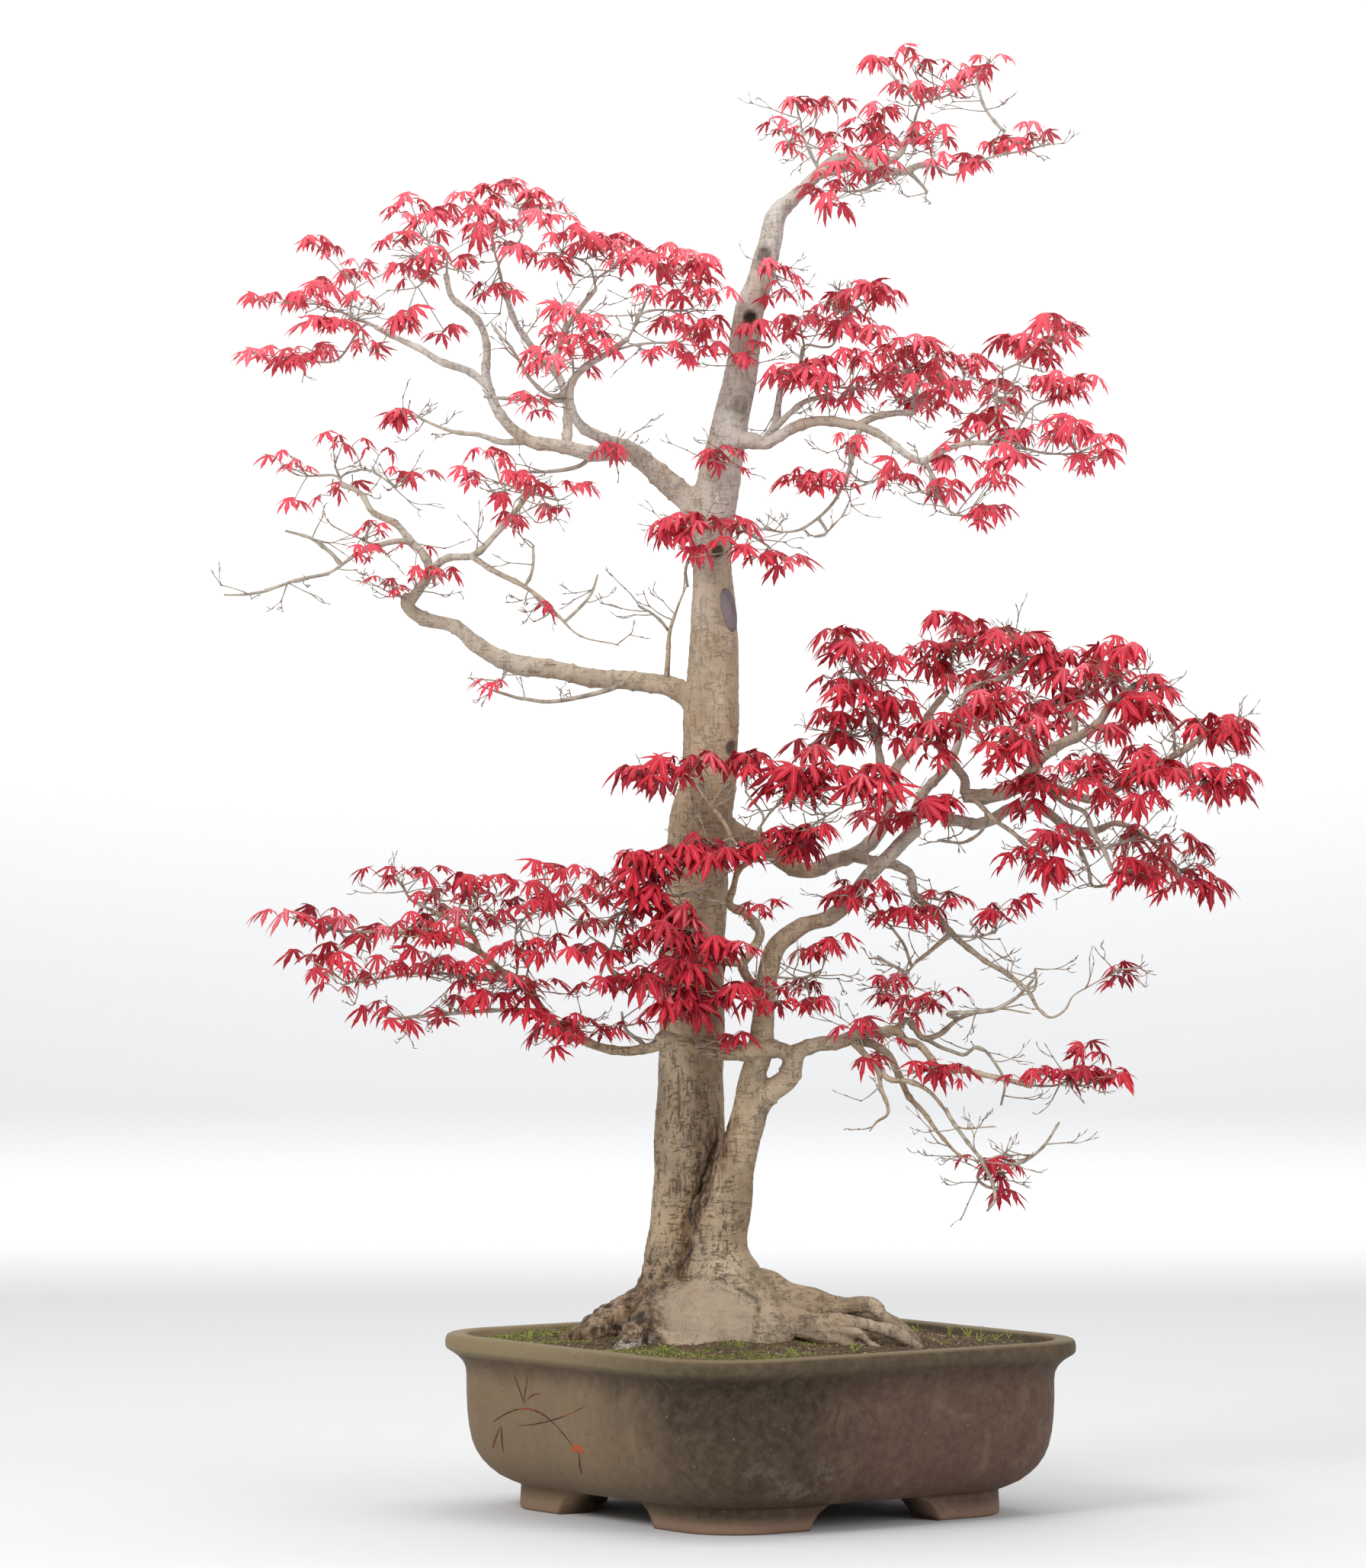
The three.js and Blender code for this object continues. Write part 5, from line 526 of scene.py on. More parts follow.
          (-78, 411), (-70, 411), (-60, 400), (-50, 400), (-74, 401), (-92, 416),
    )),
    Spray("front_low_left", True, (-30, -41, 362.5), -58, 10,
          ((-31, -46, 374), (-46, -52, 384), (-46, -54, 356)), (
          (-44, 392), (-62, 391), (-53, 384), (-50, 376), (-42, 378), (-30, 381), (-22, 376),
          (-11, 377), (-66, 364), (-56, 366), (-45, 363), (-35, 366), (-80, 361),
    )),
    Spray("front_lowest", False, (-60, -46, 349), -62, 9, ((-48, -56, 344),), (
          (-52, 344), (-42, 347), (-58, 340), (-66, 338), (-43, 337), (-30, 345), (-22, 346),
          (-15, 350),
    )),
    Spray("second_front", True, (6, -38, 353), -50, 9, (), (
          (4, 353), (-3, 346), (13, 346), (-9, 339), (6, 338), (20, 340), (1, 401), (9, 404),
    )),
    Spray("second_right", True, (18, -22, 351), -24, 14, ((30, -22, 352), (41, -23, 357)), (
          (28, 371), (35, 373), (46, 378), (56, 381), (27, 352), (35, 349), (41, 341), (30, 338),
    )),
    Spray("second_low", False, (-16, -43, 306), -48, 4, (), (
          (-20, 316), (-12, 318),
    )),
    Spray("bend_front", True, (60, -19, 404), -32, 9, (), (
          (62, 412), (68, 416), (54, 409), (48, 405), (78, 417), (85, 410), (72, 404),
    )),
    Spray("left_pad_middle", True, (-99.5, -47, 366), -46, 34,
          ((-95, -46, 376), (-92, -45, 392), (-85, -45, 404), (-110, -48, 379)), (
          (-122, 374), (-114, 373), (-106, 376), (-97, 371), (-88, 371), (-75, 386), (-84, 381),
          (-64, 383), (-85, 396), (-97, 391), (-108, 392), (-114, 396), (-88, 360), (-104, 355),
          (-93, 353), (-115, 350), (-84, 352),
    )),
    Spray("left_pad_high", True, (-157, -48, 353), -44, 34,
          ((-158, -48, 368), (-158, -48, 384), (-146, -48, 396), (-130, -48, 398)), (
          (-145, 430), (-137, 427), (-128, 425), (-119, 427), (-110, 424), (-102, 418), (-94, 414),
          (-148, 416), (-126, 414), (-113, 413), (-103, 407), (-136, 408), (-121, 404), (-158, 416),
          (-148, 404), (-160, 405), (-133, 381), (-143, 380),
    )),
    Spray("left_pad_back", True, (-187, -36, 381), -24, 32, ((-190, -30, 392), (-186, -26, 404)), (
          (-170, 420), (-179, 419), (-189, 420), (-196, 421), (-174, 408), (-183, 398), (-168, 397),
          (-196, 398), (-176, 394), (-190, 408),
    )),
    Spray("left_pad_far", True, (-214, -22, 395), -14, 24, ((-228, -18, 403), (-237, -16, 415)), (
          (-257, 424), (-241, 425), (-226, 424), (-218, 421), (-210, 425), (-222, 409), (-213, 410),
          (-204, 413), (-208, 400),
    )),
    Spray("left_pad_mass", False, (-203, -39, 376), -58, 24, ((-214, -50, 384),), (
          (-225, 397), (-217, 394), (-234, 390), (-226, 386), (-207, 390), (-197, 386), (-215, 384),
    )),
    Spray("left_pad_tip", True, (-235, -32, 381.5), -32, 18,
          ((-252, -32, 382), (-272, -32, 382.3), (-290, -31, 385.5), (-306, -30, 391.5)), (
          (-245, 387), (-252, 385), (-277, 398), (-285, 392), (-271, 393), (-308, 397), (-321, 397),
    )),
    Spray("left_pad_inner", True, (-149, -46, 344), -62, 20, ((-160, -54, 350), (-150, -56, 362)), (
          (-178, 358), (-169, 358), (-160, 353), (-150, 351), (-142, 352), (-133, 353), (-178, 346),
          (-165, 344), (-151, 342), (-151, 377), (-161, 378), (-144, 371), (-170, 374),
    )),
    Spray("left_pad_west", True, (-168, -47, 356), -56, 20,
          ((-186, -52, 353), (-208, -53, 355.5), (-232, -54, 354.7), (-252, -55, 351.5), (-268, -56, 350)),
          (
          (-186, 366), (-195, 364), (-204, 368), (-212, 366), (-220, 363), (-230, 364), (-224, 374),
          (-195, 352), (-239, 362), (-247, 368), (-265, 364), (-257, 357), (-281, 358), (-283, 350),
          (-283, 368), (-292, 368), (-303, 371), (-280, 376),
    )),
    Spray("left_pad_low", False, (-141, -46, 331), -54, 14,
          ((-160, -50, 332), (-185, -52, 331), (-210, -53, 329.5), (-232, -54, 327)), (
          (-160, 334), (-151, 334), (-198, 342), (-189, 341), (-182, 345), (-206, 327), (-248, 338),
          (-256, 334), (-241, 335),
    )),
    Spray("left_under", True, (-116, -42, 312.5), -56, 12, ((-120, -48, 322),), (
          (-136, 330), (-128, 324), (-119, 331), (-112, 327), (-142, 322), (-133, 322), (-146, 317),
          (-125, 319), (-101, 323), (-93, 321), (-78, 327),
    )),
    Spray("pad_left_high", True, (72, 30, 526), 26, 28, ((72, 28, 540), (62, 26, 556), (84, 28, 548)), (
          (45, 582), (54, 584), (67, 582), (75, 572), (61, 573), (66, 561), (45, 573), (81, 571),
          (91, 563), (83, 556), (43, 551), (53, 544), (62, 548), (71, 550), (80, 541), (90, 536),
          (100, 535), (97, 543),
    )),
    Spray("pad_left_low", True, (79, 32, 512), 22, 16, ((66, 28, 510), (52, 26, 516)), (
          (41, 529), (52, 527), (27, 509), (47, 513), (58, 512), (38, 505), (64, 529), (74, 528),
          (88, 519), (96, 517),
    )),
    Spray("pad_middle_high", True, (128, 58, 541), 51, 28, ((124, 56, 556), (132, 54, 570)), (
          (104, 571), (113, 575), (121, 573), (110, 561), (121, 561), (130, 576), (118, 594),
          (135, 591), (143, 590), (128, 552), (140, 585), (144, 575),
    )),
    Spray("pad_back", True, (181, 51, 561), 52, 30, ((170, 50, 568), (194, 52, 562)), (
          (151, 581), (160, 581), (168, 585), (177, 578), (184, 579), (193, 577), (156, 570),
          (166, 566), (190, 566), (200, 569), (208, 569), (218, 569), (152, 556), (142, 556),
          (184, 555), (204, 556),
    )),
    Spray("pad_middle", False, (137, 36, 526), 10, 24, ((146, 26, 532), (160, 20, 534)), (
          (146, 541), (156, 542), (165, 543), (173, 540), (150, 531), (160, 529), (142, 552),
    )),
    Spray("pad_front", True, (117, -2, 506), -18, 16, ((124, -12, 516),), (
          (118, 498), (109, 507), (105, 519), (113, 521), (122, 526), (132, 529), (139, 520),
          (103, 509),
    )),
    Spray("pad_front_right", True, (178, -7, 518), -22.5, 16, ((166, -18, 514), (160, -20, 506)), (
          (156, 516), (165, 513), (150, 506), (164, 504), (174, 508), (175, 526), (182, 523),
          (171, 518), (160, 498), (186, 517),
    )),
    Spray("pad_back_right", True, (200, 38, 534), 42.5, 22, ((206, 40, 538),), (
          (188, 534), (180, 533), (197, 534), (207, 543), (214, 543), (223, 541), (199, 521),
          (213, 529),
    )),
    Spray("pad_right_high", True, (245, 24, 540), 22, 30, ((236, 24, 552),), (
          (227, 570), (236, 577), (241, 568), (248, 572), (232, 561), (224, 562), (214, 558),
          (240, 556), (226, 551),
    )),
    Spray("pad_right_tip", True, (256, 26, 548), 12, 18, ((256, 20, 540),), (
          (262, 552), (268, 545), (256, 540), (247, 541), (240, 535), (252, 534), (264, 532),
          (270, 527),
    )),
    Spray("pad_dark_leaf", False, (222, 17, 516), 4, 5, (), (
          (240, 518), (231, 519),
    )),
    Spray("pad_far", True, (291, -30, 510.5), -30, 18, ((298, -30, 512),), (
          (285, 522), (295, 525), (305, 524), (299, 515), (310, 517), (317, 521), (310, 508),
    )),
    Spray("pad_far_low", False, (266, -24, 493), -38, 14, ((282, -34, 482), (298, -36, 480)), (
          (275, 493), (284, 492), (292, 489), (296, 481), (283, 478), (269, 489), (310, 492),
          (320, 488), (313, 476),
    )),
    Spray("pad_low_mass", True, (206, -6, 471.6), -32, 20, ((208, -26, 482), (224, -30, 480)), (
          (203, 498), (213, 497), (225, 498), (196, 493), (217, 489), (229, 489), (209, 482),
          (222, 476), (232, 471), (238, 481),
    )),
    Spray("pad_low_right", False, (250, -19, 484.5), -34, 16, ((250, -30, 490),), (
          (243, 504), (252, 503), (258, 498), (264, 494), (247, 494), (253, 488), (240, 487),
          (256, 474), (246, 472),
    )),
    Spray("pad_low_left", False, (178, -2, 477.5), -16, 9, (), (
          (180, 486), (170, 484), (163, 481), (191, 479), (170, 469),
    )),
    Spray("arm_high", False, (129, 6, 459), -10, 9, ((118, -8, 458), (100, -8, 456)), (
          (115, 471), (123, 472), (108, 468), (88, 464), (78, 463), (68, 460),
    )),
    Spray("under_pad", True, (190, -10, 434), -14, 14, ((196, -12, 442),), (
          (196, 452), (186, 449), (211, 448), (172, 438), (163, 434), (180, 431), (194, 431),
    )),
    Spray("under_pad_right", True, (232, -16, 422), -18, 18, ((246, -18, 422),), (
          (241, 431), (250, 429), (236, 422), (258, 434), (265, 431), (268, 421), (276, 418),
          (254, 420),
    )),
    Spray("under_pad_tip", True, (271, 28, 430.5), 28, 10, ((282, 28, 420),), (
          (285, 446), (295, 440), (292, 426), (300, 421), (307, 416),
    )),
    Spray("under_pad_twig", False, (243, 27, 452), 20, 4, (), (
          (252, 452), (244, 446),
    )),
    Spray("right_low_leaves", False, (103, 7, 409), -10, 12, ((100, -6, 400), (120, -8, 402)), (
          (80, 396), (89, 397), (98, 398), (106, 396), (115, 399), (125, 408), (134, 405), (110, 393),
    )),
    Spray("right_low_twig", False, (127, 2, 377), -4, 12, ((145, -2, 378), (156, -4, 381)), (
          (176, 406), (168, 403), (155, 397), (165, 397), (149, 394),
    )),
    Spray("right_low_hang", False, (97.5, -1, 352), -6, 6, (), (
          (80, 353), (88, 354), (95, 352), (79, 341), (86, 341),
    )),
    Spray("low_right_knee", False, (98, -29, 324), -36, 10, ((104, -36, 332),), (
          (105, 341), (96, 341), (112, 338), (120, 344), (130, 346), (92, 333),
    )),
    Spray("low_right_front", False, (64, -39, 316), -46, 6, (), (
          (66, 327), (53, 322), (76, 303), (90, 314),
    )),
    Spray("low_right_twig", False, (115, -42, 294.5), -46, 8, (), (
          (100, 299), (107, 298), (113, 293), (120, 296), (127, 297), (134, 295),
    )),
    Spray("low_right_tip", True, (176, -55, 283.2), -58, 18, ((188, -57, 283), (204, -58, 288)), (
          (161, 291), (174, 295), (182, 294), (207, 312), (215, 312), (223, 304), (208, 297),
          (198, 294), (190, 294), (217, 296), (227, 294), (237, 294),
    )),
    Spray("lowest_twig", False, (147, -44, 232), -46, 6, ((155, -46, 224),), (
          (134, 238), (150, 236), (157, 234), (166, 233), (156, 224), (163, 215),
    )),
    Spray("low_right_star", False, (230, -12, 353), -12, 3, ((236, -14, 357),),
          ((239, 362), (241, 357), (236, 353))),
)

# Thin bare twigs beside the main limbs: x, y, z, radius
BARE_TWIGS = (
    ((-156, -48, 351, 1.8), (-170, -49, 351, 1.4), (-187, -50, 352.6, 1.0)),
    ((-142, -46, 331, 1.8), (-161, -48, 331.6, 1.4), (-193, -52, 330, 1.2), (-231, -55, 327, 0.9)),
    ((123, -38, 329, 1.5), (155, -32, 332, 1.4), (167, -33, 338.6, 1.2), (178.6, -34, 351, 0.9)),
    ((107, -24, 312, 1.6), (121, -26, 305.6, 1.4), (134.6, -27, 301.6, 1.3), (140.4, -27, 306.2, 1.2),
     (155.5, -29, 293.5, 1.1), (160, -30, 284, 1.0), (157.8, -30, 269, 0.8)),
    ((120, -52, 268, 1.4), (131, -57, 250.6, 1.2), (144, -62, 233, 1.2), (150.8, -66, 209, 1.0),
     (146, -68, 203, 0.9)),
    ((147, -44, 232, 1.4), (169, -48, 232.7, 1.2), (182, -50, 241.4, 1.0), (193.7, -52, 258.7, 0.8)),
    ((141.6, -46, 221.7, 1.2), (149.7, -48, 216, 1.0), (157, -49, 217, 0.8)),
    ((101, 0, 358, 1.3), (95, -2, 373, 1.1), (89.5, -3, 381.5, 1.0), (81.4, -4, 389.6, 0.8)),
    ((97.5, -1, 353, 1.2), (78, -3, 365, 0.9)),
    ((176, -2, 343, 1.2), (182, -3, 345.6, 1.0), (182, -4, 357, 0.8)),
    ((272, -24, 498, 1.3), (271, -24, 512, 1.0), (269, -24, 518, 0.8)),
    ((226, -14, 436, 1.2), (240.5, -15, 441, 1.0), (246.8, -15, 444, 0.8)),
    ((226, -14, 436, 1.2), (217, -14, 436, 1.0), (209, -14, 436.8, 0.8)),
    ((150, 0, 460, 1.3), (149, 0, 451, 1.2), (136, -2, 440.4, 1.1), (118, -4, 441.6, 0.9)),
    ((211, 23, 448, 1.7), (213, 22, 436.8, 1.6), (219.5, 20, 421, 1.4), (221, 19, 411, 1.2),
     (233, 17, 411.6, 0.9)),
    ((277, 28, 421, 1.4), (284, 28, 414.5, 1.1), (296, 26, 412, 0.9)),
    ((-110, 15, 697, 1.9), (-118, 22, 690, 1.6), (-140, 25, 686, 1.2), (-156, 26, 686, 0.9)),
    ((-126, -23, 729, 1.6), (-140, -24, 729, 1.4), (-170, -26, 731, 1.2), (-180, -26, 732, 0.9)),
    ((-138, -26, 733, 1.4), (-150, -28, 743, 1.2), (-157, -29, 755, 1.1), (-175, -30, 780, 0.8)),
    ((-130, 37, 780, 1.5), (-128, 36, 788, 1.3), (-138, 36, 800, 1.0)),
    ((-280, -2, 628, 1.4), (-294, -4, 640, 1.1), (-312, -6, 645, 0.8)),
    ((-283, -7, 617, 1.4), (-302, -10, 613, 1.2), (-335, -13, 603, 1.0), (-351, -13, 603, 0.7)),
    ((-90, 14, 545, 1.8), (-118, 12, 536, 1.5), (-140, 10, 533, 1.3), (-160, 8, 536, 1.1),
     (-174, 6, 540, 0.9)),
    ((-47, 8, 609, 1.2), (-48, 7, 620, 1.0), (-44, 6, 632, 0.8)),
    ((-60, 11, 580, 1.2), (-68, 8, 590, 1.0), (-80, 6, 596, 0.8)),
    ((-150, -14, 615, 1.2), (-148, -12, 635, 0.9)),
    ((-122, -16, 590, 1.2), (-110, -14, 604, 1.0), (-106, -13, 616, 0.8)),
    ((60, -27, 688, 1.6), (55, -29, 675, 1.3), (50, -30, 665, 1.2), (38, -32, 652, 1.1), (25, -33, 644, 1.0),
     (-2, -33, 645, 0.8)),
    ((38, -32, 652, 1.1), (44, -34, 642, 1.0), (36, -36, 640, 0.8)),
    ((107, -33, 689, 1.7), (112, -36, 680, 1.4), (110, -38, 668, 1.0)),
    ((160, -24, 906, 1.2), (150, -20, 918, 1.0), (142, -18, 940, 0.8)),
    ((98, -16, 880, 1.8), (104, -19, 874, 1.2), (110, -20, 866, 0.9)),
    ((-75.7, -35, 308, 1.6), (-82, -38, 313.6, 1.4), (-88, -41, 320, 1.1), (-90, -42, 330, 0.8)),
    ((84, 27, 449, 1.6), (78, 30, 462, 1.2), (80, 32, 474, 0.9)),
    ((-14.5, -32, 421, 1.4), (-8, -31, 427, 1.2), (12, -30, 430, 1.0), (30, -30, 440, 0.8)),
)

# Surface roots that run over the soil, drawn without the depth factor: x, y, z, radius
SURFACE_ROOTS = (
    ((-14, -8, 140, 15), (0, -4, 149, 11), (20, -5, 142, 8), (45, -12, 139, 5.5), (60, -14, 134, 3.5)),
    ((-10, -20, 134, 12), (15, -15, 134, 8), (40, -25, 133, 6.5), (60, -32, 137, 6), (75, -36, 137, 5),
     (82, -38, 130, 4.5), (96, -42, 119, 3.5), (104, -43, 110, 2.5)),
    ((-5, -30, 124, 12), (25, -34, 124, 7), (40, -40, 127, 5.5), (60, -46, 127, 5), (75, -50, 124, 4.5),
     (92, -55, 119, 4), (106, -58, 110, 3)),
    ((50, -52, 122, 4), (64, -60, 121, 3.4), (78, -68, 110, 2.6)),
    ((-58, 6, 140, 14), (-78, 0, 135, 11), (-92, -4, 130, 9.5), (-108, -8, 122, 8), (-124, -12, 112, 6),
     (-137, -14, 105, 4.5)),
    ((-86, -10, 135, 4.5), (-100, -13, 128, 3.5), (-118, -16, 117, 2)),
    ((-92, -44, 104, 5), (-76, -54, 112, 5.5), (-62, -62, 118, 4.5), (-54, -66, 119, 3)),
    ((-70, -60, 112, 4), (-50, -72, 113, 3.4), (-32, -80, 110, 2.2)),
)

SCARS = (
    Scar((3, -10, 826), 7, 1.2, 1.5, 0.75),
    Scar((-6, -11, 785), 6, 1.2, 1.8, 1.0),
    Scar((-12, -13, 728), 8, 0.9, 0.5, 0.35),
    Scar((-17, -9, 502), 7, 1.5, 1.2, 0.75),
    Scar((-27, -8, 632), 6, 1.2, 1.5, 0.9),
    Scar((-17, -39, 205), 11, 0.7, 0.4, 0.22),
    Scar((6, -46, 359), 5, 1.4, 0.8, 0.2),
    Scar((64, -46, 316), 5, 1.2, 0.8, 0.25),
)


def tree_points(table: tuple, deepened: bool = True) -> Array:
    """Turns table rows of x, y, z and more in mm into an array with the tree's own depth.

    Args:
        table: rows of x, y, z and more, in mm.
        deepened: False for what stands at its true depth.

    Returns:
        One row for each row of the table.
    """
    rows = np.array(table, float)
    rows[:, 1] *= TREE_DEPTH if deepened else 1.0
    return rows


def region_of(name: str) -> Region:
    """Returns the leafy mass that a spray belongs to."""
    return next(region for prefix, region in REGION_PREFIXES if name.startswith(prefix))


def even_draws(seed: int, count: int) -> Array:
    """Draws even numbers from 0 to 1 by the rule state = (state x 1664525 + 1013904223) mod 2^32.

    Args:
        seed: the first state.
        count: how many numbers.

    Returns:
        The numbers.
    """
    state = seed
    draws = []
    for _ in range(count):
        state = (state * DRAW_FACTOR + DRAW_STEP) % DRAW_RANGE
        draws.append(state / DRAW_RANGE)
    return np.array(draws)


def paleness(points: Array) -> Array:
    """How pale twigs are: 0 up to PALE_FROM, then rising evenly to 1 over PALE_SPAN of height."""
    return np.clip((points[:, 2] - PALE_FROM) / PALE_SPAN, 0, 1)


def lattice_noise(points: Array, scale: float, seed: float = 0.0) -> Array:
    """Smooth value noise from -1 to 1.

    Each corner of a lattice gets the fraction of a large sine as its value, and the eight corners
    round a point are blended with the weights 3t^2 - 2t^3.

    Args:
        points: array of points, last axis x, y, z.
        scale: size of a lattice cell, in the points' unit.
        seed: shifts the pattern.

    Returns:
        One number for each point.
    """
    spot = points / scale + seed * 17.31
    cell = np.floor(spot)
    share = spot - cell
    share = share * share * (3 - 2 * share)
    total = np.zeros(points.shape[:-1])
    for corner in np.ndindex(2, 2, 2):
        step = np.array(corner)
        weight = np.prod(np.where(step == 1, share, 1 - share), axis=-1)
        code = (cell + step) @ np.array([12.9898, 78.233, 37.719]) + seed
        value = np.sin(code) * 43758.5453
        total += weight * (value - np.floor(value))
    return total * 2 - 1


def unit(vectors: Array) -> Array:
    """Scales vectors to length 1."""
    return vectors / np.maximum(np.linalg.norm(vectors, axis=-1, keepdims=True), 1e-12)


def smoothed(path: Array, step: float) -> Array:
    """A path through all given rows, resampled evenly.

    Between two rows it is the cubic Hermite curve whose slopes are (next - previous) divided by the
    chord lengths between them.

    Args:
        path: rows of x, y, z, radius.
        step: distance between the new rows.

    Returns:
        The new rows.
    """
    chords = np.linalg.norm(np.diff(path[:, :3], axis=0), axis=1)
    reach = np.concatenate([[0.0], np.cumsum(np.maximum(chords, 1e-6))])
    slopes = np.gradient(path, reach, axis=0) if len(path) > 2 else np.repeat(
        (path[1:] - path[:1]) / reach[-1], 2, axis=0)
    count = max(int(reach[-1] / step) + 1, 2)
    at = np.linspace(0.0, reach[-1], count)
    index = np.clip(np.searchsorted(reach, at, side="right") - 1, 0, len(path) - 2)
    span = (reach[index + 1] - reach[index])[:, None]
    t = ((at - reach[index])[:, None]) / span
    rows = ((2 * t**3 - 3 * t**2 + 1) * path[index] + (t**3 - 2 * t**2 + t) * span * slopes[index]
            + (3 * t**2 - 2 * t**3) * path[index + 1] + (t**3 - t**2) * span * slopes[index + 1])
    rows[:, 3] = np.maximum(rows[:, 3], 0.3)
    return rows


@dataclass
class MeshBag:
    """Collects surfaces with their point attributes and makes one mesh object of them."""

    name: str
    points: list = field(default_factory=list)
    faces: list = field(default_factory=list)
    marks: dict = field(default_factory=dict)
    count: int = 0

    def add(self, points: Array, faces: list, **marks: Array | float) -> None:
        """Adds a surface in mm.

        Args:
            points: n x 3 array.
            faces: arrays of vertex numbers, one array for each number of corners.
            marks: point attributes, a number or an array of n numbers each.
        """
        for face in faces:
            if len(face):
                self.faces.append(np.asarray(face, np.int64) + self.count)
        for key in set(marks) | set(self.marks):
            column = self.marks.setdefault(key, [np.zeros(self.count)] if self.count else [])
            column.append(np.broadcast_to(np.asarray(marks.get(key, 0.0), float), (len(points),)))
        self.points.append(points)
        self.count += len(points)

    def build(self) -> bpy.types.Object:
        """Makes the mesh object in metres, in the row frame.

        Returns:
            The object, with the marks as point attributes.
        """
        mesh = bpy.data.meshes.new(self.name)
        points = np.concatenate(self.points) * MM + POT_CENTRE
        sizes = np.concatenate([np.full(len(face), face.shape[1]) for face in self.faces])
        corners = np.concatenate([face.ravel() for face in self.faces])
        mesh.vertices.add(len(points))
        mesh.vertices.foreach_set("co", points.astype(np.float32).ravel())
        mesh.loops.add(len(corners))
        mesh.loops.foreach_set("vertex_index", corners.astype(np.int32))
        mesh.polygons.add(len(sizes))
        starts = np.concatenate([[0], np.cumsum(sizes)[:-1]]).astype(np.int32)
        mesh.polygons.foreach_set("loop_start", starts)
        mesh.polygons.foreach_set("use_smooth", np.ones(len(sizes), bool))
        mesh.update(calc_edges=True)
        mesh.validate()
        write_marks(mesh, {key: np.concatenate(column) for key, column in self.marks.items()})
        piece = bpy.data.objects.new(self.name, mesh)
        bpy.context.scene.collection.objects.link(piece)
        return piece


def write_marks(mesh: bpy.types.Mesh, marks: dict) -> None:
    """Stores point attributes on a mesh.

    Args:
        mesh: gets the attributes.
        marks: name of each attribute to its values.
    """
    for key, values in marks.items():
        attribute = mesh.attributes.new(key, "FLOAT", "POINT")
        attribute.data.foreach_set("value", np.asarray(values, np.float32))


def ring_faces(rings: int, sides: int, closed: bool = True) -> Array:
    """Quads between rings of points that follow each other in the vertex list.

    Args:
        rings: number of rings.
        sides: points in a ring.
        closed: whether the last point joins the first.

    Returns:
        Rows of four point numbers.
    """
    ring, side = np.meshgrid(np.arange(rings - 1), np.arange(sides if closed else sides - 1), indexing="ij")
    after = (side + 1) % sides
    low, high = ring * sides, (ring + 1) * sides
    return np.stack([low + side, low + after, high + after, high + side], axis=-1).reshape(-1, 4)


def fan_faces(first: int, sides: int, tip: int, flip: bool) -> Array:
    """Triangles from a ring of points to one tip.

    Args:
        first: number of the ring's first point.
        sides: points in the ring.
        tip: number of the tip.
        flip: turns the faces over.

    Returns:
        Rows of three point numbers.
    """
    side = np.arange(sides)
    after = (side + 1) % sides
    rows = np.stack([first + side, first + after, np.full(sides, tip)], axis=-1)
    return rows[:, ::-1] if flip else rows


def tube(path: Array, sides: int, wobble: float = 0.0, seed: float = 0.0) -> tuple[Array, list]:
    """A round tube along a path with domed ends.

    Ring point k of row i is centre + radius x (cos a across + sin a third), with a = 2 pi k / sides,
    across = the steadiest of four directions made square to the path, third = along x across.

    Args:
        path: rows of x, y, z, radius in mm.
        sides: points round a ring.
        wobble: largest share by which noise changes the radius.
        seed: shifts the noise.

    Returns:
        The points and the faces.
    """
    centre, radius = path[:, :3], path[:, 3]
    along = unit(np.gradient(centre, axis=0))
    guides = unit(np.array([[0.36, -0.82, 0.44], [0, 1, 0.1], [1, 0.1, 0], [0.1, 0, 1.0]]))
    guide = guides[np.argmin(np.abs(along @ guides.T).max(axis=0))]
    across = unit(guide - (along @ guide)[:, None] * along)
    third = np.cross(along, across)
    angle = np.linspace(0, 2 * math.pi, sides, endpoint=False)
    spokes = np.cos(angle)[None, :, None] * across[:, None] + np.sin(angle)[None, :, None] * third[:, None]
    points = centre[:, None] + radius[:, None, None] * spokes
    if wobble:
        swell = 1 + wobble * lattice_noise(points, max(float(radius.mean()) * 1.6, 2.0), seed)
        points = centre[:, None] + radius[:, None, None] * spokes * swell[..., None]
    ends = np.stack([centre[0] - along[0] * radius[0] * 0.5, centre[-1] + along[-1] * radius[-1] * 0.6])
    rings = len(path)
    flat = np.concatenate([points.reshape(-1, 3), ends])
    total = rings * sides
    return flat, [ring_faces(rings, sides), np.concatenate([
        fan_faces(0, sides, total, True), fan_faces(total - sides, sides, total + 1, False)])]


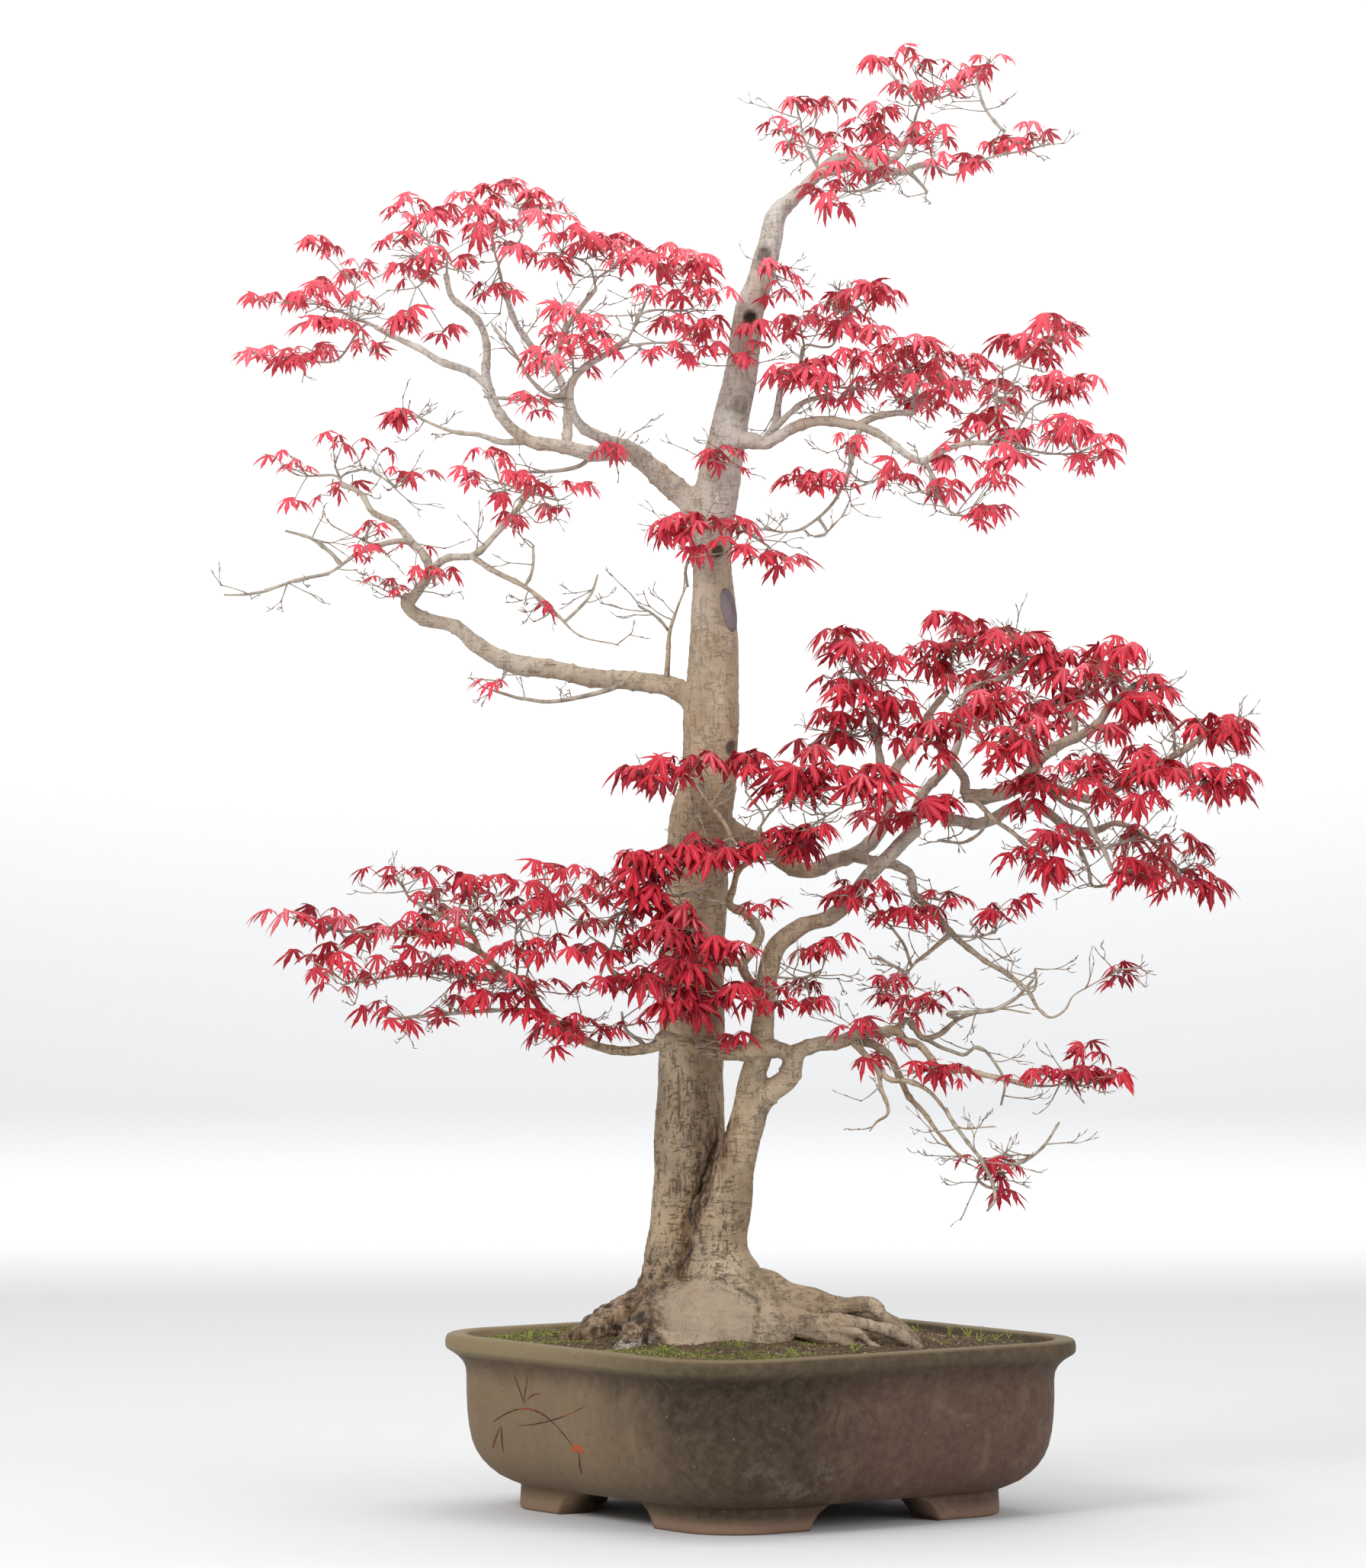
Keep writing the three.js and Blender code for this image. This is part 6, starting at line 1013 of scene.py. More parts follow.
def strands(start: Array, middle: Array, end: Array, thick: Array, thin: Array, rings: int,
            sides: int) -> tuple[Array, list]:
    """Many thin stalks at once, each bent along start (1-t)^2 + 2 middle t (1-t) + end t^2.

    Args:
        start, middle, end: n x 3 arrays of the control points.
        thick, thin: radii at the start and the end, one for each stalk.
        rings: rings along each stalk.
        sides: points round each ring.

    Returns:
        The points and the faces; a stalk ends in a point.
    """
    t = np.linspace(0, 1, rings)[None, :, None]
    centre = start[:, None] * (1 - t) ** 2 + 2 * middle[:, None] * t * (1 - t) + end[:, None] * t**2
    along = unit(np.gradient(centre, axis=1))
    guide = np.array([0.31, -0.45, 0.84])
    across = unit(guide - (along @ guide)[..., None] * along)
    third = np.cross(along, across)
    angle = np.linspace(0, 2 * math.pi, sides, endpoint=False)
    radius = thick[:, None, None, None] * (1 - t[..., None]) + thin[:, None, None, None] * t[..., None]
    spokes = (np.cos(angle)[:, None] * across[:, :, None] + np.sin(angle)[:, None] * third[:, :, None])
    rim = centre[:, :, None] + radius * spokes
    count = len(start)
    tips = end[:, None] + along[:, -1:] * thin[:, None, None]
    points = np.concatenate([rim.reshape(count, -1, 3), tips], axis=1)
    step = np.arange(count)[:, None, None] * (rings * sides + 1)
    quads = (ring_faces(rings, sides)[None] + step).reshape(-1, 4)
    caps = (fan_faces((rings - 1) * sides, sides, rings * sides, False)[None] + step).reshape(-1, 3)
    return points.reshape(-1, 3), [quads, caps]


def nearest_on(paths: list, spots: Array) -> tuple[Array, Array]:
    """The nearest place on a set of paths to each spot.

    Args:
        paths: arrays of rows x, y, z, radius.
        spots: n x 3 array.

    Returns:
        The places with their radii as n x 4 rows, and the direction of the path there.
    """
    low = np.concatenate([path[:-1] for path in paths])
    high = np.concatenate([path[1:] for path in paths])
    span = high - low
    length = np.maximum((span[:, :3] ** 2).sum(axis=1), 1e-9)
    share = np.clip(((spots[:, None] - low[None, :, :3]) * span[None, :, :3]).sum(axis=2) / length, 0, 1)
    place = low[None] + share[..., None] * span[None]
    best = np.linalg.norm(place[..., :3] - spots[:, None], axis=2).argmin(axis=1)
    rows = np.arange(len(spots))
    return place[rows, best], unit(span[best, :3])


class Value:
    """A number socket of a material, with the operators that the finishes use."""

    def __init__(self, shader: "Shader", socket: bpy.types.NodeSocket) -> None:
        """Wraps a socket."""
        self.shader = shader
        self.socket = socket

    def math(self, operation: str, *others: "Value | float", first: bool = True) -> "Value":
        """Adds a Math node on this socket and the others.

        Args:
            operation: the node's operation.
            others: the other operands.
            first: whether this value is the first operand.

        Returns:
            The node's result.
        """
        inputs = [self, *others] if first else [*others, self]
        node = self.shader.node("ShaderNodeMath", {"operation": operation}, dict(enumerate(inputs)))
        return Value(self.shader, node.outputs[0])

    def __add__(self, other: "Value | float") -> "Value":
        """Adds."""
        return self.math("ADD", other)

    __radd__ = __add__

    def __sub__(self, other: "Value | float") -> "Value":
        """Subtracts."""
        return self.math("SUBTRACT", other)

    def __rsub__(self, other: "Value | float") -> "Value":
        """Subtracts this from a number."""
        return self.math("SUBTRACT", other, first=False)

    def __mul__(self, other: "Value | float") -> "Value":
        """Multiplies."""
        return self.math("MULTIPLY", other)

    __rmul__ = __mul__

    def ramp(self, low: float, high: float) -> "Value":
        """A smooth step from 0 at low to 1 at high; low may be the larger.

        Args:
            low: value that gives 0.
            high: value that gives 1.

        Returns:
            The step.
        """
        settings = {"interpolation_type": "SMOOTHSTEP", "clamp": True}
        inputs = {"Value": self, "From Min": low, "From Max": high, "To Min": 0.0, "To Max": 1.0}
        return Value(self.shader, self.shader.node("ShaderNodeMapRange", settings, inputs).outputs["Result"])


class Shader:
    """A material and the few ways in which the finishes build its nodes."""

    def __init__(self, name: str, roughness: float = 0.6) -> None:
        """Makes an empty material with one Principled shader.

        Args:
            name: the material's name.
            roughness: used where no finish sets one.
        """
        self.material = bpy.data.materials.new(name)
        self.material.use_nodes = True
        self.tree = self.material.node_tree
        self.tree.nodes.clear()
        output = self.tree.nodes.new("ShaderNodeOutputMaterial")
        self.surface = self.tree.nodes.new("ShaderNodeBsdfPrincipled")
        self.surface.inputs["Roughness"].default_value = roughness
        self.tree.links.new(self.surface.outputs[0], output.inputs["Surface"])

    def node(self, kind: str, settings: dict, inputs: dict) -> bpy.types.Node:
        """Adds a node: its settings first, then the values or links of its sockets.

        Args:
            kind: the node's type.
            settings: its properties.
            inputs: socket name or number to value, Value or socket.

        Returns:
            The node.
        """
        node = self.tree.nodes.new(kind)
        for key, value in settings.items():
            setattr(node, key, value)
        for key, value in inputs.items():
            socket = node.inputs[key]
            if isinstance(value, Value):
                value = value.socket
            if isinstance(value, bpy.types.NodeSocket):
                self.tree.links.new(value, socket)
            elif isinstance(value, tuple) and len(value) == 3 and socket.type == "RGBA":
                socket.default_value = (*value, 1.0)
            else:
                socket.default_value = value
        return node

    def place(self, scale: tuple = (1, 1, 1), turn: float = 0.0) -> bpy.types.NodeSocket:
        """Object coordinates in metres from the pot's centre, scaled and turned about the upright axis.

        Args:
            scale: factor for each axis.
            turn: angle in radians.

        Returns:
            The coordinates' socket.
        """
        source = self.node("ShaderNodeTexCoord", {}, {}).outputs["Object"]
        centred = self.node("ShaderNodeMapping", {}, {"Vector": source, "Location": tuple(-POT_CENTRE)})
        turned = self.node("ShaderNodeMapping", {}, {
            "Vector": centred.outputs[0], "Rotation": (0.0, 0.0, turn), "Scale": scale})
        return turned.outputs[0]

    def axis(self, name: str) -> Value:
        """One of the object coordinates X, Y, Z in metres from the pot's centre."""
        node = self.node("ShaderNodeSeparateXYZ", {}, {0: self.place()})
        return Value(self, node.outputs[name])

    def noise(self, scale: float, detail: float = 3.0, stretch: tuple = (1, 1, 1), rough: float = 0.55,
              twist: float = 0.0) -> Value:
        """Cloudy noise from 0 to 1 with so many lumps to the metre.

        Args:
            scale: lumps to the metre.
            detail: number of finer layers.
            stretch: factor for each axis.
            rough: weight of the finer layers.
            twist: how far the pattern is warped.

        Returns:
            The noise.
        """
        inputs = {"Vector": self.place(stretch), "Scale": scale, "Detail": detail, "Roughness": rough,
                  "Distortion": twist}
        return Value(self, self.node("ShaderNodeTexNoise", {}, inputs).outputs[0])

    def cells(self, scale: float, stretch: tuple = (1, 1, 1)) -> Value:
        """Distance within cells, so many to the metre."""
        inputs = {"Vector": self.place(stretch), "Scale": scale}
        return Value(self, self.node("ShaderNodeTexVoronoi", {}, inputs).outputs["Distance"])

    def mark(self, name: str) -> Value:
        """A point attribute of the piece."""
        node = self.node("ShaderNodeAttribute", {"attribute_name": name}, {})
        return Value(self, node.outputs["Fac"])

    def mix(self, share: Value | float, low: "tuple | bpy.types.NodeSocket",
            high: "tuple | bpy.types.NodeSocket") -> bpy.types.NodeSocket:
        """Mixes two colours.

        Args:
            share: 0 gives low and 1 gives high.
            low: first colour.
            high: second colour.

        Returns:
            The mixed colour's socket.
        """
        settings = {"data_type": "RGBA", "clamp_factor": True}
        node = self.node("ShaderNodeMix", settings, {0: share, 6: low, 7: high})
        return node.outputs[2]

    def finish(self, colour: bpy.types.NodeSocket, roughness: Value | float | None = None,
               relief: Value | None = None, depth: float = 0.001,
               strength: float = 0.6) -> bpy.types.Material:
        """Connects the colour, the roughness and the relief, in metres, and returns the material.

        Args:
            colour: the base colour.
            roughness: a value, a number or None to keep it.
            relief: height of the bump, or None.
            depth: bump distance in metres.
            strength: bump strength.

        Returns:
            The material.
        """
        self.tree.links.new(colour, self.surface.inputs["Base Color"])
        if isinstance(roughness, Value):
            self.tree.links.new(roughness.socket, self.surface.inputs["Roughness"])
        elif roughness is not None:
            self.surface.inputs["Roughness"].default_value = roughness
        if relief is not None:
            inputs = {"Height": relief, "Distance": depth, "Strength": strength}
            bump = self.node("ShaderNodeBump", {}, inputs)
            self.tree.links.new(bump.outputs[0], self.surface.inputs["Normal"])
        return self.material


@dataclass(frozen=True)
class ClayFinish:
    """Unglazed mottled clay: olive grey, rusty on one side, darker at the near corner, paler lip, with
    painted shade under the lip.
    """

    olive: tuple = (0.17, 0.115, 0.066)
    rust: tuple = (0.088, 0.046, 0.034)
    umber: tuple = (0.03, 0.018, 0.01)
    lip: tuple = (0.215, 0.165, 0.088)
    lime: tuple = (0.23, 0.195, 0.14)
    foot: tuple = (0.24, 0.145, 0.1)

    def material(self) -> bpy.types.Material:
        """Builds the material.

        Returns:
            The material.
        """
        s = Shader("fired_clay")
        side, height = s.axis("X"), s.axis("Z")
        cloud = s.noise(9, 5, rough=0.62, twist=0.4)
        stain = s.noise(26, 5, rough=0.7, twist=0.6)
        fine = s.noise(160, 4, rough=0.7)
        colour = s.mix((side + (cloud - 0.5) * 0.2).ramp(-0.06, 0.04), self.olive, self.rust)
        colour = s.mix(stain.ramp(0.48, 0.7) * 0.5, colour, (0.2, 0.14, 0.085))
        colour = s.mix(cloud.ramp(0.45, 0.3) * 0.3, colour, (0.1, 0.085, 0.045))
        # Darker at the near corner; the share that grows towards the lip is painted shade under the lip
        corner = (side + (stain - 0.5) * 0.08 + 0.015).math("ABSOLUTE").ramp(0.11, 0.02)
        colour = s.mix(corner * (0.6 + 0.3 * stain + 0.35 * height.ramp(0.03, 0.095)), colour, self.umber)
        # Painted shadow line just under the lip
        shade = (height + (stain - 0.5) * 0.03).ramp(0.082, 0.1) * height.ramp(0.1062, 0.1)
        colour = s.mix(shade * 0.55, colour, self.umber)
        bloom = s.noise(34, 6, rough=0.78).ramp(0.5, 0.66)
        bloom = bloom * height.ramp(0.056, 0.034) * height.ramp(0.014, 0.026)
        gate = (side - 0.01).math("ABSOLUTE").ramp(0.09, 0.03) * s.noise(16, 2).ramp(0.38, 0.55)
        colour = s.mix(bloom * gate * 0.4, colour, self.lime)
        dull = s.mix(side.ramp(-0.17, -0.02) * (0.6 + 0.4 * stain), self.lip, self.umber)
        lip = s.mix(height.ramp(0.113, 0.115) * 0.75, dull, self.lip)
        colour = s.mix(height.ramp(0.1005, 0.105) * 0.9, colour, lip)
        colour = s.mix(height.ramp(0.012, 0.003) * 0.85, colour, self.foot)
        colour = s.mix((fine - 0.5).ramp(-0.2, 0.3) * 0.16, colour, (0.3, 0.24, 0.17))
        spots = s.cells(150).ramp(0.16, 0.06) * s.noise(40, 2).ramp(0.5, 0.62)
        colour = s.mix(spots * 0.7, colour, (0.045, 0.03, 0.02))
        chips = s.cells(230, (1, 1, 0.7)).ramp(0.13, 0.05) * s.noise(55, 2).ramp(0.52, 0.64)
        colour = s.mix(chips * 0.6, colour, (0.36, 0.31, 0.24))
        s.surface.inputs["Specular IOR Level"].default_value = 0.18
        grain = s.noise(900, 3, rough=0.8)
        relief = fine * 0.4 + grain * 0.35 + s.cells(420).ramp(0.0, 0.25) * 0.25
        return s.finish(colour, 0.62 + (cloud - 0.5) * 0.25, relief, 0.0007, 0.5)


@dataclass(frozen=True)
class IncisedFinish:
    """The bottom of the incised lines, stained with rust."""

    dark: tuple = (0.035, 0.014, 0.006)
    rust: tuple = (0.33, 0.065, 0.02)

    def material(self) -> bpy.types.Material:
        """Builds the material.

        Returns:
            The material.
        """
        s = Shader("incised_line")
        stain = s.mark("stain").math("MAXIMUM", s.noise(70, 3).ramp(0.5, 0.68) * 0.6)
        return s.finish(s.mix(stain, self.dark, self.rust), 0.8, s.noise(900, 2), 0.0004, 0.4)


@dataclass(frozen=True)
class EarthFinish:
    """Brown earth grown over with patches of moss."""

    brown: tuple = (0.19, 0.115, 0.055)
    dark: tuple = (0.05, 0.03, 0.015)
    moss: tuple = (0.115, 0.115, 0.024)
    bright: tuple = (0.19, 0.225, 0.032)

    def material(self) -> bpy.types.Material:
        """Builds the material.

        Returns:
            The material.
        """
        s = Shader("mossy_earth")
        clods = s.noise(330, 5, rough=0.75)
        colour = s.mix(clods.ramp(0.35, 0.68), self.dark, self.brown)
        patches = s.mark("moss") * s.noise(420, 4, rough=0.8).ramp(0.36, 0.55)
        green = s.mix(s.noise(60, 4).ramp(0.4, 0.65), self.moss, self.bright)
        colour = s.mix(patches, colour, green)
        grit = s.cells(520).ramp(0.22, 0.1) * s.noise(90, 2).ramp(0.5, 0.7)
        colour = s.mix(grit * 0.6, colour, (0.36, 0.28, 0.17))
        return s.finish(colour, 0.95, clods + s.cells(700) * 0.4, 0.003, 0.9)


@dataclass(frozen=True)
class MossFinish:
    """Tufts of moss and tiny weeds, from olive to bright green."""

    def material(self) -> bpy.types.Material:
        """Builds the material.

        Returns:
            The material.
        """
        s = Shader("moss_tufts")
        tone = s.mark("tone")
        colour = s.mix(tone.ramp(0.0, 0.6), (0.06, 0.055, 0.015), (0.19, 0.2, 0.03))
        colour = s.mix(tone.ramp(0.6, 1.0), colour, (0.34, 0.38, 0.07))
        return s.finish(colour, 0.8)


@dataclass(frozen=True)
class LitterFinish:
    """Dry straw-coloured chips and brown crumbs on the soil."""

    def material(self) -> bpy.types.Material:
        """Builds the material.

        Returns:
            The material.
        """
        s = Shader("dry_litter")
        colour = s.mix(s.mark("tone"), (0.1, 0.055, 0.025), (0.52, 0.42, 0.24))
        return s.finish(colour, 0.85)


@dataclass(frozen=True)
class BarkFinish:
    """Maple bark: warm tan with brown fissures low down, whitish higher up, olive where young, with painted
    shade in its hollows and on the main trunk's right side.
    """

    tan: tuple = (0.32, 0.22, 0.128)
    fawn: tuple = (0.46, 0.355, 0.235)
    brown: tuple = (0.085, 0.045, 0.02)
    white: tuple = (0.56, 0.53, 0.485)
    grey: tuple = (0.24, 0.195, 0.145)
    olive: tuple = (0.25, 0.215, 0.105)
    worn: tuple = (0.32, 0.25, 0.185)
    deep: tuple = (0.022, 0.013, 0.008)

    def material(self) -> bpy.types.Material:
        """Builds the material from the piece's marks: pale, olive, worn, crack, the corky-bark mark, which
        also holds painted shade on the main trunk's right side, and dark, which is painted shade in hollows.

        Returns:
            The material.
        """
        s = Shader("maple_bark")
        broad = s.noise(24, 4, (1, 1, 0.5), 0.6)
        blotch = s.noise(75, 4, (1, 1, 0.6), 0.65, 0.3)
        streak = s.noise(240, 4, (1, 1, 0.16), 0.65)
        colour = s.mix(broad.ramp(0.36, 0.64), self.tan, self.fawn)
        colour = s.mix(blotch.ramp(0.48, 0.68) * 0.55, colour, self.grey)
        colour = s.mix(s.mark("pale") * (0.5 + 0.5 * broad.ramp(0.4, 0.6)), colour, self.white)
        colour = s.mix(s.mark("olive") * 0.8, colour, self.olive)
        colour = s.mix(streak.ramp(0.52, 0.72) * 0.35, colour, self.grey)
        worn = s.mark("worn")
        colour = s.mix(worn * 0.6, colour, self.worn)
        crack = s.mark("crack")
        upright = s.noise(430, 3, (1, 1, 0.26), 0.6, 0.6).ramp(0.54, 0.62)
        level = s.noise(420, 3, (0.32, 0.32, 1.3), 0.6, 0.4).ramp(0.56, 0.63)
        gate = s.noise(110, 3, (1, 1, 0.7), 0.6).ramp(0.38, 0.54)
        chain = s.noise(150, 2, (1, 1, 0.08)).ramp(0.42, 0.56)
        ticks = (upright * (0.35 + 0.65 * chain) + level * 0.8).math("MINIMUM", 1.0) * gate
        cracks = (ticks * crack).math("MINIMUM", 1.0)
        colour = s.mix(cracks * 0.92, colour, self.brown)
        speck = s.cells(420, (1, 1, 0.6)).ramp(0.26, 0.1) * s.noise(60, 2).ramp(0.46, 0.62)
        colour = s.mix(speck * 0.6, colour, self.brown)
        ripple = s.noise(170, 4, (0.35, 0.35, 1.6), 0.6, 0.6)
        colour = s.mix(ripple.ramp(0.56, 0.68) * (0.22 + 0.35 * worn), colour, self.grey)
        cork = s.mark("cork")
        # Corky brown, partly painted shade on the main trunk's right side
        colour = s.mix(cork * (0.55 + 0.45 * streak.ramp(0.4, 0.55)), colour, (0.15, 0.08, 0.036))
        colour = s.mix(cork * s.noise(300, 3, (1, 1, 0.4), 0.7).ramp(0.52, 0.6) * 0.8, colour, self.deep)
        # Painted shade from the dark mark: in the cork's pits, the dome's folds and edge groove, the crevice
        # and the scars' hollows
        colour = s.mix(s.mark("dark"), colour, self.deep)
        relief = broad * 0.4 + blotch * 0.5 + streak * 0.3 - cracks * 0.9
        relief = relief + ripple * 0.45 + s.noise(900, 3) * 0.2
        return s.finish(colour, 0.8 + (streak - 0.5) * 0.2, relief, 0.0022, 0.85)


@dataclass(frozen=True)
class TwigFinish:
    """Fine grey-beige twigs with darker joints."""

    def material(self) -> bpy.types.Material:
        """Builds the material from the piece's marks: pale and bud.

        Returns:
            The material.
        """
        s = Shader("fine_twigs")
        blotch = s.noise(170, 3)
        colour = s.mix(blotch.ramp(0.35, 0.65), (0.22, 0.18, 0.135), (0.42, 0.365, 0.29))
        colour = s.mix(s.mark("pale") * 0.4, colour, (0.42, 0.4, 0.37))
        colour = s.mix(s.mark("bud") * 0.85, colour, (0.16, 0.05, 0.03))
        return s.finish(colour, 0.7, s.noise(700, 2), 0.0004, 0.5)


@dataclass(frozen=True)
class LeafFinish:
    """Thin crimson leaves with pale midribs, some washed with pink."""

    deep: tuple = (0.29, 0.008, 0.02)
    crimson: tuple = (0.5, 0.012, 0.028)
    scarlet: tuple = (0.68, 0.034, 0.066)
    pink: tuple = (0.82, 0.27, 0.32)

    def material(self) -> bpy.types.Material:
        """Builds the material from the leaf marks: tone, across, along, stripe and stalk.

        Returns:
            The material.
        """
        s = Shader("maple_leaf", 0.5)
        tone, across = s.mark("tone"), s.mark("across")
        colour = s.mix(tone.ramp(0.0, 0.5), self.deep, self.crimson)
        colour = s.mix(tone.ramp(0.45, 1.0), colour, self.scarlet)
        blotch = s.noise(260, 3)
        colour = s.mix(blotch.ramp(0.5, 0.75) * 0.3, colour, self.scarlet)
        rib = across.ramp(0.16, 0.02) * s.mark("along").ramp(1.0, 0.5)
        colour = s.mix(rib * (0.35 + 0.3 * tone), colour, self.pink)
        colour = s.mix(s.axis("Z").ramp(0.5, 0.8) * 0.12, colour, self.pink)
        stripe = s.mark("stripe") * across.ramp(0.75, 0.25)
        colour = s.mix(stripe * 0.55, colour, self.pink)
        colour = s.mix(across.ramp(0.75, 1.0) * 0.25, colour, self.deep)
        colour = s.mix(s.mark("stalk") * 0.8, colour, (0.36, 0.1, 0.085))
        s.surface.inputs["Specular IOR Level"].default_value = 0.22
        relief = across.ramp(0.3, 0.0) + blotch * 0.3
        return s.finish(colour, 0.55 + (blotch - 0.5) * 0.2, relief, 0.0004, 0.5)


@dataclass(frozen=True)
class NettingFinish:
    """Black drain mesh with a fine moulded grain."""

    def material(self) -> bpy.types.Material:
        """Builds the material.

        Returns:
            The material.
        """
        s = Shader("drain_mesh")
        grain = s.noise(800, 3)
        return s.finish(s.mix(grain, (0.012, 0.012, 0.013), (0.03, 0.03, 0.032)), 0.55, grain, 0.0003, 0.4)


def dress(piece: bpy.types.Object, material: bpy.types.Material, slot: str, *nodes: str) -> bpy.types.Object:
    """Gives a piece its material and its body, and hides the nodes that it stands for.

    Args:
        piece: the finished mesh object.
        material: its material.
        slot: the record's material slot; not used.
        nodes: the CAD nodes that it replaces.

    Returns:
        The piece.
    """
    piece.data.materials.clear()
    piece.data.materials.append(material)
    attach(piece, "root")
    if nodes:
        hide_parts(*nodes)
    LOG.info("%s: %d faces", piece.name, len(piece.data.polygons))
    return piece


def applied(piece: bpy.types.Object) -> bpy.types.Object:
    """Bakes a piece's modifiers into its mesh.

    Args:
        piece: the object, changed in place.

    Returns:
        The same object.
    """
    graph = bpy.context.evaluated_depsgraph_get()
    graph.update()
    mesh = bpy.data.meshes.new_from_object(piece.evaluated_get(graph))
    old = piece.data
    piece.modifiers.clear()
    piece.data = mesh
    bpy.data.meshes.remove(old)
    mesh.name = piece.name
    return piece


@dataclass
class Pot:
    """The clay pot: a square bowl with round corners, a flat lip, a cove under it and corner feet."""

    turn: float = POT_TURN
    foot_height: float = 17.5
    foot_half: float = 125.0
    foot_corner: float = 42.0
    foot_width: float = 27.0
    gap_low: float = 52.5
    gap_high: float = 34.5
    drain_radius: float = 12.0
    drain_reach: float = 48.0
    corner_steps: int = 20
    side_steps: int = 26
    outer: tuple = ((16, 122, 46), (16.6, 127.5, 50), (19, 133, 54), (22.5, 138.6, 54.6), (27, 143, 55),
                    (32, 146.8, 55.6), (38, 149.8, 56), (45, 151.9, 56), (54, 153.3, 56), (64, 154.1, 56),
                    (76, 154.5, 56), (88, 154.5, 56), (93, 155, 56.3), (97, 156.6, 57), (100.5, 159.2, 57.8),
                    (103, 162, 58.6), (104.4, 164, 59.5), (105.4, 165.1, 60), (107, 165.6, 60),
                    (110, 165.7, 60),
                    (112.6, 165.4, 60), (114.2, 164.6, 59.6), (115, 163, 59), (115.1, 160, 57.6))
    inner: tuple = ((115.1, 156, 54), (114.8, 153.6, 51), (113.6, 152.4, 49), (111, 151.4, 47),
                    (104, 147, 45),
                    (96, 142, 44), (80, 141.7, 44), (56, 140.5, 44), (44, 137.5, 44), (34, 131, 43),
                    (30, 124, 42),
                    (29, 118, 40), (29, 90, 30), (29, 45, 15), (29, 4, 1.3))

    def outline(self, half: Array, corner: Array) -> Array:
        """Points of rounded squares, evenly spaced round each corner and along each side.

        Args:
            half: half side of each square.
            corner: corner radius of each square.

        Returns:
            An array of squares x points x 2.
        """
        bend = np.linspace(0, math.pi / 2, self.corner_steps + 1)
        run = np.linspace(0, 1, self.side_steps + 1)[1:-1]
        parts = []
        for quarter in range(4):
            spin = quarter * math.pi / 2
            middle = (half - corner)[:, None]
            x = middle + corner[:, None] * np.cos(bend)
            y = middle + corner[:, None] * np.sin(bend)
            side_x = middle * (1 - 2 * run)[None]
            side_y = np.repeat(half[:, None], len(run), axis=1)
            x, y = np.concatenate([x, side_x], axis=1), np.concatenate([y, side_y], axis=1)
            angle = spin + self.turn
            parts.append(np.stack([x * math.cos(angle) - y * math.sin(angle),
                                   x * math.sin(angle) + y * math.cos(angle)], axis=-1))
        return np.concatenate(parts, axis=1)

    def bowl(self) -> MeshBag:
        """The bowl as one closed skin: the profile from the underside's middle round the lip to the floor.

        Returns:
            The bowl's mesh, with its caps.
        """
        base = ((16, 4, 1.3), (16, 60, 22), (16, 105, 40))
        rows = np.array(base + self.outer + self.inner, float)
        flat = self.outline(rows[:, 1], rows[:, 2])
        height = np.repeat(rows[:, :1], flat.shape[1], axis=1)
        points = np.concatenate([flat, height[..., None]], axis=-1)
        wave = lattice_noise(points, 60, 3.0) * 0.5 + lattice_noise(points, 14, 5.0) * 0.14
        outward = unit(points * np.array([1, 1, 0]))
        points = points + outward * wave[..., None] * (rows[:, 0] > 17)[:, None, None]
        rings, sides = points.shape[:2]
        bag = MeshBag("pot_bowl")
        quads = ring_faces(rings, sides)
        last = (rings - 1) * sides
        bag.add(points.reshape(-1, 3), [quads, np.arange(sides)[None, ::-1], (last + np.arange(sides))[None]])
        return bag

    def feet(self) -> MeshBag:
        """Four corner feet that follow the outline, with ends that slant outwards to the bottom.

        Across a foot, the profile runs down its outer face, under it and up its inner face; along it,
        the arc reaches to the gap's half width at that height.

        Returns:
            The four feet.
        """
        bag = MeshBag("pot_feet")
        soft = 1.6
        levels = np.array([self.foot_height + 2.5, self.foot_height, 14, 10, 6, soft * 1.2, soft * 0.35, 0, 0,
                           soft * 0.35, soft * 1.2, 10, self.foot_height + 2.5])
        inset = np.array([1.4, 1.0, 0.8, 0.6, 0.4, 0.2, 0.7, 2.2, self.foot_width - 2.2,
                          self.foot_width - 0.7,
                          self.foot_width, self.foot_width, self.foot_width])
        gap = self.gap_low + (self.gap_high - self.gap_low) * np.clip(levels / self.foot_height, 0, 1) ** 2
        steps = 48
        for quarter in range(4):
            half = self.foot_half - inset
            corner = np.maximum(self.foot_corner - inset, 6.0)
            straight = half - corner - gap
            arc = corner * math.pi / 2
            total = 2 * straight + arc
            share = np.linspace(0, 1, steps)[None]
            at = share * total[:, None]
            angle = np.clip((at - straight[:, None]) / corner[:, None], 0, math.pi / 2)
            first = np.minimum(at - straight[:, None], 0)
            last = np.maximum(at - straight[:, None] - arc[:, None], 0)
            middle = (half - corner)[:, None]
            x = middle + corner[:, None] * np.cos(angle) - last
            y = middle + corner[:, None] * np.sin(angle) + first
            turn = quarter * math.pi / 2 + self.turn
            points = np.stack([x * math.cos(turn) - y * math.sin(turn),
                               x * math.sin(turn) + y * math.cos(turn),
                               np.repeat(levels[:, None], steps, axis=1)], axis=-1)
            points = points.transpose(1, 0, 2)
            rings, sides = points.shape[:2]
            tail = (rings - 1) * sides
            bag.add(points.reshape(-1, 3), [
                ring_faces(rings, sides)[:, ::-1], np.arange(sides)[None],
                (tail + np.arange(sides))[None, ::-1]])
        return bag

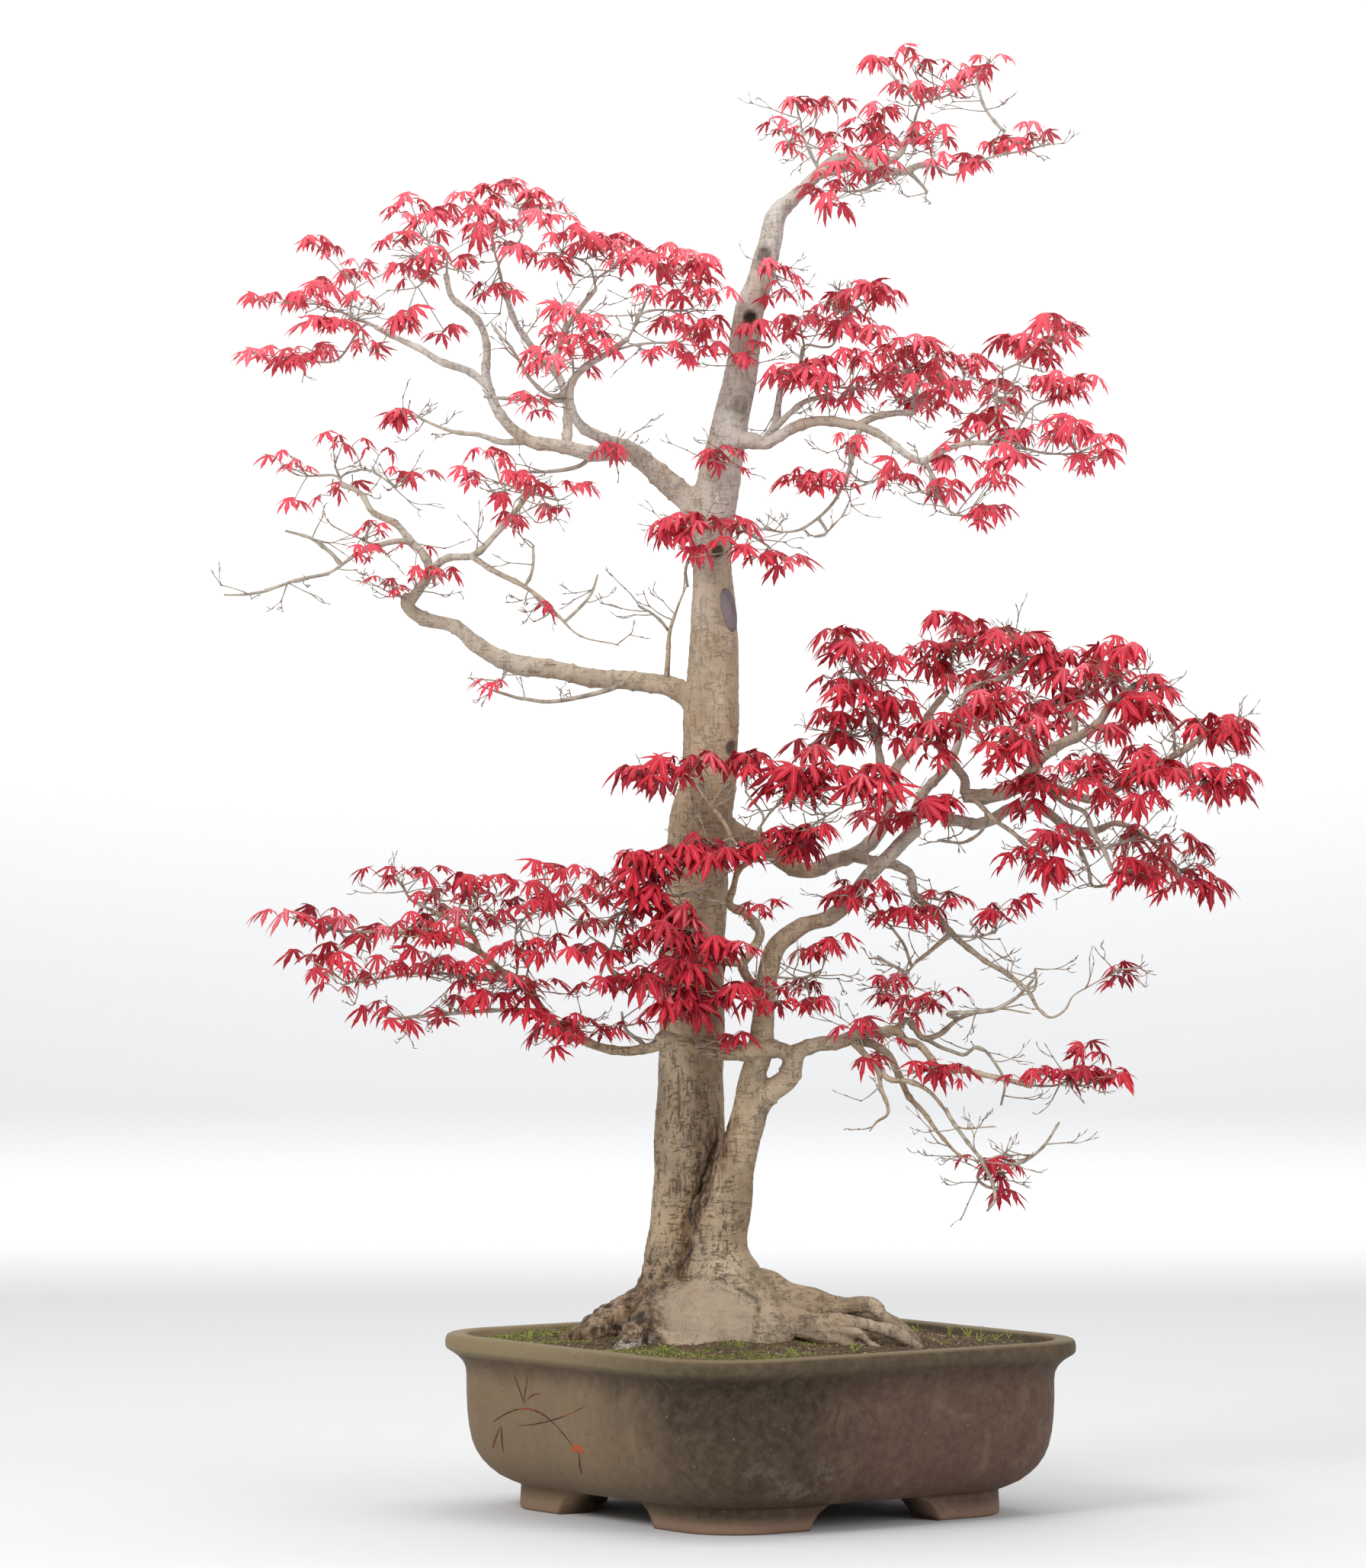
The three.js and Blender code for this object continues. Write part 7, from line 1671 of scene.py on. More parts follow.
    def motif(self) -> MeshBag:
        """Incised lines on the left face: two long crossing arcs, short leaf strokes and a rusty spot.

        The lines are flat bands that follow the bowl's wall, sunk but for a hair's breadth.

        Returns:
            The grooves' mesh.
        """
        bag = MeshBag("pot_incised_lines")
        along = np.linspace(0, 1, 60)
        lines = [
            (-98 + 78 * along, 44 + 34 * np.sin(along * 2.3) * (1 - 0.45 * along), 0.9, 0.0),
            (-104 + 60 * along, 74 - 26 * along + 10 * along**2, 0.7, 0.0),
            (-50 - 15 * along, 72 + 13 * along - 7 * along**2, 0.9, 0.2),
            (-49 - 4 * along, 71 + 16 * along, 0.8, 0.0),
            (-50 + 9 * along, 72 + 13 * along + 2 * along**2, 0.8, 0.0),
            (-26 + 9 * along, 55 - 13 * along, 0.9, 0.3),
            (-28 + 1.5 * along, 56 - 15 * along, 0.8, 0.0),
            (-96 + 3 * along, 45 - 11 * along, 0.8, 0.0),
            (-101 + 12 * along, 47 + 2 * np.sin(along * 3.1), 3.4, 1.0),
        ]
        heights = np.array([row[0] for row in self.outer], float)
        halves = np.array([row[1] for row in self.outer], float)
        for run, level, width, stain in lines:
            spine = np.stack([(run + 62) * 1.25 + 34, (level - 60) * 1.12 + 62], axis=-1)
            flow = unit(np.gradient(spine, axis=0))
            side = np.stack([-flow[:, 1], flow[:, 0]], axis=-1)
            half_width = 1.1 * width * np.sin(np.linspace(0.25, math.pi - 0.15, len(run)))
            rows = []
            for lateral, proud in ((-1.0, -0.3), (-0.5, 0.28), (0.5, 0.28), (1.0, -0.3)):
                spot = spine + side * (half_width * lateral)[:, None]
                reach = np.interp(spot[:, 1], heights, halves) + proud
                normal = self.turn + math.pi
                x = reach * math.cos(normal) + spot[:, 0] * math.sin(normal)
                y = reach * math.sin(normal) - spot[:, 0] * math.cos(normal)
                rows.append(np.stack([x, y, spot[:, 1]], axis=-1))
            points = np.stack(rows, axis=1)
            bag.add(points.reshape(-1, 3), [ring_faces(len(run), 4, closed=False)], stain=stain)
        return bag

    def build(self) -> None:
        """Makes the bowl with its drain holes, the feet and the incised lines."""
        clay = ClayFinish().material()
        bowl = self.bowl().build()
        for sign in (-1, 1):
            ring = np.linspace(0, 2 * math.pi, 32, endpoint=False)
            x = sign * self.drain_reach * math.cos(self.turn) + self.drain_radius * np.cos(ring)
            y = sign * self.drain_reach * math.sin(self.turn) + self.drain_radius * np.sin(ring)
            wall = np.stack([np.stack([x, y, np.full(32, z)], axis=-1) for z in (10.0, 34.0)])
            drill = MeshBag("drill")
            ends = [np.arange(32)[None, ::-1], 32 + np.arange(32)[None]]
            drill.add(wall.reshape(-1, 3), [ring_faces(2, 32), *ends])
            cutter = drill.build()
            cut = bowl.modifiers.new("drain", "BOOLEAN")
            cut.object = cutter
            cut.operation = "DIFFERENCE"
            cut.solver = "EXACT"
            applied(bowl)
            bpy.data.objects.remove(cutter)
        dress(bowl, clay, "clay", "pot")
        dress(self.feet().build(), clay, "clay", "pot")
        dress(self.motif().build(), IncisedFinish().material(), "clay")


@dataclass
class Soil:
    """The soil: a low mound in the pot with moss, litter and a few seedlings."""

    half: float = 151.2
    corner: float = 48.0
    centre: tuple = (-35.0, 0.0)
    edge: float = 110.0
    rise: float = 10.5
    spread: float = 95.0
    tufts: int = 12000
    chips: int = 3600
    turn: float = POT_TURN

    def height(self, x: Array, y: Array) -> Array:
        """Mound: edge + rise e^-(distance / spread)^2, with waves and small clods.

        Args:
            x: places in mm.
            y: places in mm.

        Returns:
            Heights in mm.
        """
        distance = np.hypot(x - self.centre[0], y - self.centre[1])
        waves = 1.2 * np.sin(x / 17) * np.cos(y / 21)
        spots = np.stack([x, y, np.zeros_like(x)], axis=-1)
        clods = lattice_noise(spots, 9, 2.0) * 1.1 + lattice_noise(spots, 3.5, 4.0) * 0.9
        return self.edge + self.rise * np.exp(-((distance / self.spread) ** 2)) + waves + clods

    def moss(self, x: Array, y: Array) -> Array:
        """Share of moss from 0 to 1: more in front and at the left, in patches.

        Args:
            x: places in mm.
            y: places in mm.

        Returns:
            The share at each place.
        """
        spots = np.stack([x, y, np.zeros_like(x)], axis=-1)
        patches = 0.6 * lattice_noise(spots, 34, 6.0) + 0.7 * lattice_noise(spots, 11, 7.0)
        bias = -0.3 - 0.0028 * x - 0.0012 * y
        return np.clip((patches + bias) * 2.2 + 0.3, 0, 1)

    def inside(self, x: Array, y: Array, margin: float = 0.0) -> Array:
        """Whether a point lies in the rounded square.

        Args:
            x: places in mm.
            y: places in mm.
            margin: distance to keep from the wall, in mm.

        Returns:
            True for each place inside.
        """
        u = x * math.cos(self.turn) + y * math.sin(self.turn)
        v = -x * math.sin(self.turn) + y * math.cos(self.turn)
        middle = self.half - self.corner
        reach = np.hypot(np.maximum(np.abs(u) - middle, 0), np.maximum(np.abs(v) - middle, 0))
        return reach < self.corner - margin

    def mound(self) -> MeshBag:
        """The mound on rings that shrink from the wall to the middle, closed below by a skirt.

        Returns:
            The mound's mesh.
        """
        shape = Pot()
        shares = np.concatenate([[1.0], np.linspace(1.0, 0.004, 110)])
        rings = shape.outline(self.half * shares, self.corner * shares)
        z = self.height(rings[..., 0], rings[..., 1])
        z[0] = 98.0
        points = np.concatenate([rings, z[..., None]], axis=-1)
        moss = self.moss(points[..., 0], points[..., 1])
        count, sides = points.shape[:2]
        bag = MeshBag("soil_mound")
        last = (count - 1) * sides
        bag.add(points.reshape(-1, 3), [
            ring_faces(count, sides), np.arange(sides)[None, ::-1], (last + np.arange(sides))[None]],
            moss=moss.ravel())
        return bag

    def carpet(self) -> MeshBag:
        """Tufts: leaning three-sided spikes 0.9 to 2 mm long where the moss grows.

        Returns:
            The tufts and the seedlings.
        """
        rng = np.random.default_rng(11)
        x, y = rng.uniform(-205, 205, (2, self.tufts * 3))
        keep = self.inside(x, y, 4) & (rng.uniform(0, 1, x.size) < self.moss(x, y) ** 1.5 * 0.9)
        x, y = x[keep][:self.tufts], y[keep][:self.tufts]
        count = x.size
        base = np.stack([x, y, self.height(x, y) - 0.5], axis=-1)
        lean = rng.normal(0, 0.5, (count, 3)) * np.array([1, 1, 0.2]) + np.array([0, 0, 1.0])
        size = rng.uniform(0.9, 2.0, count)
        tip = base + unit(lean) * size[:, None]
        width = rng.uniform(0.4, 0.9, count)
        points, faces = strands(base, (base + tip) / 2, tip, width, width * 0.5, 2, 3)
        bag = MeshBag("moss_tufts")
        tone = np.clip(rng.normal(0.4, 0.22, count) + 0.2 * lattice_noise(base, 30, 9.0), 0, 1)
        bag.add(points, faces, tone=np.repeat(tone, len(points) // count))
        self.add_seedlings(bag, rng)
        return bag

    def add_seedlings(self, bag: MeshBag, rng: np.random.Generator) -> None:
        """Small weeds near the rim at the right and in front: a stalk with a few narrow leaves.

        Args:
            bag: collects them.
            rng: the random draws.
        """
        spots = np.array([[150, 62], [140, 40], [166, 30], [158, 20], [128, 70], [108, 84], [-120, 20],
                          [-150, 8], [120, -30], [60, -92], [-60, -100], [146, 6]], float)
        count = 5
        x, y = np.repeat(spots, count, axis=0).T + rng.normal(0, 1.2, (2, len(spots) * count))
        base = np.stack([x, y, self.height(x, y) - 0.5], axis=-1)
        lean = unit(rng.normal(0, 1, base.shape) * np.array([1, 1, 0.3]) + np.array([0, 0, 1.3]))
        tip = base + lean * rng.uniform(4, 9, len(x))[:, None]
        middle = (base + tip) / 2 + np.array([0, 0, 1.2])
        points, faces = strands(base, middle, tip, np.full(len(x), 0.5), np.full(len(x), 0.35), 4, 3)
        bag.add(points, faces, tone=0.85)

    def litter(self) -> MeshBag:
        """Chips and crumbs: small bent leaflets of straw colour lying on the soil.

        Returns:
            The chips' mesh.
        """
        rng = np.random.default_rng(23)
        x, y = rng.uniform(-200, 200, (2, self.chips * 2))
        keep = self.inside(x, y, 6)
        x, y = x[keep][:self.chips], y[keep][:self.chips]
        count = x.size
        middle = np.stack([x, y, self.height(x, y) + 0.6], axis=-1)
        heading = rng.uniform(0, 2 * math.pi, count)
        reach = (0.6 + 1.9 * rng.uniform(0, 1, count) ** 2)[:, None]
        along = np.stack([np.cos(heading), np.sin(heading), rng.normal(0, 0.3, count)], axis=-1) * reach
        side = np.stack([-np.sin(heading), np.cos(heading), rng.normal(0, 0.3, count)], axis=-1)
        side *= rng.uniform(0.25, 0.6, count)[:, None]
        rise = np.array([0, 0, 0.3])
        corners = np.stack([middle - along, middle - side + rise, middle + along, middle + side + rise,
                            middle - rise], axis=1)
        faces = np.array([[0, 1, 3], [1, 2, 3], [0, 4, 1], [1, 4, 2], [2, 4, 3], [3, 4, 0]])
        step = np.arange(count)[:, None, None] * 5
        bag = MeshBag("soil_litter")
        bag.add(corners.reshape(-1, 3), [(faces[None] + step).reshape(-1, 3)],
                tone=np.repeat(rng.uniform(0, 1, count) ** 1.4, 5))
        return bag

    def build(self) -> None:
        """Makes the mound, the moss and the litter."""
        dress(self.mound().build(), EarthFinish().material(), "soil", "soil")
        dress(self.carpet().build(), MossFinish().material(), "soil")
        dress(self.litter().build(), LitterFinish().material(), "soil")


@dataclass
class Wood:
    """The wood: two trunks with their roots as one skin, the sealed cut, and the limbs on them."""

    voxel: float = 1.7
    thick: float = 4.4
    dome: tuple = ((-58, -26, 118, 20), (-44, -36, 121, 25), (-30, -38, 121, 27), (-12, -34, 120, 22))
    crevice: tuple = ((-52, 158), (-50, 165), (-47, 180), (-44.5, 195), (-40, 208), (-36, 220), (-32, 232),
                      (-26, 246), (-22, 258))

    def paths(self) -> dict:
        """The limbs' paths as arrays, with the tree's depth; a limb with nothing at its end runs out thin.

        Returns:
            Name of each limb to its rows of x, y, z, radius in mm.
        """
        paths = {limb.name: tree_points(limb.path, not limb.name.startswith("root_")) for limb in LIMBS}
        sprays = [tree_points((spray.root,)) for spray in SPRAYS if spray.own_node]
        carried = np.concatenate(sprays + [path[:1, :3] for path in paths.values()])
        for path in paths.values():
            if np.linalg.norm(carried - path[-1, :3], axis=1).min() > 12 and path[-1, 3] < 3:
                share = np.linspace(0, 1, len(path))
                path[:, 3] *= 1 - 0.7 * share**1.5
        return paths

    def marks(self, points: Array) -> dict:
        """Marks of the bark: pale high up, olive on the young limb, cracks low on the trunks.

        Args:
            points: n x 3 array in mm.

        Returns:
            One array for each mark.
        """
        height, side = points[:, 2], points[:, 0]
        patch = lattice_noise(points, 45, 1.0)
        pale = np.clip((height - 510 + 60 * patch) / 260, 0, 1)
        pale = np.maximum(pale, np.clip((-side - 60) / 60, 0, 1) * np.clip((height - 480) / 60, 0, 1) * 0.4)
        pale = np.maximum(pale, np.clip((side - 10) / 60, 0, 1) * np.clip((height - 260) / 120, 0, 1) * 0.55)
        olive = np.clip((side - 150) / 20, 0, 1) * np.clip((height - 470) / 10, 0, 1)
        olive *= np.clip((495 - height) / 10, 0, 1)
        low = np.clip((520 - height) / 420, 0, 1)
        crack = 0.35 + 0.65 * low * np.clip((-8 - side) / 12, 0.3, 1)
        worn = np.clip((140 - height) / 20, 0, 1) * np.clip(0.6 + 0.4 * patch, 0, 1)
        return {"pale": pale, "olive": olive, "crack": crack, "worn": worn, "cork": np.zeros(len(points)),
                "dark": np.zeros(len(points))}

    def core(self) -> bpy.types.Object:
        """The trunks, roots and thick limbs, melted into one skin by remeshing, then carved.

        Returns:
            The carved skin.
        """
        bag = MeshBag("trunks_and_roots")
        paths = self.paths()
        for index, (name, path) in enumerate(paths.items()):
            is_root = name.startswith("root_")
            if path[0, 3] < self.thick and not is_root:
                continue
            end = len(path) if is_root else max(int((path[:, 3] >= self.thick).sum()), 2)
            fine = smoothed(path[:end], 4.0)
            points, faces = tube(fine, 48 if path[0, 3] > 25 else 20, 0.05, index)
            bag.add(points, faces)
        for index, rows in enumerate(SURFACE_ROOTS):
            fine = smoothed(tree_points(rows, False), 3.0)
            points, faces = tube(fine, 16, 0.16, index + 40)
            bag.add(points, faces)
        points, faces = tube(smoothed(np.array(self.dome, float), 4.0), 40, 0.05, 60)
        bag.add(points, faces)
        piece = bag.build()
        melt = piece.modifiers.new("melt", "REMESH")
        melt.mode = "VOXEL"
        melt.voxel_size = self.voxel * MM
        melt.use_smooth_shade = True
        soften = piece.modifiers.new("soften", "SMOOTH")
        soften.factor = 0.5
        soften.iterations = 5
        applied(piece)
        self.carve(piece.data)
        return piece

    def carve(self, mesh: bpy.types.Mesh) -> None:
        """Adds relief and marks to the melted skin: lumps, root wrinkles, the crevice and the scars.

        Args:
            mesh: the melted skin, changed in place.
        """
        count = len(mesh.vertices)
        flat = np.empty(count * 3, np.float32)
        mesh.vertices.foreach_get("co", flat)
        points = (flat.reshape(-1, 3).astype(float) - POT_CENTRE) / MM
        mesh.vertex_normals.foreach_get("vector", flat)
        normals = flat.reshape(-1, 3).astype(float)
        marks = self.marks(points)
        rise = 0.7 * lattice_noise(points * np.array([1, 1, 0.4]), 13, 1.0)
        rise += 0.35 * lattice_noise(points * np.array([1, 1, 0.3]), 5, 2.0)
        rise += 0.3 * lattice_noise(points * np.array([0.4, 0.4, 2.0]), 5, 3.0)
        self.shape_base(points, rise, marks)
        self.cut_crevice(points, rise, marks)
        self.set_scars(points, rise, marks)
        points = points + normals * rise[:, None]
        mesh.vertices.foreach_set("co", (points * MM + POT_CENTRE).astype(np.float32).ravel())
        write_marks(mesh, marks)
        mesh.update()

    def shape_base(self, points: Array, rise: Array, marks: dict) -> None:
        """Shapes the root base: a smooth folded dome in front, rugged corky bark and dead wood at its left,
        with painted shade in its pits, its folds and the groove round the dome.

        The dome is the ellipse ((x + 36) / 31)^2 + ((z - 131) / 21)^2 < 1.45, with a rough edge.

        Args:
            points: the skin in mm.
            rise: how far each point moves outwards, in mm, changed in place.
            marks: the bark's marks, changed in place.
        """
        x, y, z = points.T
        reach = ((x + 36) / 31) ** 2 + ((z - 131) / 21) ** 2
        reach *= 1 + 0.2 * lattice_noise(points, 16, 19.0)
        bulge = np.clip((1.45 - reach) / 0.8, 0, 1) * np.clip((-22 - y) / 12, 0, 1)
        rugged = np.clip((178 - z) / 30, 0, 1) * np.clip((-52 - x) / 10, 0.28, 1) * (1 - bulge)
        clods = lattice_noise(points * np.array([0.8, 0.8, 1.3]), 6, 8.0)
        rise += rugged * (1.7 * clods + 1.3 * lattice_noise(points, 3.6, 9.0))
        rise += bulge * 0.14 * np.sin(reach * 15 + 2.5 * lattice_noise(points, 13, 10.0)) * (reach > 0.5)
        edge = np.exp(-((reach - 1.4) / 0.16) ** 2) * np.clip((-20 - y) / 12, 0, 1)
        pits = np.clip(-clods * 2.4 - 0.15 + 0.9 * lattice_noise(points, 3, 11.0), 0, 1) * rugged
        rise -= 1.6 * edge * np.clip(0.4 + lattice_noise(points, 8, 15.0), 0, 1)
        # Painted shade in the cork's pits and in the groove round the dome
        marks["dark"] = np.clip(pits * 1.1 + edge * 0.8 * np.clip(0.4 + clods, 0, 1), 0, 0.95)
        # Brown on the right half of the main trunk from 215 to 480 mm: real brown bark low down, painted
        # shade on that side higher up
        brown_and_shade_band = np.clip((x + 47) / 7, 0, 1) * np.clip((-20 - x) / 4, 0, 1)
        brown_and_shade_band *= np.clip((480 - z) / 200, 0, 1)
        brown_and_shade_band *= y < 4
        patch = lattice_noise(points * np.array([1, 1, 0.35]), 12, 16.0)
        cork = np.maximum(np.clip(rugged - 0.28, 0, 1) * 1.3, brown_and_shade_band * (z > 215) * 0.5)
        marks["cork"] = cork * np.clip(0.8 + 0.7 * patch, 0, 1)
        marks["worn"] = np.maximum(marks["worn"] * np.clip((x + 20) / 20, 0.25, 1), bulge)
        marks["crack"] *= 1 - 0.85 * bulge
        folds = np.clip(np.sin(reach * 16 + 3 * lattice_noise(points, 12, 10.0)) * 3 - 2, 0, 1)
        fold_share = np.clip(lattice_noise(points, 16, 21.0) + (x + 30) / 40 + (z - 135) / 30, 0, 1)
        fold_share = fold_share * (y < -20) * (reach > 0.6)
        # Painted shade in the dome's folds
        marks["dark"] = np.maximum(marks["dark"], folds * fold_share * np.clip((1.9 - reach) / 0.4, 0, 0.55))
        splinter = np.clip((122 - z) / 6, 0, 1) * np.clip((-45 - y) / 6, 0, 1)
        splinter *= np.clip((-64 - x) / 6, 0, 0.8)
        marks["pale"] = np.maximum(marks["pale"], splinter * np.clip(0.9 + clods, 0, 1))
        marks["cork"] *= 1 - 0.8 * splinter

    def cut_crevice(self, points: Array, rise: Array, marks: dict) -> None:
        """Cuts the crevice between the trunks, darkened with painted shade, with corky lips on both sides.

        Args:
            points: the skin in mm.
            rise: how far each point moves outwards, in mm, changed in place.
            marks: the bark's marks, changed in place.
        """
        x, y, z = points.T
        line = np.array(self.crevice, float)
        centre = np.interp(z, line[:, 1], line[:, 0])
        jitter = 2.2 * lattice_noise(points, 6, 12.0)
        off = np.abs(x - centre + jitter)
        reach = np.clip((z - 150) / 15, 0, 1) * np.clip((262 - z) / 14, 0, 1) * (y < 0)
        width = 3.6 + 2.2 * np.clip(lattice_noise(points, 15, 14.0), -0.5, 1)
        cleft = np.clip(1 - off / width, 0, 1) * reach
        brim = np.clip(1 - off / (width * 2.3), 0, 1) * reach
        rise += 1.7 * brim * lattice_noise(points * np.array([1.4, 1.4, 0.7]), 4, 17.0) - 3.4 * cleft
        # Painted shade in the crevice
        marks["dark"] = np.maximum(marks["dark"], np.clip(cleft * 2.4 - 1.0, 0, 0.95))
        marks["cork"] = np.maximum(marks["cork"], np.clip(brim * 3.0, 0, 1))

    @staticmethod
    def set_scars(points: Array, rise: Array, marks: dict) -> None:
        """Raises a lip round each healed cut, e^-((share - 1) / 0.22)^2, and hollows its middle.

        Args:
            points: the skin in mm.
            rise: how far each point moves outwards, in mm, changed in place.
            marks: the bark's marks, changed in place.
        """
        x, y, z = points.T
        for scar in SCARS:
            centre = np.array(scar.centre, float)
            close = np.hypot(x - centre[0], z - centre[2]) < 3
            centre[1] = y[close].min() if close.any() else centre[1]
            distance = np.linalg.norm(points - centre, axis=1)
            share = distance / scar.radius * (1 + 0.16 * lattice_noise(points, 7, 18.0))
            rise += scar.lip * np.exp(-((share - 1) / 0.22) ** 2) - scar.hollow * np.clip(1 - share**2, 0, 1)
            shade = scar.dark * np.clip((0.95 - share) / 0.3, 0, 1)
            shade = shade + 0.28 * np.exp(-((share - 1.2) / 0.1) ** 2)
            marks["dark"] = np.maximum(marks["dark"], shade * (share < 1.6))

    def oval_cut(self) -> MeshBag:
        """The sealed oval cut on the trunk's right front: a domed lens bent round the trunk's own curve.

        Returns:
            The lens's mesh.
        """
        u = np.linspace(0, 2 * math.pi, 40, endpoint=False)
        v = np.array([1.06, 1.0, 0.86, 0.6, 0.3, 0.02])[:, None]
        rise = np.array([-2.2, 0.2, 1.1, 1.7, 2.0, 2.1])[:, None]
        height = 14 * v * np.sin(u)
        radius = 14.7 - 0.06 * height
        turn = math.radians(44) + (6.2 * v * np.cos(u) - 0.16 * height) / radius
        x = -29.0 - 0.015 * height + (radius + rise) * np.sin(turn)
        y = 7.5 - 0.04 * height - (radius + rise) * np.cos(turn)
        bag = MeshBag("sealed_cut")
        points = np.stack([x, y, 593 + height], axis=-1)
        bag.add(points.reshape(-1, 3), [ring_faces(6, 40), (200 + np.arange(40))[None]])
        return bag

    def limbs(self) -> MeshBag:
        """All limbs as knobbly tubes; a limb swells a little at every joint, 16 to 24 mm apart.

        Returns:
            The limbs' mesh.
        """
        bag = MeshBag("limbs")
        rng = np.random.default_rng(5)
        for index, (name, path) in enumerate(self.paths().items()):
            if name.startswith("root_") or name.endswith("_trunk"):
                continue
            fine = smoothed(path, 2.0 if path[0, 3] > 3 else 2.6)
            run = np.arange(len(fine)) * 2.2
            joints = np.cumsum(rng.uniform(14, 24, 40))
            swell = np.exp(-((run[:, None] - joints[None]) / 1.8) ** 2).sum(axis=1)
            fine[:, 3] *= 1 + (0.16 + 0.3 / np.maximum(fine[:, 3], 1.5)) * swell * 0.8
            bend = lattice_noise(fine[:, :3], 16, index)[:, None] * np.array([0.5, 0.8, 0.5])
            fine[:, :3] += bend * np.clip(run / 12, 0, 1)[:, None]
            points, faces = tube(fine, 14 if path[0, 3] > 4.5 else 10, 0.1, index)
            bag.add(points, faces, **self.marks(points))
        return bag

    def build(self) -> None:
        """Makes the trunks, the sealed cut and the limbs."""
        bark = BarkFinish().material()
        dress(self.core(), bark, "bark", "wood")
        dress(self.limbs().build(), bark, "bark", "wood")
        s = Shader("sealing_paste")
        tone = s.noise(260, 3)
        paste = s.finish(s.mix(tone, (0.13, 0.1, 0.11), (0.22, 0.18, 0.19)), 0.6, tone, 0.0006, 0.5)
        dress(self.oval_cut().build(), paste, "bark")


class Twigs:
    """The twigs of every spray: each guide joins the nearest twig, with a cost for turning back."""

    lead = 3.0
    turn_cost = 0.9
    tip = 0.5
    growth = 0.2

    def __init__(self, wood: Wood) -> None:
        """Keeps the limbs' paths for placing the sprays, and starts with the bare twigs.

        Args:
            wood: gives the limbs' paths.
        """
        self.limbs = list(wood.paths().values())
        self.bags = {}
        self.rng = np.random.default_rng(31)
        self.switch("bare")

    def switch(self, name: str) -> None:
        """Starts or goes on with the piece of one leafy mass, or of the bare twigs."""
        self.bag = self.bags.setdefault(name, MeshBag(f"twigs_{name}"))

    def grow(self, spray: Spray) -> list:
        """The spray's twigs as paths of x, y, z, radius in mm, the first one from its limb.

        Args:
            spray: the row of the table.

        Returns:
            The paths, each as rows of x, y, z, radius.
        """
        root = tree_points((spray.root,))
        place, _ = nearest_on(self.limbs, root)
        guides = [*tree_points(spray.guides)] if spray.guides else [
            np.array([spray.leaves[0][0], spray.depth * TREE_DEPTH, spray.leaves[0][1] - 8.0])]
        start = place[0, :3]
        first = unit(guides[0] - start)
        nodes = [(start, first, -1), (start + first * self.lead, first, 0)]
        while guides:
            costs = []
            for number, guide in enumerate(guides):
                for index, (at, along, _) in enumerate(nodes[1:], 1):
                    span = guide - at
                    length = np.linalg.norm(span)
                    turn = 1 - float(span @ along) / length
                    costs.append((length * (1 + self.turn_cost * turn), number, index))
            _, number, index = min(costs)
            guide = guides.pop(number)
            nodes.append((guide, unit(guide - nodes[index][0]), index))
        load = [0] * len(nodes)
        for index in range(len(nodes) - 1, 0, -1):
            load[index] += 1
            load[nodes[index][2]] += load[index]
        paths = []
        for index in range(len(nodes) - 1, 0, -1):
            if any(node[2] == index for node in nodes):
                continue
            run = [index]
            while nodes[run[-1]][2] >= 0:
                run.append(nodes[run[-1]][2])
            rows = [(*nodes[k][0], self.tip + self.growth * math.sqrt(load[k])) for k in reversed(run)]
            paths.append(np.array(rows))
        return paths

    def add_paths(self, paths: list, seed: int) -> None:
        """Adds a spray's twigs as slightly crooked tubes with swollen joints.

        Args:
            paths: the twigs.
            seed: shifts the crookedness.
        """
        for number, path in enumerate(paths):
            fine = smoothed(path, 3.0)
            run = np.arange(len(fine)) * 3.0
            fine[:, 3] *= 1 + 0.3 * (np.sin(run * 0.42 + seed) > 0.93)
            fine[:, :3] += lattice_noise(fine[:, :3], 8, seed)[:, None] * np.array([0.5, 0.7, 0.5])
            points, faces = tube(fine, 6, 0.0, seed + number)
            self.bag.add(points, faces, pale=paleness(points))

    def add_bare(self, paths: list, count: int) -> None:
        """Adds bare side twigs that fork twice and turn upwards to their buds.

        Args:
            paths: the twigs that they grow from.
            count: how many of them.
        """
        if not count:
            return
        rng = self.rng
        rows = np.concatenate([smoothed(path, 2.0)[2:] for path in paths])
        pick = rows[rng.integers(len(rows) // 3, len(rows), count)]
        base = pick[:, :3]
        aim = unit(rng.normal(0, 1, (count, 3)) * np.array([1, 0.7, 0.45]) + np.array([0, -0.1, 0.12]))
        length = rng.uniform(9, 21, count)
        thick = np.full(count, 0.55)
        for level in range(3):
            tip = base + aim * length[:, None]
            kink = base + aim * (length * 0.5)[:, None] + rng.normal(0, 1.0, base.shape)
            kink = kink - np.array([0, 0, 0.8])
            self.add_shoots(base, kink, tip, thick, thick * 0.72, level > 0)
            spread = rng.normal(0, 0.62, (2 * len(aim), 3))
            aim = unit(np.repeat(aim, 2, axis=0) * 1.5 + spread + np.array([0, 0, 0.25]))
            base, thick = np.repeat(tip, 2, axis=0), np.repeat(thick * 0.75, 2)
            length = np.repeat(length, 2) * rng.uniform(0.4, 0.75, len(base))
            keep = rng.uniform(0, 1, len(base)) < (0.9 if level == 0 else 0.6)
            base, aim, length, thick = base[keep], aim[keep], length[keep], thick[keep]

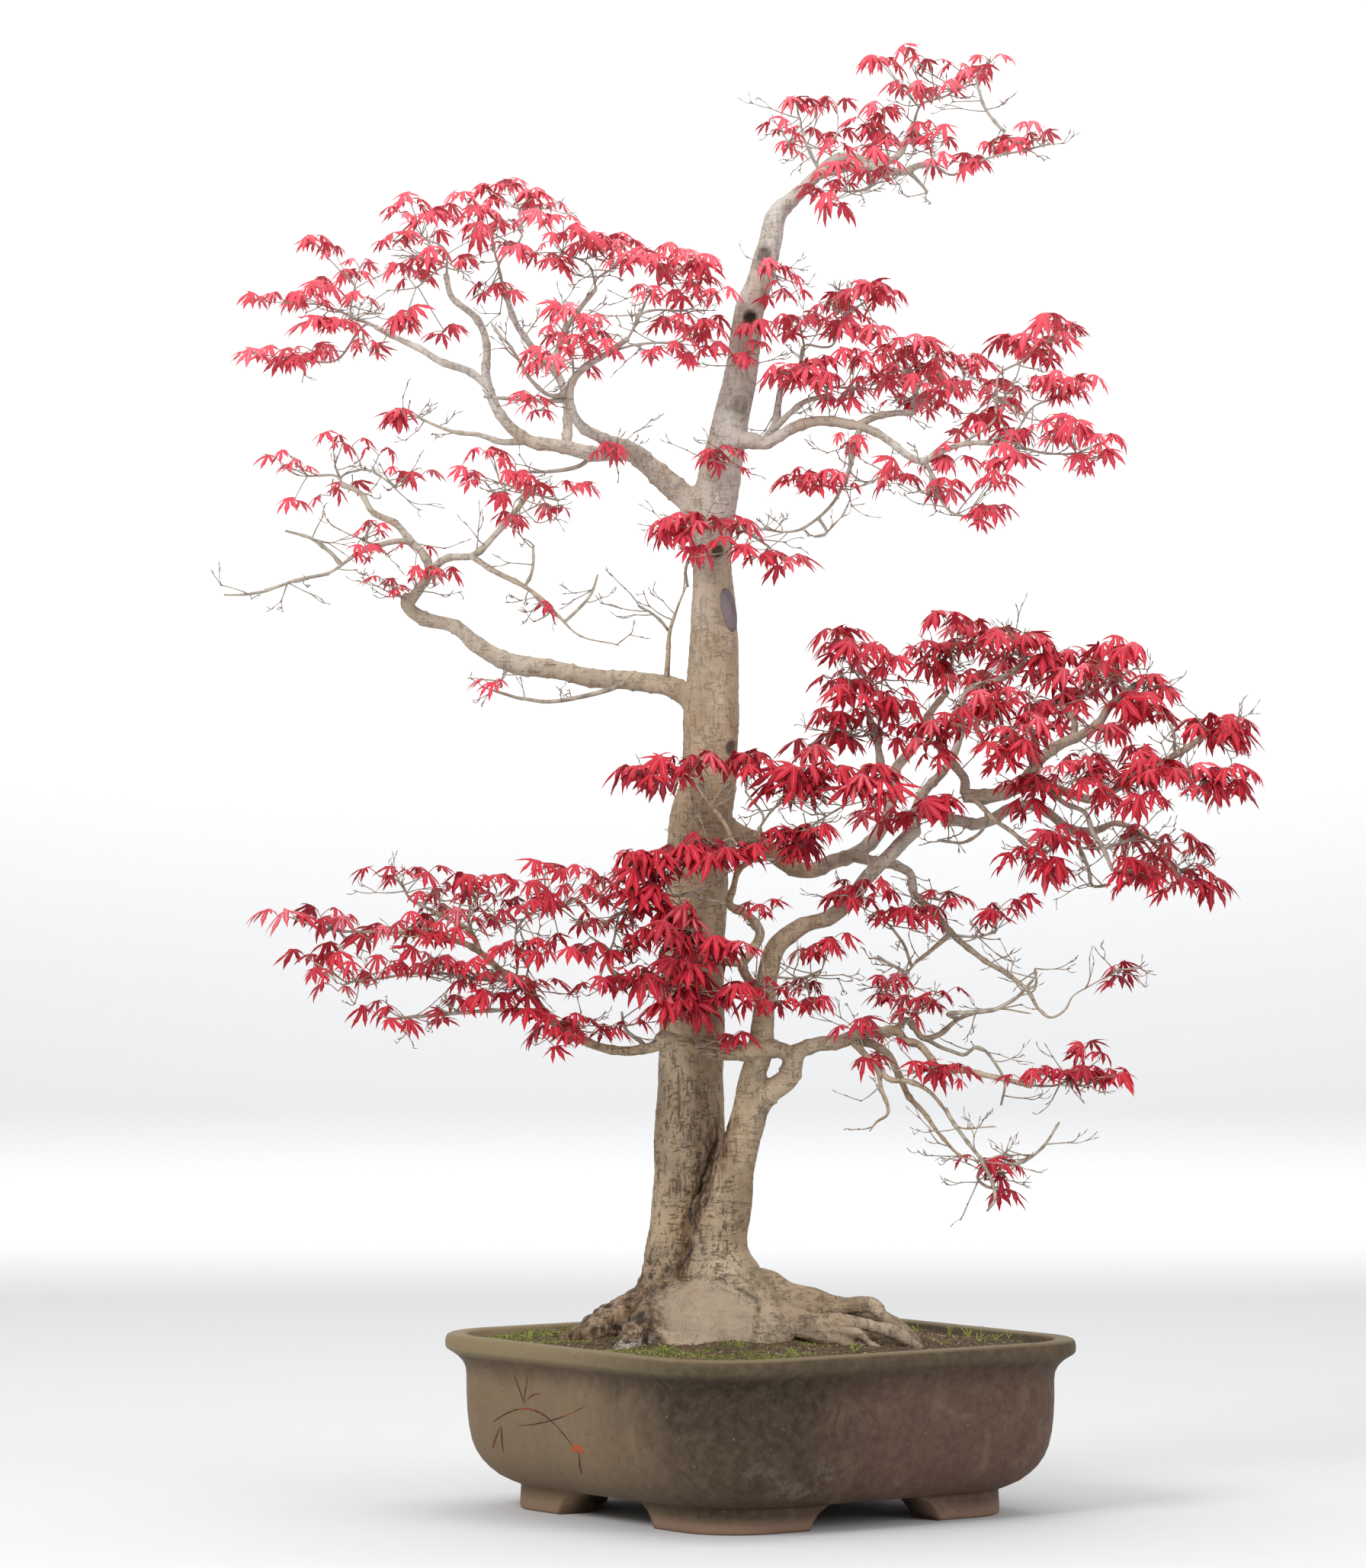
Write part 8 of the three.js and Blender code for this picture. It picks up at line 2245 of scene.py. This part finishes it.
    def add_shoots(self, base: Array, kink: Array, tip: Array, thick: Array, thin: Array,
                   has_bud: bool) -> None:
        """Adds thin shoots, each with a swollen joint at its start or a small pointed bud on its tip.

        Args:
            base: where they start, n x 3 in mm.
            kink: where they bend.
            tip: where they end.
            thick: radius at the start.
            thin: radius at the tip.
            has_bud: whether the tip has a bud in place of a joint.
        """
        points, faces = strands(base, kink, tip, thick, thin, 4, 4)
        self.bag.add(points, faces, pale=paleness(points))
        along = unit(tip - kink)
        reach = 2.4 if has_bud else 1.1
        low, middle, high = tip - along * 0.7, tip + along * 0.3, tip + along * reach
        points, faces = strands(low, middle, high, thin * 1.7, thin * 0.8, 3, 4)
        self.bag.add(points, faces, bud=0.9)

    def build(self) -> None:
        """Adds the bare twigs of the table and of the thin limbs, and makes one piece for each mass."""
        self.switch("bare")
        for index, rows in enumerate(BARE_TWIGS):
            path = tree_points(rows)
            start, _ = nearest_on(self.limbs, path[:1, :3])
            start[:, 3] = path[0, 3]
            if 2.0 < np.linalg.norm(start[0, :3] - path[0, :3]) < 40.0:
                path = np.concatenate([start, path])
            self.add_paths([path], 200 + index)
            self.add_bare([path], 2 + len(rows) // 2)
        for limb, path in zip(LIMBS, self.limbs):
            if path[0, 3] < 5 and not limb.name.startswith("root_"):
                self.add_bare([path], 3)
        finish = TwigFinish().material()
        for name, bag in self.bags.items():
            dress(bag.build(), finish, "bark", *spray_nodes(name))


def spray_nodes(mass: str) -> list:
    """The CAD nodes of the sprays of one leafy mass."""
    return [f"spray_{spray.name}" for spray in SPRAYS
            if spray.own_node and region_of(spray.name).value == mass]


@dataclass
class LeafShape:
    """One leaf: seven narrow pointed lobes, all from the stalk's end."""

    turns: tuple = (-124, -84, -42, 0, 42, 84, 124)
    lengths: tuple = (0.42, 0.76, 0.95, 1.0, 0.95, 0.76, 0.42)
    sinus: float = 0.24
    stations: tuple = ((0.44, 0.1), (0.62, 0.11), (0.66, 0.082), (0.84, 0.04))

    def template(self) -> tuple[dict, list]:
        """The leaf's points as arrays of lobe, turn, reach, side and across, and its faces.

        The points are the centre, then for each lobe its base on the midrib, the stations' left,
        middle and right points and the tip, then the points between the lobes.

        Returns:
            The arrays by name, and the faces as rows of four and of three numbers.
        """
        rows = [(3, 0.0, 0.0, 0.0, 0.0)]
        quads, triangles = [], []
        lobes = len(self.turns)
        per_lobe = 2 + 3 * len(self.stations)
        first_sinus = 1 + lobes * per_lobe
        for lobe, (turn, length) in enumerate(zip(self.turns, self.lengths)):
            base = 1 + lobe * per_lobe
            rows.append((lobe, turn, self.sinus * length * 1.1, 0.0, 0.0))
            for reach, width in self.stations:
                rows += [(lobe, turn, reach * length, width * length, 1.0),
                         (lobe, turn, reach * length, 0.0, 0.0),
                         (lobe, turn, reach * length, -width * length, 1.0)]
            rows.append((lobe, turn, length, 0.0, 0.4))
            left, right = first_sinus + lobe + 1, first_sinus + lobe
            triangles += [(0, base, left), (0, right, base)]
            quads += [(base, base + 2, base + 1, left), (base, right, base + 3, base + 2)]
            for station in range(len(self.stations) - 1):
                at = base + 1 + 3 * station
                quads += [(at + 1, at + 4, at + 3, at), (at + 2, at + 5, at + 4, at + 1)]
            at, tip = base + 1 + 3 * (len(self.stations) - 1), base + per_lobe - 1
            triangles += [(at + 1, tip, at), (at + 2, tip, at + 1)]
        edges = [-150, *[(a + b) / 2 for a, b in zip(self.turns, self.turns[1:])], 150]
        for number, turn in enumerate(edges):
            reach = 0.06 if number in (0, lobes) else self.sinus * (0.8 if number in (1, lobes - 1) else 1.0)
            rows.append((min(number, lobes - 1), turn, reach, 0.0, 1.0))
        lobe, turn, reach, side, across = np.array(rows).T
        shape = {"lobe": lobe.astype(int), "turn": np.radians(turn), "reach": reach, "side": side,
                 "across": across}
        return shape, [np.array(quads), np.array(triangles)]


# Length of a middle lobe in mm, and the mean number of leaves that stand beside each leaf of the table
LEAF_MEASURES = {
    Region.CROWN: (15.5, 1.6),
    Region.UPPER_LEFT: (16.5, 2.4),
    Region.UPPER_RIGHT: (17.8, 2.3),
    Region.MIDDLE_LEFT: (14.5, 0.9),
    Region.FRONT: (22.0, 3.0),
    Region.LOW_LEFT: (17.5, 0.9),
    Region.PAD: (20.0, 2.1),
    Region.LOW_RIGHT: (17.0, 1.3),
}


class Foliage:
    """The leaves of one mass with their stalks."""

    def __init__(self, region: Region, seed: int) -> None:
        """Starts an empty mass.

        Args:
            region: the mass.
            seed: of its random draws.
        """
        self.region = region
        self.bag = MeshBag(f"foliage_{region.value}")
        self.rng = np.random.default_rng(seed)
        self.shape, self.faces = LeafShape().template()
        self.lobes = len(LeafShape.turns)

    def add_spray(self, spray: Spray, index: int, paths: list, twigs: Twigs) -> None:
        """Adds the leaves of a spray in bunches, with their stalks and the twiglets that carry them.

        Args:
            spray: the row of the table.
            index: its number in the table, for the seed.
            paths: the spray's twigs.
            twigs: collects the twiglets.
        """
        rng = self.rng
        count = len(spray.leaves)
        draws = even_draws(97 * (index + 3), count * 4)
        depth = (spray.depth + spray.spread * (2 * draws[:count] - 1)) * TREE_DEPTH
        swing, size, droop = draws[count:].reshape(count, 3).T
        flat = np.array(spray.leaves, float)
        tops = np.stack([flat[:, 0], depth, flat[:, 1]], axis=-1)
        place, _ = nearest_on(paths, tops)
        outward = tops - place[:, :3]
        away = np.arctan2(outward[:, 1], outward[:, 0])
        heading = away + 0.7 * (2 * swing - 1)
        scale, crowd = LEAF_MEASURES[self.region]
        length = scale * (0.8 + 0.4 * size)
        level = np.stack([np.cos(heading), np.sin(heading), np.zeros(count)], axis=-1)
        reach = np.minimum(np.linalg.norm(outward, axis=1), 13) * rng.uniform(0.7, 1.0, count)
        joint = tops - level * (reach * 0.75)[:, None] - np.array([0, 0, 1.0]) * (reach * 0.45)[:, None]
        near = np.linalg.norm(outward, axis=1) < 4
        joint[near] = place[near, :3]
        base = place[:, :3]
        middle = (base + joint) / 2 + rng.normal(0, 0.8, (count, 3))
        thick = np.clip(place[:, 3] * 0.6, 0.36, 0.7)
        points, faces = strands(base, middle, joint, thick, np.full(count, 0.36), 4, 5)
        twigs.bag.add(points, faces, pale=paleness(points))
        self.add_leaves(tops, joint, heading, length, 0.8 + 0.4 * droop)
        span = np.maximum(reach, 5.0)[:, None]
        for number in range(math.ceil(crowd)):
            chosen = rng.uniform(0, 1, count) < crowd - number
            other = heading + (number + 1) * 2.4 + rng.normal(0, 0.35, count)
            flow = np.stack([np.cos(other), np.sin(other), rng.uniform(-0.9, 0.45, count)], axis=-1)
            top = joint + flow * span * rng.uniform(0.4, 0.8, (count, 1)) + np.array([0, 0, 0.3]) * span
            self.add_leaves(top[chosen], joint[chosen], other[chosen],
                            length[chosen] * rng.uniform(0.6, 1.05, chosen.sum()), 0.8 + 0.4 * droop[chosen])

    def add_leaves(self, tops: Array, joints: Array, heading: Array, length: Array, droop: Array) -> None:
        """Adds leaves and stalks.

        A lobe leaves the stalk's end at the angle a and hangs at the angle b at its tip, so at the
        share s its distance outwards is L (sin(a + (b-a)s) - sin a) / (b-a) and its fall is
        L (cos a - cos(a + (b-a)s)) / (b-a); points beside the midrib lie a little lower.

        Args:
            tops: where the stalk meets the blade, n x 3.
            joints: where the stalk leaves its twig.
            heading: direction of the middle lobe.
            length: length of the middle lobe.
            droop: how strongly the lobes hang, about 1.
        """
        rng, shape, lobes = self.rng, self.shape, self.lobes
        count = len(tops)
        if not count:
            return
        lobe, turn, reach, side = (shape[key] for key in ("lobe", "turn", "reach", "side"))
        start = (rng.uniform(-0.1, 0.45, (count, lobes)) * droop[:, None])[:, lobe]
        finish = np.maximum((rng.uniform(0.8, 1.45, (count, lobes)) * droop[:, None])[:, lobe], start + 0.2)
        spread = rng.uniform(0.8, 1.02, count)[:, None]
        long = (length[:, None] * (1 + rng.normal(0, 0.06, (count, lobes)))[:, lobe])
        bend = finish - start
        out = long * (np.sin(start + bend * reach) - np.sin(start)) / bend
        fall = long * (np.cos(start) - np.cos(start + bend * reach)) / bend
        angle = turn[None] * spread + rng.normal(0, 0.05, (count, lobes))[:, lobe]
        lateral = side[None] * long * rng.uniform(0.85, 1.15, count)[:, None]
        sag = np.abs(side)[None] * long * rng.uniform(0.15, 0.6, count)[:, None]
        forward = out * np.cos(angle) - lateral * np.sin(angle)
        across = out * np.sin(angle) + lateral * np.cos(angle)
        nod = rng.uniform(0.05, 0.5, count)[:, None] * droop[:, None]
        roll = rng.normal(0, 0.25, count)[:, None]
        down = fall + sag
        lean = forward * np.cos(nod) - down * np.sin(nod) * 0.4
        down = down * np.cos(nod) + forward * np.sin(nod)
        forward = lean
        tilt = across * np.cos(roll) + down * np.sin(roll)
        down = down * np.cos(roll) - across * np.sin(roll)
        across = tilt
        cos, sin = np.cos(heading)[:, None], np.sin(heading)[:, None]
        points = np.stack([forward * cos - across * sin, forward * sin + across * cos, -down], axis=-1)
        points += tops[:, None]
        per = len(lobe)
        step = np.arange(count)[:, None, None] * per
        faces = [(face[None] + step).reshape(-1, face.shape[1]) for face in self.faces]
        height = np.clip((tops[:, 2] - 430) / 260, 0, 1)
        tone = np.clip(rng.normal(0.3, 0.16, count) + 0.5 * height, 0, 1)
        stripe = (rng.uniform(0, 1, count) < 0.1 + 0.08 * height) * rng.uniform(0.4, 1.0, count)
        self.bag.add(points.reshape(-1, 3), faces, tone=np.repeat(tone, per), stripe=np.repeat(stripe, per),
                     across=np.tile(shape["across"], count), along=np.tile(reach, count))
        level = np.stack([np.cos(heading), np.sin(heading), np.zeros(count)], axis=-1)
        middle = tops - level * (0.3 * np.linalg.norm(tops - joints, axis=1))[:, None] + np.array([0, 0, 0.8])
        points, faces = strands(joints, middle, tops, np.full(count, 0.34), np.full(count, 0.26), 4, 3)
        self.bag.add(points, faces, stalk=1.0, tone=0.5, across=1.0)

    def build(self) -> None:
        """Makes the piece."""
        dress(self.bag.build(), LEAF, "foliage", *spray_nodes(self.region.value))


@dataclass
class Studio:
    """Plain pale floor and backdrop, soft lights and the camera."""

    distance: float = 4.524
    aside: float = -0.05
    height: float = 0.4785
    lens_width: float = 36.0
    focal_share: float = 9000 / 1792
    near_edge: float = -9.0
    half_width: float = 10.0
    wall: float = 7.0
    wall_top: float = 9.0
    bend: float = 1.4

    def backdrop(self) -> None:
        """A floor that bends up into a wall far behind: a profile carried along the X axis."""
        bend = np.linspace(0, math.pi / 2, 24)
        y = np.concatenate([[self.near_edge], self.wall - self.bend + self.bend * np.sin(bend), [self.wall]])
        z = np.concatenate([[0.0], self.bend - self.bend * np.cos(bend), [self.wall_top]])
        x = np.linspace(-self.half_width, self.half_width, 3)
        points = np.stack(np.broadcast_arrays(x[None, :, None], y[:, None, None], z[:, None, None]), axis=-1)
        points = points[:, :, 0]
        mesh = bpy.data.meshes.new("studio_floor")
        faces = ring_faces(len(y), 3, closed=False)
        mesh.from_pydata(points.reshape(-1, 3).tolist(), [], faces.tolist())
        mesh.polygons.foreach_set("use_smooth", np.ones(len(faces), bool))
        floor = bpy.data.objects.new("studio_floor", mesh)
        bpy.context.scene.collection.objects.link(floor)
        s = Shader("studio_white", 0.9)
        tone = s.noise(40, 3)
        low = s.mix(tone, (0.63, 0.633, 0.64), (0.65, 0.653, 0.66))
        wall = s.mix(tone, (0.85, 0.852, 0.855), (0.875, 0.877, 0.88))
        mesh.materials.append(s.finish(s.mix(s.axis("Z").ramp(0.0, 1.0), low, wall), 0.9))

    def light(self, name: str, place: tuple, aim: tuple, size: float, power: float) -> None:
        """Adds a soft square light.

        Args:
            name: the light's name.
            place: where it stands, in m.
            aim: what it points at.
            size: its side in m.
            power: in watts.
        """
        lamp = bpy.data.lights.new(name, "AREA")
        lamp.size = size
        lamp.energy = power
        holder = bpy.data.objects.new(name, lamp)
        bpy.context.scene.collection.objects.link(holder)
        holder.location = place
        way = np.array(aim, float) - np.array(place, float)
        pan = math.atan2(way[1], way[0]) - math.pi / 2
        tilt = math.atan2(way[2], math.hypot(way[0], way[1]))
        holder.rotation_euler = (math.pi / 2 + tilt, 0.0, pan)
        holder.visible_camera = False

    def build(self) -> None:
        """Sets up the world, the lights and the camera."""
        scene = bpy.context.scene
        world = bpy.data.worlds.new("studio_world")
        world.use_nodes = True
        back = world.node_tree.nodes["Background"]
        back.inputs["Color"].default_value = (1.0, 1.0, 1.0, 1.0)
        back.inputs["Strength"].default_value = 0.68
        scene.world = world
        scene.view_settings.view_transform = "Standard"
        self.backdrop()
        self.light("key", (-2.2, -2.6, 2.6), (0, 0, 0.5), 1.4, 95)
        self.light("fill", (2.6, -2.2, 1.6), (0, 0, 0.5), 1.8, 34)
        self.light("top", (0.2, 0.3, 3.2), (0, 0, 0.4), 2.2, 46)
        self.light("wall", (0.0, 3.2, 3.2), (0, self.wall, 1.6), 5.0, 138)
        camera = bpy.data.cameras.new("camera")
        camera.sensor_fit = "HORIZONTAL"
        camera.sensor_width = self.lens_width
        camera.lens = self.lens_width * self.focal_share
        camera.clip_end = 60
        holder = bpy.data.objects.new("camera", camera)
        bpy.context.scene.collection.objects.link(holder)
        holder.location = (POT_CENTRE[0] + self.aside, POT_CENTRE[1] - self.distance, self.height)
        holder.rotation_euler = (math.pi / 2, 0.0, 0.0)
        scene.camera = holder


def dress_screens() -> None:
    """Gives the drain screens their finish."""
    finish = NettingFinish().material()
    for name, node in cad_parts.items():
        if name.startswith("drain_screen"):
            node.data.materials.clear()
            node.data.materials.append(finish)


def main() -> None:
    """Builds the scene in order and notes its size."""
    logging.basicConfig(level=logging.INFO, format="%(message)s")
    Studio().build()
    Pot().build()
    Soil().build()
    wood = Wood()
    wood.build()
    dress_screens()
    twigs = Twigs(wood)
    masses = {region: Foliage(region, 50 + number) for number, region in enumerate(Region)}
    for index, spray in enumerate(SPRAYS):
        twigs.switch(region_of(spray.name).value)
        paths = twigs.grow(spray)
        twigs.add_paths(paths, index)
        twigs.add_bare(paths, 3 + len(spray.leaves) // 2)
        masses[region_of(spray.name)].add_spray(spray, index, paths, twigs)
    twigs.build()
    for mass in masses.values():
        mass.build()


LEAF = LeafFinish().material()

if __name__ == "__main__":
    main()
